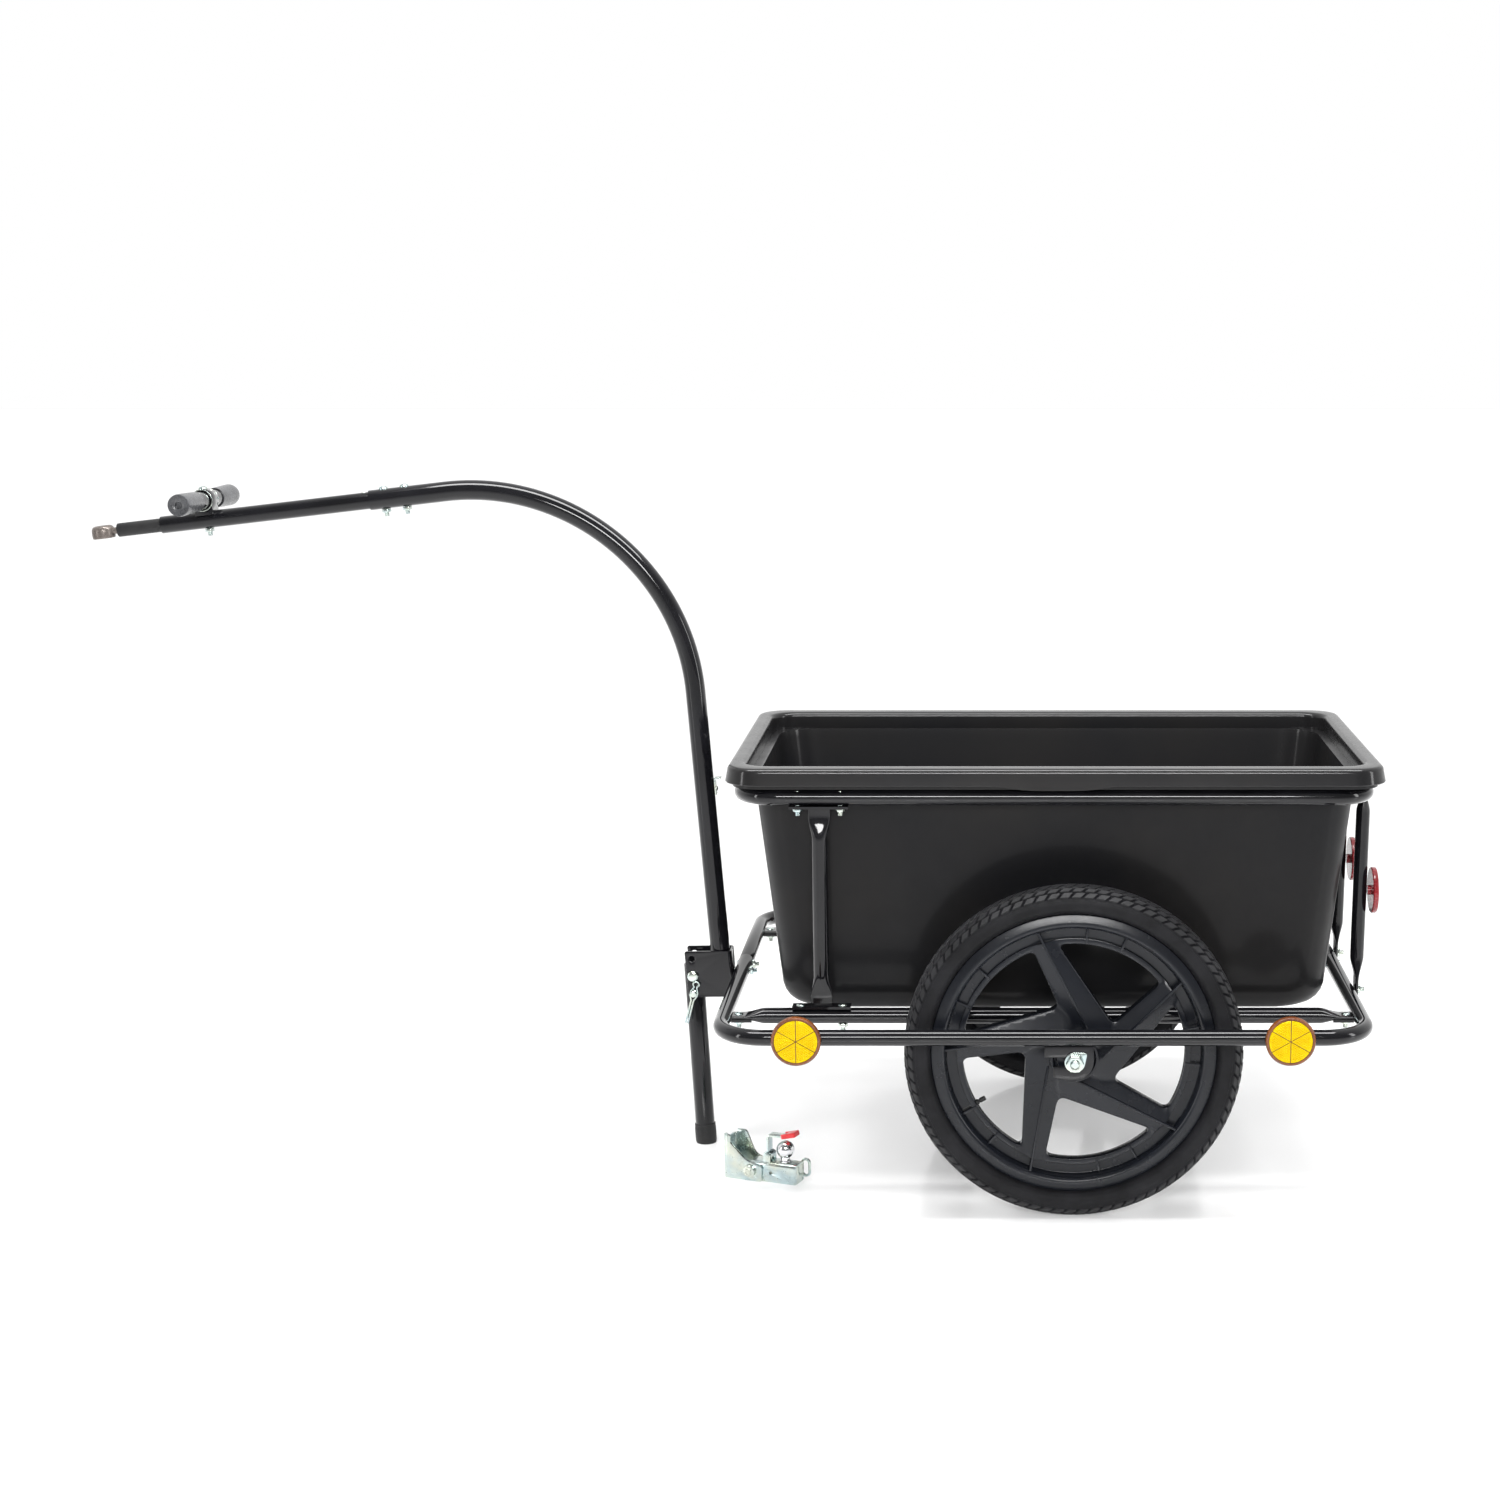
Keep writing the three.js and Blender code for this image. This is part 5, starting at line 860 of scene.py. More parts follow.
def tyre_shell(place):
    """The tyre's skin. Each row of the grid is turned by its slant, so that grid lines follow the block
    edges, and neighbouring rows of blocks are half a pitch apart. A block stands out by the tread depth: half
    the square of its share of the tyre's half width goes sideways, and the rest away from the axle."""
    rows = []
    for index, (low, high) in enumerate(row_edge_shares):
        edges = (low - edge_share, low + edge_share, high - edge_share, high + edge_share)
        rows += [(edge, raised, index % 2 / 2, 0.0) for edge, raised in zip(edges, (0, 1, 1, 0))]
    rings = [ring + side * edge_share for ring in wall_ring_shares for side in (-1, 0, 1)]
    wall = sorted([*np.linspace(tread_end_share, bead_share, wall_points), *rings])
    rows += [(share, 0, 0.0, 1.0 if share in wall_ring_shares else 0.0) for share in wall]
    half = np.array([row for row in rows if row[0] > 0])
    share, raised, stagger, ring = np.concatenate([half[::-1], half]).T
    side = np.where(np.arange(len(share)) < len(half), -1, 1)
    radius, across = tyre_section(share, tyre_rise, tyre_half_width)
    pitch = 2 * pi / tread_pitches
    column = (np.arange(tread_pitches)[:, None] + pitch_shares).ravel()
    heights = np.tile(height_shares, tread_pitches)
    turn = (column + (stagger + side * tread_slant * np.minimum(share, tread_end_share))[:, None]) * pitch
    out = wall_ring_height * ring[:, None] + tread_depth * heights * raised[:, None]
    lean = (across / tyre_half_width)[:, None] ** 2 / 2
    skin_radius = radius[:, None] + out * (1 - lean)
    skin_across = (across * side)[:, None] + out * lean * side[:, None]
    inner_shares = np.linspace(bead_share, inner_end_share, inner_points)
    inner_radius, inner_across = tyre_section(inner_shares, tyre_rise - tyre_crown, tyre_half_width - tyre_wall)
    inner_half = np.concatenate([bead_foot, np.stack([inner_radius, inner_across], axis=1)])
    inside = np.concatenate([inner_half, inner_half[::-1] * [1, -1]])
    straight = column[None, :] * pitch + 0 * inside[:, :1]
    radii = np.concatenate([skin_radius, inside[:, :1] + 0 * straight])
    widths = np.concatenate([skin_across, inside[:, 1:] + 0 * straight])
    turns = np.concatenate([turn, straight])
    local = np.stack([radii * np.cos(turns), radii * np.sin(turns), widths], axis=-1)
    return set_at(place, local).reshape(-1, 3), grid_faces(len(local), local.shape[1], close_rows=True)


def painted_groove_shade(points, place):
    """For each point, 0 on the floor of the tread's grooves, 1 on its blocks, and between them on the side
    wall; the low share in the grooves stands for a painted shade. It rises with how far the point lies outside
    the section's curve, on which the two offsets, each to the power of 2 over the section's, add up to 1."""
    origin, first, second, third = place
    local = points - origin
    radius = np.hypot(local @ first, local @ second)
    share_out = np.abs(radius - tyre_middle) / tyre_rise
    share_across = np.abs(local @ third) / tyre_half_width
    outside = share_out ** (2 / tyre_power) + share_across ** (2 / tyre_power) - 1
    return np.where(radius > tread_edge_radius, np.clip(outside / block_rise_share, 0, 1), wall_shade)


# The groove floors shine far less than the blocks, as a painted shade in the grooves, by a share that is
# kept with each point of the tyre.
tread_edge_radius = 188.4 * mm
block_rise_share = 0.2
wall_shade = 0.4
groove_to_block_shine = (0.01, 0.34)
rubber_nodes = tyre_rubber.node_tree
shade = rubber_nodes.nodes.new("ShaderNodeAttribute")
shade.attribute_name = "painted_groove_shade"
shine = map_range(rubber_nodes, shade.outputs["Fac"], (0, 1), groove_to_block_shine)
rubber_nodes.links.new(shine, rubber_nodes.nodes["Principled BSDF"].inputs["Specular IOR Level"])
soft_rubber = surface("soft rubber", (0.012, 0.012, 0.013), (0.02, 0.02, 0.02), 0.45, specular=0.32,
                      grain=1300, grain_depth=0.015 * mm, patch=40, roughness_span=0.16)

valve_angle = radians(-151)
valve_profile = np.array([(0, 0), (2.6, 0), (2.9, 1.2), (2.9, 7), (2.2, 7.6), (2.2, 8.6), (3.4, 9.4), (3.4, 30),
                          (4.4, 33), (4.4, 42), (0, 42)]) * mm
valve_tip = 119 * mm
tube_rounding = 3 * mm
tube_profile = np.array([(159, -9), (159, 9), (172, 11), (180, 16), (188, 10), (190, 0), (188, -10), (180, -16),
                         (172, -11)]) * mm

for side_name, side in sides:
    place = wheel_places[side_name]
    tyre = piece(f"tyre_casing_{side_name}", [tyre_shell(place)], tyre_rubber, f"wheel_{side_name}",
                 [f"tyre_{side_name}"])
    spots = np.empty(len(tyre.data.vertices) * 3)
    tyre.data.vertices.foreach_get("co", spots)
    shades = tyre.data.attributes.new("painted_groove_shade", "FLOAT", "POINT")
    shades.data.foreach_set("value", painted_groove_shade(spots.reshape(-1, 3), place))
    origin, first, second, third = place
    way = cos(valve_angle) * first + sin(valve_angle) * second
    valve = turned(valve_profile, seat(origin + way * valve_tip, way, third), segments=24)
    inflated = turned(softened(tube_profile, tube_rounding), place, segments=96)
    piece(f"tube_and_valve_{side_name}", [valve, inflated], soft_rubber, f"wheel_{side_name}",
          [f"inner_tube_{side_name}"])

# Axles: a long zinc-plated bolt in a steel sleeve carries each wheel, and a nut clamps it over a tabbed
# washer. The tab hooks into the dropout, and the bare thread end stands out past the nut.
sleeve_radius, sleeve_bore = 8.7 * mm, 5.3 * mm
sleeve_inner, sleeve_outer = 214.3 * mm, 304.7 * mm
axle_radius = 5 * mm
axle_head_inner, axle_head_outer = 203.3 * mm, 209.7 * mm
axle_thread_start = 303 * mm
axle_end = 323 * mm
washer_inner, washer_outer = 309.3 * mm, 311.3 * mm
washer_radius, washer_tip_radius, washer_reach = 12 * mm, 3 * mm, 17 * mm
washer_turn = radians(38)
washer_points = 25
axle_nut_inner, axle_nut_outer = 311.6 * mm, 319.6 * mm
axle_nut_radius = 9.2 * mm
axle_overlap = 1 * mm
axle_cap, axle_cap_gap, axle_cap_bevel = 3 * mm, 0.3 * mm, 1.2 * mm
axle_rounding, sleeve_rounding, washer_rounding, axle_nut_rounding = 0.8 * mm, 0.5 * mm, 0.4 * mm, 0.9 * mm
nut_clearance = 0.1 * mm


def tab_washer_outline(turn):
    """A washer with one corner drawn out: a wide arc, a small arc at the tip, and straight sides that touch
    both. The sides leave the wide arc where the cosine is the radii's difference over the tip's distance."""
    tip_middle = washer_reach - washer_tip_radius
    tab = np.arccos((washer_radius - washer_tip_radius) / tip_middle)
    wide, tip = np.linspace(tab, 2 * pi - tab, washer_points), np.linspace(-tab, tab, corner_points)
    loop = np.concatenate([washer_radius * np.stack([np.cos(wide), np.sin(wide)], axis=1),
                           [tip_middle, 0] + washer_tip_radius * np.stack([np.cos(tip), np.sin(tip)], axis=1)])
    return loop @ np.array([[cos(turn), sin(turn)], [-sin(turn), cos(turn)]])


def pipe_section(inner, outer, low, high, rounding, steps=4):
    """The section of a short pipe between two radii and two heights, with rounded corners."""
    return softened([(inner, low), (outer, low), (outer, high), (inner, high)], rounding, steps)


for side_name, side in sides:
    place = seat((axle_x, 0, axle_z), along_y * side)
    sleeve = pipe_section(sleeve_bore, sleeve_radius, sleeve_inner, sleeve_outer, sleeve_rounding, steps=2)
    plated(f"axle_sleeve_{side_name}", [turned(sleeve, place)], f"hub_sleeve_{side_name}")
    hexagon = softened(circle(axle_nut_radius / cos(pi / 6), segments=6), axle_rounding, steps=2)
    head = plate([hexagon], axle_head_inner, axle_head_outer, place, axle_rounding)
    shank = turned([(0, axle_head_outer - axle_overlap), (axle_radius, axle_head_outer - axle_overlap),
                    (axle_radius, axle_thread_start), (0, axle_thread_start)], place, segments=24)
    thread = threaded(axle_radius, axle_thread_start - axle_overlap, axle_end - axle_overlap, place,
                      segments=24)
    cap_radius = axle_radius - axle_cap_gap
    cap = turned([(0, axle_end - axle_cap), (cap_radius, axle_end - axle_cap),
                  (cap_radius, axle_end - axle_overlap), (axle_radius - axle_cap_bevel, axle_end),
                  (0, axle_end)], place, segments=24)
    plated(f"axle_shaft_{side_name}", [head, shank, thread, cap], f"axle_bolt_{side_name}")
    turn = washer_turn if side < 0 else pi - washer_turn
    washer = plate([tab_washer_outline(turn), circle(axle_radius + fine_gap)], washer_inner, washer_outer,
                   place, washer_rounding)
    plated(f"axle_washer_{side_name}", [washer], f"tab_washer_{side_name}")
    nut = hexagon_nut(axle_nut_radius, axle_radius + nut_clearance, axle_nut_inner, axle_nut_outer, place,
                      axle_nut_rounding)
    plated(f"wheel_nut_{side_name}", [nut], f"axle_nut_{side_name}")

# Drawbar: a steel tube bent once over a wide former, and a slimmer tube plugged and bolted into its mouth.
# Both are sprayed gloss black, and a small folded hook for a cable is screwed on behind.
drawbar_radius = 12.5 * mm
drawbar_lean, drawbar_droop = radians(4.27), radians(6.7)
drawbar_bend = 274 * mm
drawbar_top_run = 94 * mm
drawbar_foot_z = 200 * mm
mouth = np.array([axle_x - 867.307 * mm, 0, 828.862 * mm])
back_way = np.array([cos(drawbar_droop), 0, sin(drawbar_droop)])
over_way = np.array([-sin(drawbar_droop), 0, cos(drawbar_droop)])
rising_way = np.array([-sin(drawbar_lean), 0, cos(drawbar_lean)])
rear_way = np.array([cos(drawbar_lean), 0, sin(drawbar_lean)])
drawbar_turn = pi / 2 - drawbar_lean + drawbar_droop
knee = mouth + back_way * (drawbar_top_run + drawbar_bend * tan(drawbar_turn / 2))
drawbar_foot = knee - rising_way * (knee[2] - drawbar_foot_z) / cos(drawbar_lean)
rear_path = bent_path([drawbar_foot, knee, mouth], drawbar_bend, steps=48)
painted("drawbar_bent_tube", [hollow_tube(rear_path, along_y, drawbar_radius)], "drawbar_rear_tube")

# The line ahead of the mouth: places on it take distances across, above and back along it.
line_place = (mouth, along_y, over_way, back_way)
front_radius = 10.7 * mm
front_start, front_end = -262 * mm, 60 * mm
tube_end_rounding = 0.5 * mm
joint_bolt_distances = (("front", 18 * mm), ("rear", 44 * mm))
tall_head = sunk_head + 0.8 * mm
rivet_radius, rivet_height, rivet_sink, rivet_ahead = 2.4 * mm, 1.6 * mm, 0.6 * mm, 7 * mm
front_section = pipe_section(front_radius - tube_wall, front_radius, front_start, front_end, tube_end_rounding)
painted("drawbar_straight_tube", [turned(front_section, line_place)], "drawbar_front_tube")

for bolt_name, distance in joint_bolt_distances:
    middle = mouth + back_way * distance
    reach = over_way * (drawbar_radius + fine_gap)
    plated(f"joint_bolt_set_{bolt_name}", small_bolt(middle + reach, middle - reach, tall_head),
           f"joint_bolt_{bolt_name}")
rivet_place = seat(mouth - back_way * rivet_ahead + over_way * (front_radius - rivet_sink), over_way, along_y)
plated("joint_rivet", [turned(domed(rivet_radius, 0, rivet_height), rivet_place, segments=20)])

hook_z = 457 * mm
hook_length, hook_half_width, hook_thickness, hook_lip = 22 * mm, 6 * mm, 2 * mm, 9 * mm
hook_rounding, hook_screw_share = 0.5 * mm, 0.35
screw_radius, screw_sink, screw_height = 3.4 * mm, 1 * mm, 2 * mm
hook_foot = knee - rising_way * (knee[2] - hook_z) / cos(drawbar_lean)
hook_origin = hook_foot + rear_way * (drawbar_radius + fine_gap)
hook_outline = [(0, 0), (hook_thickness, 0), (hook_thickness, hook_length - hook_thickness),
                (hook_lip, hook_length - hook_thickness), (hook_lip, hook_length), (0, hook_length)]
hook_radii = np.array([0.3, 0.3, 0.6, 0.8, 0.8, 2.4]) * mm
hook_shell = plate([softened(hook_outline, hook_radii)], -hook_half_width, hook_half_width,
                   (hook_origin, rear_way, rising_way, along_y), hook_rounding)
screw_foot = hook_origin + rising_way * hook_length * hook_screw_share + rear_way * hook_thickness
screw = turned(domed(screw_radius, -screw_sink, screw_height), seat(screw_foot, rear_way), segments=24)
plated("cable_hook_strip", [hook_shell, screw], "cable_hook")

# Coupling: a rubber-sheathed rod runs out of the tube's end and carries a steel cup, which drops over the
# ball. The cup is turned with a rounded crown, and its mouth faces down.
cup_steel = surface("blackened steel", (0.12, 0.1, 0.09), (0.19, 0.165, 0.15), 0.32, metallic=0.5,
                    grain=1500, grain_depth=0.015 * mm, patch=60, roughness_span=0.2)
rod_radius, rod_start, rod_end = 8.5 * mm, -317 * mm, -237 * mm
neck_radius = 4.2 * mm
rod_radii = np.array([0.4, 1.4, 0.5, 0.3]) * mm
rod_section = pipe_section(neck_radius + fine_gap, rod_radius, rod_start, rod_end, rod_radii)
piece("coupling_rod", [turned(rod_section, line_place)], soft_rubber, "frame",
      ["coupling_sleeve"])

cup_x, cup_radius, cup_half, cup_wall = -335.8 * mm, 13.8 * mm, 8 * mm, 2.2 * mm
cup_corner_radii = np.array([0.5, 5, 9, 0, 0, 6]) * mm
cup_corner_steps = 8
neck_start, neck_end = cup_x + cup_radius - 1 * mm, rod_start + 12 * mm
cup_bore = cup_radius - cup_wall
cup_outer = [(cup_bore, -cup_half), (cup_radius, -cup_half), (cup_radius, cup_half), (0, cup_half),
             (0, cup_half - cup_wall), (cup_bore, cup_half - cup_wall)]
cup_profile = softened(cup_outer, cup_corner_radii, steps=cup_corner_steps)
on_axis = 4 * (cup_corner_steps + 1)
cup_place = (mouth + back_way * cup_x, back_way, along_y, over_way)
cup = turned(np.roll(cup_profile, -on_axis, axis=0), cup_place, segments=56)
neck = turned([(0, neck_start), (neck_radius, neck_start), (neck_radius, neck_end), (0, neck_end)],
              line_place, segments=32)
piece("coupling_cup", [cup, neck], cup_steel, "frame", ["coupling_socket"])

# Handle: a short cross tube clamped on top of the drawbar's end, with a vinyl grip pushed over each half.
# The clamp is a black-lacquered band with thin bright zinc rings on its rolled edges, a painted highlight,
# and one bolt goes down through everything.
grip_vinyl = surface("grip vinyl", (0.03, 0.031, 0.034), (0.062, 0.064, 0.07), 0.3, coat=0.25, specular=0.6,
                     grain=1100, grain_depth=0.03 * mm, patch=55, roughness_span=0.22,
                     waves=((9, 260, 260), 0.25 * mm))
handle_back, handle_over = -204 * mm, 24.5 * mm
handle_radius, handle_half = 11 * mm, 96 * mm
handle_middle = mouth + back_way * handle_back + over_way * handle_over
handle_place = (handle_middle, back_way, over_way, along_y)
handle_section = pipe_section(handle_radius - tube_wall, handle_radius, -handle_half, handle_half,
                              tube_end_rounding)
painted("handle_cross_tube", [turned(handle_section, handle_place)], "handle_tube")
grip_profile = np.array([(0, 96.4), (11.2, 96.4), (11.2, 39), (12.4, 39), (12.7, 48), (13.5, 86), (13.6, 97),
                         (12.9, 101), (5.6, 101), (4.4, 100.2), (4.4, 97.4), (0, 97.4)]) * mm
for side_name, side in sides:
    grip = turned(grip_profile, (*handle_place[:3], along_y * side), segments=56)
    piece(f"handle_grip_{side_name}", [grip], grip_vinyl, "frame", [f"grip_{side_name}"])

clamp_rounding = 0.5 * mm
clamp_weld = 0.01 * mm
flat_angle, hard_angle = radians(1), radians(35)


def eased(node, name, material, body, width):
    """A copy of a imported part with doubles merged, flat faces joined and hard edges rounded over."""
    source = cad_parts[node]
    mesh = source.data.copy()
    mesh.name = name
    mesh.transform(source.matrix_world)
    shell = bmesh.new()
    shell.from_mesh(mesh)
    bmesh.ops.remove_doubles(shell, verts=shell.verts, dist=clamp_weld)
    bmesh.ops.dissolve_limit(shell, angle_limit=flat_angle, verts=shell.verts, edges=shell.edges)
    shell.to_mesh(mesh)
    shell.free()
    mesh.materials.clear()
    mesh.materials.append(material)
    mesh.shade_smooth()
    made = bpy.data.objects.new(name, mesh)
    scene.collection.objects.link(made)
    rounding = made.modifiers.new("rounded edges", "BEVEL")
    rounding.width = width
    rounding.segments = 2
    rounding.limit_method = "ANGLE"
    rounding.angle_limit = hard_angle
    rounding.harden_normals = True
    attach(made, body)
    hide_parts(node)


eased("handle_clamp", "handle_band", black_paint, "frame", clamp_rounding)
# Thin bright zinc rings stand proud at both edges of the black band: a painted highlight on its rolled edges.
band_radius, band_half, edge_width = 13.5 * mm, 13 * mm, 0.5 * mm
edge_depth, edge_stand, edge_rounding = 1 * mm, 0.15 * mm, 0.2 * mm
highlight_ring_section = pipe_section(band_radius - edge_depth, band_radius + edge_stand, band_half - edge_width,
                            band_half + edge_stand, edge_rounding)
band_highlight_rings = [turned(highlight_ring_section, (*handle_place[:3], along_y * side), segments=56) for side in (-1, 1)]
plated("handle_band_highlight_rings", band_highlight_rings)
clamp_rise = 14.1 * mm
bolt_line = mouth + back_way * handle_back
handle_bolt = small_bolt(bolt_line + over_way * (handle_over + clamp_rise),
                         bolt_line - over_way * (front_radius + fine_gap), tall_head)
plated("handle_bolt_set", handle_bolt, "handle_bolt")

# Bracket: a channel folded from 3 mm steel, which reaches forward round the drawbar's foot and the stand's
# pivot. It is cut flat with its holes, bent twice and painted, and the bolt through the bumper holds it.
bracket_low, bracket_high = 197 * mm, 257 * mm
bracket_reach = 60 * mm
bracket_sheet = 3 * mm
sheet_rounding = 0.5 * mm
cheek_middle = 14.8 * mm
cheek_corner = 3 * mm
fold_radius = 3.5 * mm
pivot_hole, pin_hole = 5.3 * mm, 4.3 * mm
pivot = np.array([axle_x - 477.631 * mm, 0, 225 * mm])
stand_tilt = radians(2.83)
leg_down = np.array([sin(stand_tilt), 0, -cos(stand_tilt)])
pin_drop = 22.4 * mm
pin_at = pivot + leg_down * pin_drop
spare_at = pivot - leg_down * pin_drop
fold_steps = 6
flat_place = (np.zeros(3), along_x, along_y, up)


def folded(shell, place, flat_half, radius):
    """A flat blank bent into a channel. Its first coordinate runs across the blank: past the flat middle it
    goes a quarter turn round the fold radius on each side, and then straight on, away from the third axis."""
    (across, along, out), faces = shell[0].T, shell[1]
    run = np.abs(across) - flat_half
    turn = np.clip(run / radius, 0, pi / 2)
    side = np.sign(across) * (np.minimum(np.abs(across), flat_half) + (radius + out) * np.sin(turn))
    ahead = (radius + out) * np.cos(turn) - radius - np.maximum(run - radius * pi / 2, 0)
    return set_at(place, np.stack([side, along, ahead], axis=1)), faces


def blank_reach(flat_half, radius, ahead):
    """How far across the flat blank a point lies that will stand this far beyond the folded middle."""
    return flat_half + radius * (pi / 2 - 1) + ahead


def fold_lines(flat_half, radius, low, high):
    """Straight creases across the blank where it will bend, on both sides."""
    spots = flat_half + np.linspace(0, radius * pi / 2, fold_steps + 1)
    return [np.array([(side * spot, low), (side * spot, high)]) for side in (-1, 1) for spot in spots]


bracket_back = axle_x - 425.8 * mm
bracket_x = bracket_back - bracket_sheet / 2 - (bracket_low - bumper_z) * tan(drawbar_lean)
bracket_middle = np.array([bracket_x, 0, bracket_low])
bracket_place = (bracket_middle, along_y, rising_way, rear_way)
bracket_flat = cheek_middle - fold_radius
bracket_height = (bracket_high - bracket_low) / cos(drawbar_lean)
tip_across = blank_reach(bracket_flat, fold_radius, bracket_reach - bracket_sheet / 2)
tip_rise = bracket_reach * tan(drawbar_lean)
tip_top = bracket_height + tip_rise
loops = [softened([(-tip_across, tip_rise), (0, 0), (tip_across, tip_rise), (tip_across, tip_top),
                   (0, bracket_height), (-tip_across, tip_top)], np.array([1, 0, 1, 1, 0, 1]) * cheek_corner)]
for at, hole_radius in ((pivot, pivot_hole), (pin_at, pin_hole), (spare_at, pin_hole)):
    gap = at - bracket_middle
    hole_across, hole_up = blank_reach(bracket_flat, fold_radius, -gap @ rear_way), gap @ rising_way
    loops += [circle(hole_radius, (-hole_across, hole_up)), circle(hole_radius, (hole_across, hole_up))]
blank = plate(loops, -bracket_sheet / 2, bracket_sheet / 2, flat_place, sheet_rounding, (),
              fold_lines(bracket_flat, fold_radius, -1 * mm, bracket_height + 2 * mm))
painted("drawbar_channel", [folded(blank, bracket_place, bracket_flat, fold_radius)], "drawbar_bracket")

main_head, main_nut, main_lift = 3 * mm, 8 * mm, 0.6 * mm
bolt_low, bolt_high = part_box("drawbar_bolt")
main_bolt = small_bolt((bolt_low[0] + main_head, 0, bumper_z), (bolt_high[0] - main_nut, 0, bumper_z),
                       sunk_head + main_lift)
plated("drawbar_bolt_set", main_bolt, "drawbar_bolt")

# Stand: a leg of the drawbar's tube with a moulded rubber shoe, which swings up about its pivot bolt.
# A cross pin with a wire clip locks it, and the leg is slotted so that it can leave the pin.
leg_mid_radius = drawbar_radius - tube_wall / 2
leg_top = -13 * mm
leg_length = pivot[2] / cos(stand_tilt)
shoe_sole = 3.9 * mm
leg_bottom = leg_length - shoe_sole
leg_rounding = 0.2 * mm
slot_half = 4.3 * mm
leg_columns = 36
flank_points = 10
rear_of_leg = np.array([cos(stand_tilt), 0, sin(stand_tilt)])
leg_place = (pivot, rear_of_leg, along_y, leg_down)


def rolled(shell, place, radius):
    """A flat blank rolled into a tube round the third axis. Its first coordinate becomes the way round."""
    (across, along, out), faces = shell[0].T, shell[1]
    angle, reach = across / radius, radius + out
    return set_at(place, np.stack([reach * np.cos(angle), reach * np.sin(angle), along], axis=1)), faces


def pin_slot():
    """The leg's slot on the flat blank: a band at the pin's distance from the pivot, across the leg's rear
    face to both flanks, where it ends round the pin."""
    flank = np.linspace(0, pi / 2, flank_points)
    behind = drawbar_radius * np.cos(flank)
    near = np.sqrt((pin_drop - slot_half) ** 2 - behind ** 2)
    far = np.sqrt((pin_drop + slot_half) ** 2 - behind ** 2)
    t = np.linspace(0, pi, corner_points)[1:-1]
    end_turn = np.arccos(-slot_half * np.sin(t) / drawbar_radius)
    end_along = pin_drop - slot_half * np.cos(t)
    turn = np.concatenate([flank, end_turn, flank[::-1]])
    along = np.concatenate([near, end_along, far[::-1]])
    half = np.stack([turn * leg_mid_radius, along], axis=1)
    return np.concatenate([half, half[::-1][1:-1] * [-1, 1]])


leg_half_across = pi * leg_mid_radius
leg_outline = [(-leg_half_across, leg_top), (leg_half_across, leg_top), (leg_half_across, leg_bottom),
               (-leg_half_across, leg_bottom)]
quarter = leg_half_across / 2
pivot_holes = [circle(pivot_hole, (side * quarter, 0)) for side in (-1, 1)]
columns = np.linspace(-leg_half_across, leg_half_across, leg_columns + 1)[1:-1]
leg_lines = [np.array([(column, leg_top), (column, leg_bottom)]) for column in columns]
leg_blank = plate([np.array(leg_outline), pin_slot(), *pivot_holes], -tube_wall / 2, tube_wall / 2, flat_place,
                  leg_rounding, (), leg_lines)
piece("stand_tube", [rolled(leg_blank, leg_place, leg_mid_radius)], black_paint, "stand",
      ["stand_leg"])

shoe_profile = np.array([(0, 199.5), (12.9, 199.5), (13.3, 200), (13.3, 204), (13.6, 205), (13.6, 222),
                         (12.9, 226.5), (0, 226.5)]) * mm
shoe_points, shoe_faces = turned(shoe_profile, leg_place, segments=48)
shoe_points[:, 2] = np.maximum(shoe_points[:, 2], 0)
piece("stand_shoe", [(shoe_points, shoe_faces)], soft_rubber, "stand", ["stand_foot"])

head_seat = 16.6 * mm
shank_tip, shank_overlap = 5 * mm, 1 * mm
pivot_radius, pivot_bevel = 5 * mm, 0.6 * mm
pivot_head_radius, pivot_head_height = 7 * mm, 3.6 * mm
pivot_nut_radius, pivot_nut_bore, big_nut_rounding = 6.5 * mm, 4.9 * mm, 0.7 * mm


def smooth_shank(radius, bevel, reach):
    """The profile of a plain shank between two seats at equal reach. It runs a little into the head, and its
    bevelled end stands out past the nut."""
    return [(0, -reach - shank_tip), (radius - bevel, -reach - shank_tip), (radius, -reach - shank_tip + bevel),
            (radius, reach + shank_overlap), (0, reach + shank_overlap)]


pivot_place = seat(pivot, -along_y)
pivot_crown = domed(pivot_head_radius, head_seat, head_seat + pivot_head_height)
pivot_nut = hexagon_nut(pivot_nut_radius, pivot_nut_bore, -head_seat - nut_height, -head_seat, pivot_place,
                        big_nut_rounding)
pivot_head = turned(pivot_crown, pivot_place, segments=32)
pivot_shank = turned(smooth_shank(pivot_radius, pivot_bevel, head_seat), pivot_place, segments=32)
plated("stand_pivot", [pivot_head, pivot_shank, pivot_nut], "stand_pivot_bolt")

pin_place = seat(pin_at, -along_y)
pin_profile = np.array([(0, -19.6), (6, -19.6), (7, -18.8), (7, -16.9), (6.6, -16.6), (4, -16.6), (4, 16.4),
                        (2.8, 16.8), (2.8, 20.4), (4, 20.8), (4, 22.6), (3, 23.6), (0, 23.6)]) * mm
plated("locking_pin", [turned(pin_profile, pin_place, segments=32)], "lock_pin")

clip_wire, clip_bend, clip_out = 1.2 * mm, 2 * mm, 2 * mm
clip_turn = radians(14.3)
clip_place = (pin_at - along_y * (head_seat + clip_out), np.array([cos(clip_turn), 0, -sin(clip_turn)]),
              np.array([sin(clip_turn), 0, cos(clip_turn)]), along_y)
leg_x, hump_x, loop_radius, loop_reach = 1.5 * mm, 4.3 * mm, 4 * mm, 12 * mm
clip_leg, hump = 40 * mm, 4.5 * mm
one_leg = np.array([(leg_x, -clip_leg), (leg_x, -hump * 2), (hump_x, -hump / 2), (hump_x, hump / 2),
                    (leg_x, hump * 2)])
loop_angle = np.linspace(0, pi, corner_points)
loop_arc = np.stack([loop_radius * np.cos(loop_angle), loop_reach + loop_radius * np.sin(loop_angle)], axis=1)
wire_line = np.concatenate([one_leg, loop_arc, one_leg[::-1] * [-1, 1]])
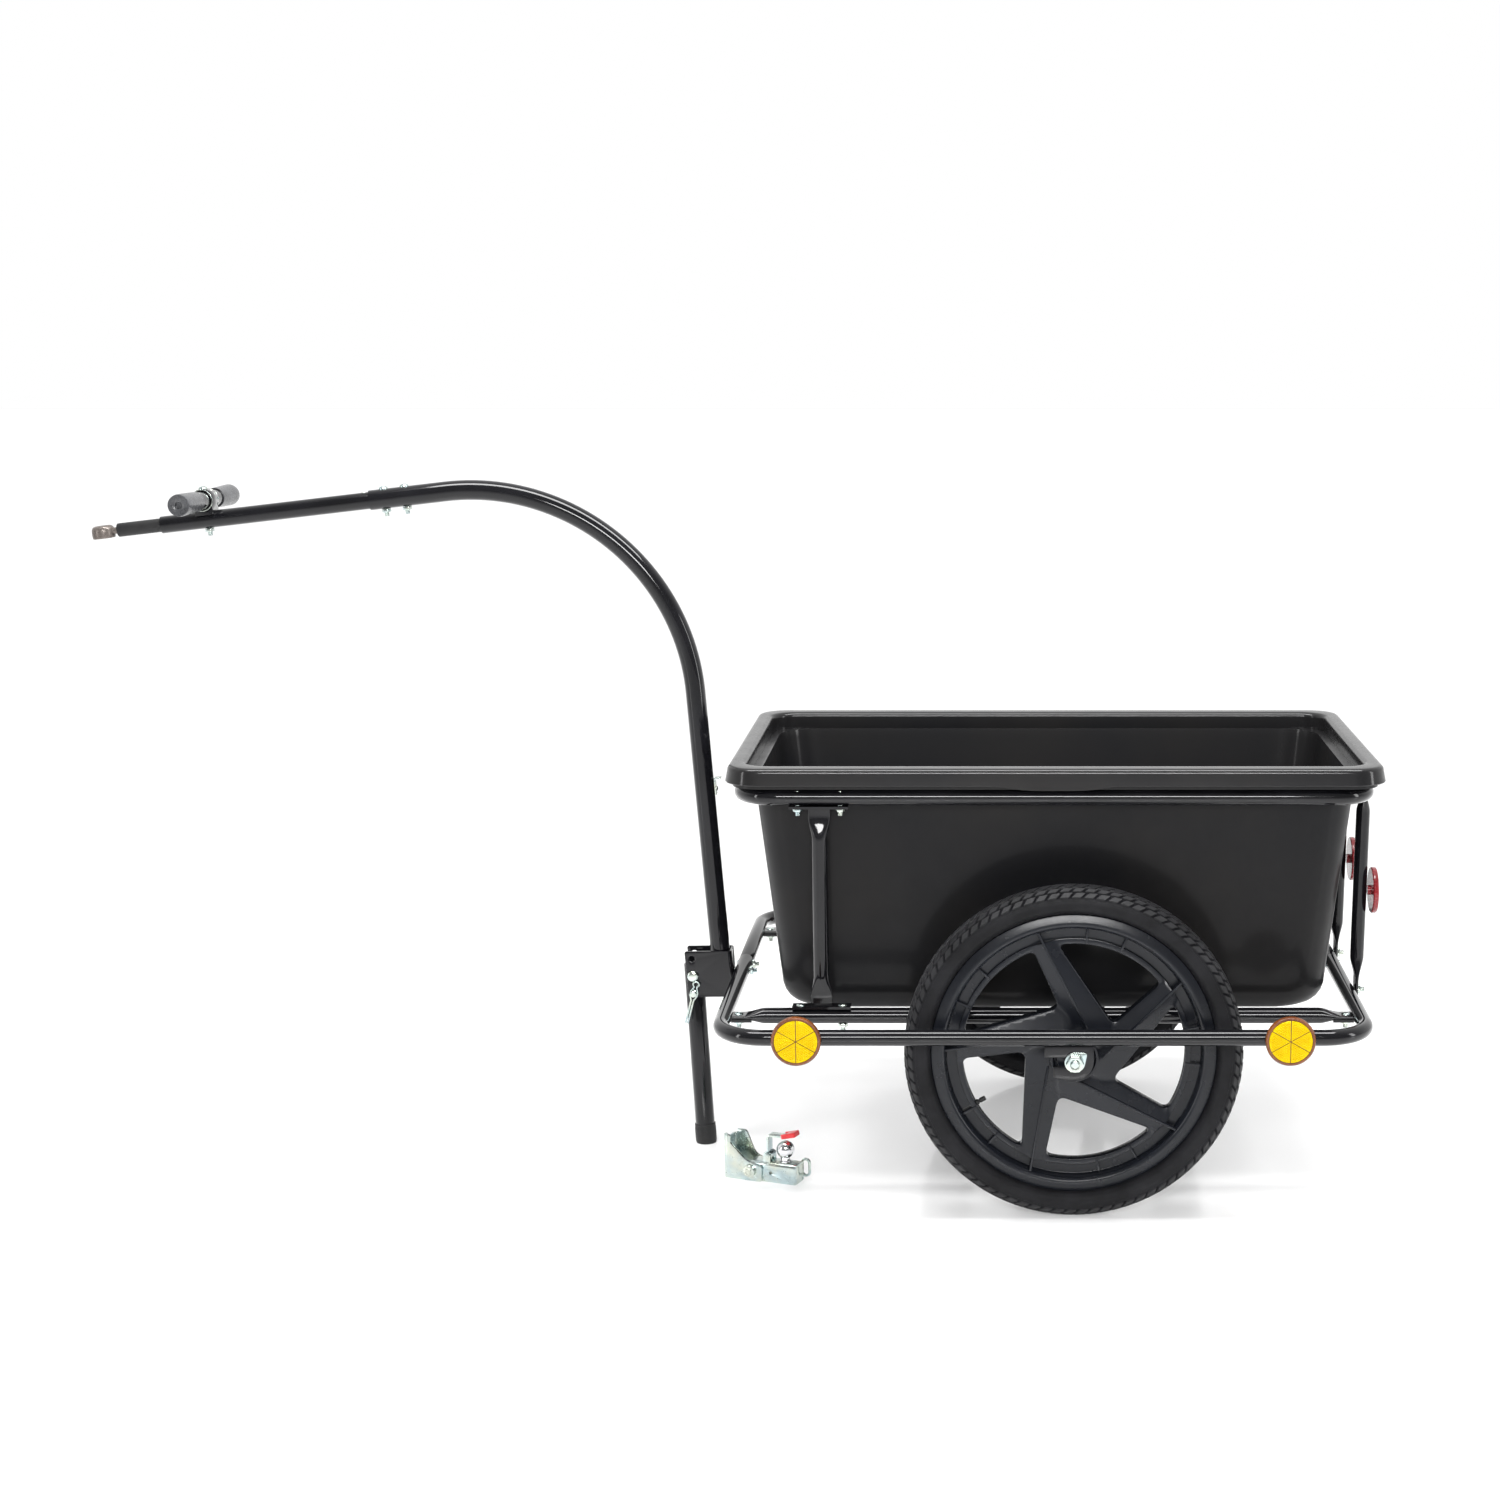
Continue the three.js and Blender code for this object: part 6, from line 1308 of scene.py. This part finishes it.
wire_path = bent_path(set_at(clip_place, np.column_stack([wire_line, 0 * wire_line[:, 0]])), clip_bend, steps=4)
plated("pin_clip", [capped(rings_along(wire_path, along_y, clip_wire, sides=12))], "lock_clip")

# Tub: one blow-moulded skin of black plastic with draughted walls, a ledge that sits on the upper ring, and a
# broad flange that rolls over into a skirt. A shallow lip under each long side gives the fingers a hold.
tub_plastic = surface("moulded black plastic", (0.0078, 0.0079, 0.0090), (0.0115, 0.0108, 0.0108), 0.42,
                      specular=0.1, coat=0.7, grain=1500, grain_depth=0.004 * mm, patch=6,
                      waves=((26, 3, 2), 0.7 * mm))
# The rim comes out of the mould glossier than the walls, so the gloss grows with the height above the floor.
gloss_heights = (0.5, 0.512)
wall_to_rim_gloss = (0.14, 0.72)
tub_nodes = tub_plastic.node_tree
tub_shader = tub_nodes.nodes["Principled BSDF"]
tub_shader.inputs["Coat IOR"].default_value = 1.45
tub_shader.inputs["Coat Roughness"].default_value = 0.12
height = tub_nodes.nodes.new("ShaderNodeSeparateXYZ")
tub_nodes.links.new(tub_nodes.nodes.new("ShaderNodeTexCoord").outputs["Object"], height.inputs["Vector"])
gloss = map_range(tub_nodes, height.outputs["Z"], gloss_heights, wall_to_rim_gloss)
tub_nodes.links.new(gloss, tub_shader.inputs["Coat Weight"])
tub_centre = np.array([axle_x - 21 * mm, 0.0])
tub_wall = 3.5 * mm
wall_top = np.array([357.5, 204.5]) * mm
wall_foot = np.array([332.5, 179]) * mm
wall_top_z = 486 * mm
wall_foot_z = 259 * mm
tub_bottom_z = 224 * mm
tub_top_z = 531 * mm
rim_size = np.array([391, 235]) * mm
rim_corner = 42 * mm
rim_round = 6 * mm
rim_flange_size = np.array([24, 30]) * mm
skirt_bottom_z = 511 * mm
skirt_wall = 3 * mm
skirt_draught = 2.6 * mm
skirt_edge, skirt_bevel = 1 * mm, 0.5 * mm
lip_half, lip_drop = 72 * mm, 5 * mm
flare_share = skirt_draught / (tub_top_z - rim_round - skirt_bottom_z - skirt_edge)
wall_corner = 52 * mm
floor_inset = 24 * mm
least_corner = 2 * mm
side_tolerance = 1 * mm
corner_steps = 14
run_steps = 72
bend_points, wall_levels = 7, 8
ledge_bottom = upper_z + tube_radius + fine_gap
ledge_top = ledge_bottom + tub_wall
ledge_step = 1 * mm
opening_size = rim_size - rim_flange_size
opening_corner = rim_corner - rim_flange_size[0] / 2


def level(size, corner_radius, z, lip=0.0):
    """A loop round the tub at one height: a rounded rectangle of the given half sizes, whose quarter arcs are
    joined by even straight runs. A lip lets the middle of each long side sag and flare like the skirt. The
    sag is the lip times the square of 1 less the fourth power of the distance over the lip's half length."""
    size, radius = np.asarray(size, float), max(corner_radius, least_corner)
    quarters = np.arange(4)
    signs = np.stack([np.where(np.isin(quarters, (0, 3)), 1, -1), np.where(quarters < 2, 1, -1)], axis=1)
    angle = quarters[:, None] * pi / 2 + np.linspace(0, pi / 2, corner_steps + 1)
    arcs = (signs * (size - radius))[:, None] + radius * np.stack([np.cos(angle), np.sin(angle)], axis=-1)
    run = np.linspace(0, 1, run_steps + 1)[1:-1, None]
    runs = arcs[:, -1:] + (np.roll(arcs[:, :1], -1, 0) - arcs[:, -1:]) * run
    loop = np.concatenate([arcs, runs], axis=1).reshape(-1, 2)
    on_side = np.abs(loop[:, 1]) > size[1] - side_tolerance
    sag = lip * np.clip(1 - (loop[:, 0] / lip_half) ** 4, 0, 1) ** 2 * on_side
    loop[:, 1] += np.sign(loop[:, 1]) * sag * flare_share
    return np.column_stack([loop + tub_centre, z - sag])


def wall_size(z):
    """Half length and half width of the tub's outer wall at a height, straight from foot to top."""
    return wall_foot + (wall_top - wall_foot) * (z - wall_foot_z) / (wall_top_z - wall_foot_z)


def tub_shell():
    """The tub's skin from the middle of its inner floor, up inside, over the rim and down the outside."""
    loops = []
    inner_floor = tub_bottom_z + tub_wall
    bend = np.linspace(0, pi / 2, bend_points)
    for angle in bend:
        size = wall_size(wall_foot_z + tub_wall) - tub_wall - floor_inset * (1 - sin(angle))
        loops.append(level(size, wall_corner - tub_wall, inner_floor + floor_inset * (1 - cos(angle))))
    for z in np.linspace(wall_foot_z + tub_wall, ledge_top, wall_levels)[1:]:
        loops.append(level(wall_size(z) - tub_wall, wall_corner - tub_wall, z))
    for z in (ledge_top, ledge_top + ledge_step, tub_top_z - rim_round):
        loops.append(level(opening_size, opening_corner, z))
    for angle in bend[1:]:
        out = rim_round * (1 - cos(angle))
        loops.append(level(opening_size + out, opening_corner + out, tub_top_z - rim_round * (1 - sin(angle))))
    for angle in bend:
        out = rim_round * (1 - sin(angle)) + skirt_draught
        loops.append(level(rim_size - out, rim_corner - out, tub_top_z - rim_round * (1 - cos(angle))))
    loops.append(level(rim_size, rim_corner, skirt_bottom_z + skirt_edge, lip_drop))
    loops.append(level(rim_size - skirt_bevel, rim_corner, skirt_bottom_z, lip_drop))
    loops.append(level(rim_size - skirt_wall, rim_corner - skirt_wall, skirt_bottom_z, lip_drop))
    under_rim = ((skirt_wall + skirt_draught, tub_top_z - rim_round),
                 (rim_round + skirt_draught, tub_top_z - tub_wall))
    for inset, z in under_rim:
        loops.append(level(rim_size - inset, rim_corner - inset, z))
    loops.append(level(opening_size + rim_round, opening_corner + rim_round, tub_top_z - tub_wall))
    for z in (tub_top_z - rim_round, ledge_top):
        loops.append(level(opening_size + tub_wall, opening_corner + tub_wall, z))
    ledge_in = skirt_wall + rim_round
    for z in (ledge_top, ledge_bottom):
        loops.append(level(rim_size - ledge_in, rim_corner - ledge_in, z))
    for z in np.linspace(ledge_bottom, wall_foot_z, wall_levels):
        loops.append(level(wall_size(z), wall_corner, z))
    for angle in bend[::-1][1:]:
        size = wall_foot - floor_inset * (1 - sin(angle))
        loops.append(level(size, wall_corner, tub_bottom_z + (wall_foot_z - tub_bottom_z) * (1 - cos(angle))))
    return capped(np.array(loops))


piece("load_tub", [tub_shell()], tub_plastic, "tub", ["tub"])

# Reflectors: round moulded cases with a lens of small hexagonal prisms, parted into six sectors. The amber
# ones are screwed to the bumper tube, and the red ones stand on stems behind the rear uprights.
amber_case = surface("amber case", (0.13, 0.035, 0.008), (0.2, 0.06, 0.012), 0.25, coat=0.3, grain=1500,
                     patch=60)
amber_lens = surface("amber lens", (0.76, 0.53, 0.003), (0.68, 0.45, 0.002), 0.16, specular=0.7, grain=1800,
                     grain_depth=0.006 * mm, patch=90)
amber_lens.node_tree.nodes["Principled BSDF"].inputs["Specular Tint"].default_value = (1, 0.7, 0.08, 1)
red_case = surface("red case", (0.2, 0.008, 0.012), (0.3, 0.012, 0.018), 0.25, coat=0.3, grain=1500, patch=60)
red_lens = surface("red lens", (0.72, 0.012, 0.02), (0.55, 0.008, 0.014), 0.14, coat=0.6, grain=1800,
                   grain_depth=0.006 * mm, patch=90)
amber_y, amber_radius, amber_stem = 316.8 * mm, 29 * mm, 1 * mm
red_radius, red_stem = 28.5 * mm, 4 * mm
stem_radius = 6 * mm
case_thickness = 6 * mm
lens_radius = 25 * mm
lens_sink, lens_stand, lens_rounding = 0.9 * mm, 0.9 * mm, 0.4 * mm
prism_pitch = 1.6 * mm
prism_height = 0.8 * mm
prism_margin = 2 * mm
prism_edge_angle = 6
net_tolerance = prism_pitch / 50
sector_gap = 0.45 * mm
sector_turns = np.arange(6) * pi / 3
# The case's corners, each pair as steps from a radius and a height: its back edge, front edge and lens seat.
back_steps = np.array([(-1.2, 0), (0, 1.2)]) * mm
front_steps = np.array([(0, -0.8), (-1, 0.6)]) * mm
seat_steps = np.array([(0.6, 0.8), (0.2, -0.6)]) * mm


def net_points(first, second):
    """Points of a triangular net by two counts: along a row, and from row to row on a slant of 60 degrees."""
    return np.stack([(first + second / 2) * prism_pitch, second * prism_pitch * sqrt(3) / 2], axis=1)


def prism_rise(points):
    """Every third point of the net is the top of a hexagonal prism, unless it lies near the lens's edge."""
    second = np.round(points[:, 1] / (prism_pitch * sqrt(3) / 2))
    first = np.round(points[:, 0] / prism_pitch - second / 2)
    on_net = np.linalg.norm(points - net_points(first, second), axis=1) < net_tolerance
    clear = np.hypot(points[:, 0], points[:, 1]) < lens_radius - prism_margin
    return prism_height * (on_net & clear & ((first - second) % 3 == 0))


def lens_sector(turn):
    """One sixth of the lens: a slice between two radii, each moved in by half of the gap between sectors."""
    half, narrow = pi / 6, np.arcsin(sector_gap / lens_radius)
    angle = np.linspace(turn - half + narrow, turn + half - narrow, arc_points)
    tip = np.array([[cos(turn), sin(turn)]]) * sector_gap / sin(half)
    return np.concatenate([tip, lens_radius * np.stack([np.cos(angle), np.sin(angle)], axis=1)])


def reflector(node, place, radius, stem, case_material, lens_material):
    """A case and its lens, both on the frame."""
    face = stem + case_thickness
    corners = [[(0, 0), (stem_radius, 0), (stem_radius, stem)], back_steps + [radius, stem],
               front_steps + [radius, face], seat_steps + [lens_radius, face], [(0, face + seat_steps[1, 1])]]
    case = turned(np.concatenate(corners), place, segments=72)
    piece(f"{node}_case", [case], case_material, "frame", [node])
    sectors = [plate([lens_sector(turn)], face - lens_sink, face + lens_stand, place, lens_rounding, lens_net,
                     (), prism_rise) for turn in sector_turns]
    piece(f"{node}_lens", sectors, lens_material, "frame", sharp=prism_edge_angle)


lens_net = net_points(*np.mgrid[-24:25, -18:19].reshape(2, -1))
for side_name, side in sides:
    for place_name in ("front", "rear"):
        node = f"side_reflector_{place_name}_{side_name}"
        low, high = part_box(node)
        at = ((low[0] + high[0]) / 2, side * amber_y, bumper_z)
        reflector(node, seat(at, along_y * side), amber_radius, amber_stem, amber_case, amber_lens)
    node = f"rear_reflector_{side_name}"
    low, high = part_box(node)
    at = (low[0], side * rear_upright_y, (low[2] + high[2]) / 2)
    reflector(node, seat(at, along_x), red_radius, red_stem, red_case, red_lens)

# Seat post hitch: zinc-plated plates, pressed and folded, with a chromed ball and a sprung safety latch.
# It stands loose beside the stand leg, on its jaw and its channel, turned a little towards the lens.
hitch_yaw = radians(-21)
hitch_along = np.array([cos(hitch_yaw), sin(hitch_yaw), 0])
hitch_across = np.array([-sin(hitch_yaw), cos(hitch_yaw), 0])
hitch_origin = np.array([axle_x - 428 * mm, -134 * mm, 0])
hitch_side = (hitch_origin, hitch_along, up, hitch_across)
hitch_front = (hitch_origin, hitch_across, up, hitch_along)
hitch_sheet = 3 * mm
hitch_fold = 3 * mm
half_sheet = hitch_sheet / 2
pressed_rounding = 0.4 * mm
channel_start, channel_end, channel_width, channel_height = 34 * mm, 97 * mm, 24 * mm, 25 * mm
channel_corner, end_corner = 2 * mm, 1 * mm
side_hole_radius, side_hole_x, side_hole_z = 2 * mm, 63 * mm, 12 * mm


def on_hitch(along, across, height):
    """A point of the hitch from its own three coordinates."""
    return hitch_origin + hitch_along * along + hitch_across * across + up * height


channel_flat = channel_width / 2 - half_sheet - hitch_fold
channel_across = blank_reach(channel_flat, hitch_fold, channel_height - half_sheet)
channel_outline = [(-channel_across, channel_start), (channel_across, channel_start),
                   (channel_across, channel_end), (-channel_across, channel_end)]
side_hole = (-blank_reach(channel_flat, hitch_fold, channel_height - half_sheet - side_hole_z), side_hole_x)
channel_loops = [softened(channel_outline, channel_corner), circle(side_hole_radius, side_hole)]
channel_blank = plate(channel_loops, -half_sheet, half_sheet, flat_place, sheet_rounding, (),
                      fold_lines(channel_flat, hitch_fold, channel_start, channel_end))
channel_place = (on_hitch(0, channel_width / 2, channel_height - half_sheet), hitch_across, hitch_along, up)
channel_shell = folded(channel_blank, channel_place, channel_flat, hitch_fold)
end_side, end_top = channel_width - hitch_sheet, channel_height - hitch_sheet
end_outline = [(hitch_sheet, 0), (end_side, 0), (end_side, end_top), (hitch_sheet, end_top)]
end_wall = plate([softened(end_outline, end_corner)], channel_end - hitch_sheet, channel_end - fine_gap,
                 hitch_front, pressed_rounding)


def slot_loop(low_x, high_x, low_z, high_z):
    """An upright slot with round ends, between two lengths and two heights."""
    radius, angle = (high_x - low_x) / 2, np.linspace(0, pi, arc_points)
    arc = np.stack([np.cos(angle), np.sin(angle)], axis=1) * radius
    return np.concatenate([arc + [low_x + radius, high_z - radius], [low_x + radius, low_z + radius] - arc])


loop_low, loop_high, loop_wall, loop_gap = 94 * mm, 107 * mm, 3 * mm, 0.1 * mm
loop_foot, loop_head = 5 * mm, 29 * mm
eye_foot, eye_head = 8 * mm, 26 * mm
loop_shell = plate([slot_loop(loop_low, loop_high, loop_foot, loop_head),
                    slot_loop(loop_low + loop_wall, loop_high - loop_wall, eye_foot, eye_head)],
                   channel_width - hitch_sheet + loop_gap, channel_width, hitch_side, sheet_rounding)
latch_x, pin_z, ear_half, ear_foot = 56 * mm, 31.2 * mm, 5 * mm, 20 * mm
ear_faces = (2.7 * mm, 18.3 * mm)
ear_outline = slot_loop(latch_x - ear_half, latch_x + ear_half, ear_foot, pin_z + ear_half)
ears = [plate([ear_outline], low, low + hitch_sheet, hitch_side, sheet_rounding) for low in ear_faces]
latch_pin_axis = (on_hitch(latch_x, 0, pin_z), hitch_along, up, hitch_across)
latch_pin_profile = np.array([(0, 1.6), (3.4, 1.6), (3.4, 2.6), (2.5, 2.8), (2.5, 21.2), (3.4, 21.4),
                              (3.4, 22.4), (0, 22.4)]) * mm
latch_pin = turned(latch_pin_profile, latch_pin_axis, segments=28)
plated("seat_hitch_channel", [channel_shell, end_wall, loop_shell, *ears, latch_pin], "hitch_channel",
       body="hitch")

jaw_middle = channel_width / 2 + fine_gap + half_sheet
jaw_flat = jaw_middle - hitch_fold
bolt_x, bolt_z, jaw_hole = 36 * mm, 13 * mm, 4.3 * mm


def jaw_across(along):
    """How far across the jaw's flat blank a point lies that will stand this far along the hitch."""
    return blank_reach(jaw_flat, hitch_fold, along - half_sheet)


# The jaw's corners: those of its two cheeks by their length along the hitch and their height.
jaw_length, jaw_left_top, jaw_right_top = 52 * mm, 56 * mm, 50 * mm
right_cheek = np.array([(52, 0), (52, 20.5), (31, 25), (18, 55), (5.2, 55), (5.2, 50)]) * mm
between_cheeks = np.array([(-8, 50), (-8, 56)]) * mm
left_cheek = np.array([(9, 56), (9, 46.2), (31, 25), (52, 20.5)]) * mm
jaw_outline = [(-jaw_across(jaw_length), 0), *((jaw_across(along), rise) for along, rise in right_cheek),
               *between_cheeks, *((-jaw_across(along), rise) for along, rise in left_cheek)]
jaw_radii = np.array([3, 3, 4, 8, 4, 1.5, 1, 1, 2, 3, 1, 8, 4]) * mm
fold_spots = jaw_flat + np.linspace(0, hitch_fold * pi / 2, fold_steps + 1)
jaw_lines = [np.array([(-spot, 0), (-spot, jaw_left_top)]) for spot in fold_spots]
jaw_lines += [np.array([(spot, 0), (spot, jaw_right_top)]) for spot in fold_spots]
jaw_holes = [circle(jaw_hole, (side * jaw_across(bolt_x), bolt_z)) for side in (-1, 1)]
jaw_blank = plate([softened(jaw_outline, jaw_radii), *jaw_holes], -half_sheet, half_sheet, flat_place,
                  sheet_rounding, (), jaw_lines)
jaw_place = (on_hitch(half_sheet, channel_width / 2, 0), hitch_across, up, -hitch_along)
plated("seat_hitch_jaw", [folded(jaw_blank, jaw_place, jaw_flat, hitch_fold)], "hitch_jaw", body="hitch")

hitch_bolt_radius, hitch_bolt_bevel = 4 * mm, 0.4 * mm
hitch_nut_radius, hitch_nut_bore = 7.5 * mm, 3.9 * mm
bolt_axis = (on_hitch(bolt_x, channel_width / 2, bolt_z), hitch_along, up, -hitch_across)
bolt_seat = channel_width / 2 + 2 * fine_gap + hitch_sheet
hitch_head = np.array([(0, 0), (7.5, 0), (7.5, 2.6), (6.8, 3.4), (5.2, 3.6), (4.8, 3.2), (3.6, 3.2), (3.2, 3.8),
                       (0, 4.2)]) * mm
hitch_head += [0, bolt_seat]
hitch_nut = hexagon_nut(hitch_nut_radius, hitch_nut_bore, -bolt_seat - nut_height, -bolt_seat, bolt_axis,
                        big_nut_rounding)
hitch_shank = turned(smooth_shank(hitch_bolt_radius, hitch_bolt_bevel, bolt_seat), bolt_axis, segments=28)
plated("seat_hitch_bolt", [turned(hitch_head, bolt_axis, segments=40), hitch_shank, hitch_nut], "hitch_bolt",
       body="hitch")

chrome = surface("polished chrome", (0.8, 0.81, 0.83), (0.84, 0.84, 0.84), 0.07, metallic=1.0, grain=3000,
                 grain_depth=0.004 * mm, patch=40, roughness_span=0.04)
ball_radius, ball_neck, ball_x, ball_rise = 11.3 * mm, 6 * mm, 78 * mm, 6 * mm
ball_points = 28
neck_bottom = channel_height + fine_gap
ball_middle = neck_bottom + ball_rise + sqrt(ball_radius ** 2 - ball_neck ** 2)
ball_angle = np.linspace(np.arcsin(ball_neck / ball_radius), pi, ball_points)
ball_heights = ball_middle - ball_radius * np.cos(ball_angle)
ball_curve = np.stack([ball_radius * np.sin(ball_angle), ball_heights], axis=1)
ball_foot = np.array([(0, -7.3), (4, -7.3), (4, 0), (7.6, 0), (7.6, 1.2), (6, 2)]) * mm + [0, neck_bottom]
ball_place = (on_hitch(ball_x, channel_width / 2, 0), hitch_along, hitch_across, up)
ball = turned(np.concatenate([ball_foot, ball_curve]), ball_place, segments=56)
piece("seat_hitch_ball", [ball], chrome, "hitch", ["hitch_ball"])

# Safety latch: a bent zinc strip that swings over the ball on its pin, with a red vinyl tip pushed on its
# tongue. The tip is flat, and forked where the strip runs into it.
latch_low, latch_high = 6 * mm, 18 * mm
latch_clearance = 3.8 * mm
latch_left = latch_x - half_sheet
latch_top = ball_middle + ball_radius + latch_clearance + hitch_sheet
latch_under = latch_top - hitch_sheet
tongue_length = 9 * mm
tongue_start = latch_left + 19 * mm
tongue_end = tongue_start + tongue_length
tip_slope = radians(14)
tongue_lift = tongue_length * tan(tip_slope)
latch_right = latch_left + hitch_sheet
latch_outline = [(latch_left, pin_z), (latch_right, pin_z), (latch_right, latch_under),
                 (tongue_start, latch_under), (tongue_end, latch_under + tongue_lift),
                 (tongue_end, latch_top + tongue_lift), (tongue_start, latch_top), (latch_left, latch_top)]
latch_radii = np.array([0.5, 0.5, 1, 3, 0.6, 0.6, 3, 5]) * mm
strip_loop = softened(latch_outline, latch_radii, steps=6)
strip = plate([strip_loop], latch_low, latch_high, hitch_side, pressed_rounding)
barrel_bore, barrel_radius, barrel_rounding = 2.8 * mm, 5.8 * mm, 0.5 * mm
barrel_section = pipe_section(barrel_bore, barrel_radius, latch_low, latch_high, barrel_rounding)
barrel = turned(barrel_section, latch_pin_axis, segments=40)
plated("seat_hitch_latch", [strip, barrel], "hitch_latch", body="latch")

red_vinyl = surface("red vinyl", (0.62, 0.012, 0.02), (0.72, 0.03, 0.035), 0.32, coat=0.3, grain=1200, patch=80)
tip_half, tip_rounding = 3 * mm, 0.9 * mm
tip_origin = on_hitch(tongue_start, channel_width / 2, latch_top - half_sheet)
tip_way = hitch_along * cos(tip_slope) + up * sin(tip_slope)
tip_over = up * cos(tip_slope) - hitch_along * sin(tip_slope)
tip_outline = np.array([(1.5, -7.5), (21, -7.5), (21, 7.5), (1.5, 7.5), (2.5, 5), (9, 3), (9, -3),
                        (2.5, -5)]) * mm
tip_radii = np.array([1.5, 1.5, 1.5, 1.5, 1, 2, 2, 1]) * mm
tip_place = (tip_origin, tip_way, hitch_across, tip_over)
tip_shell = plate([softened(tip_outline, tip_radii)], -tip_half, tip_half, tip_place, tip_rounding)
piece("red_latch_tip", [tip_shell], red_vinyl, "latch", ["latch_tip"])
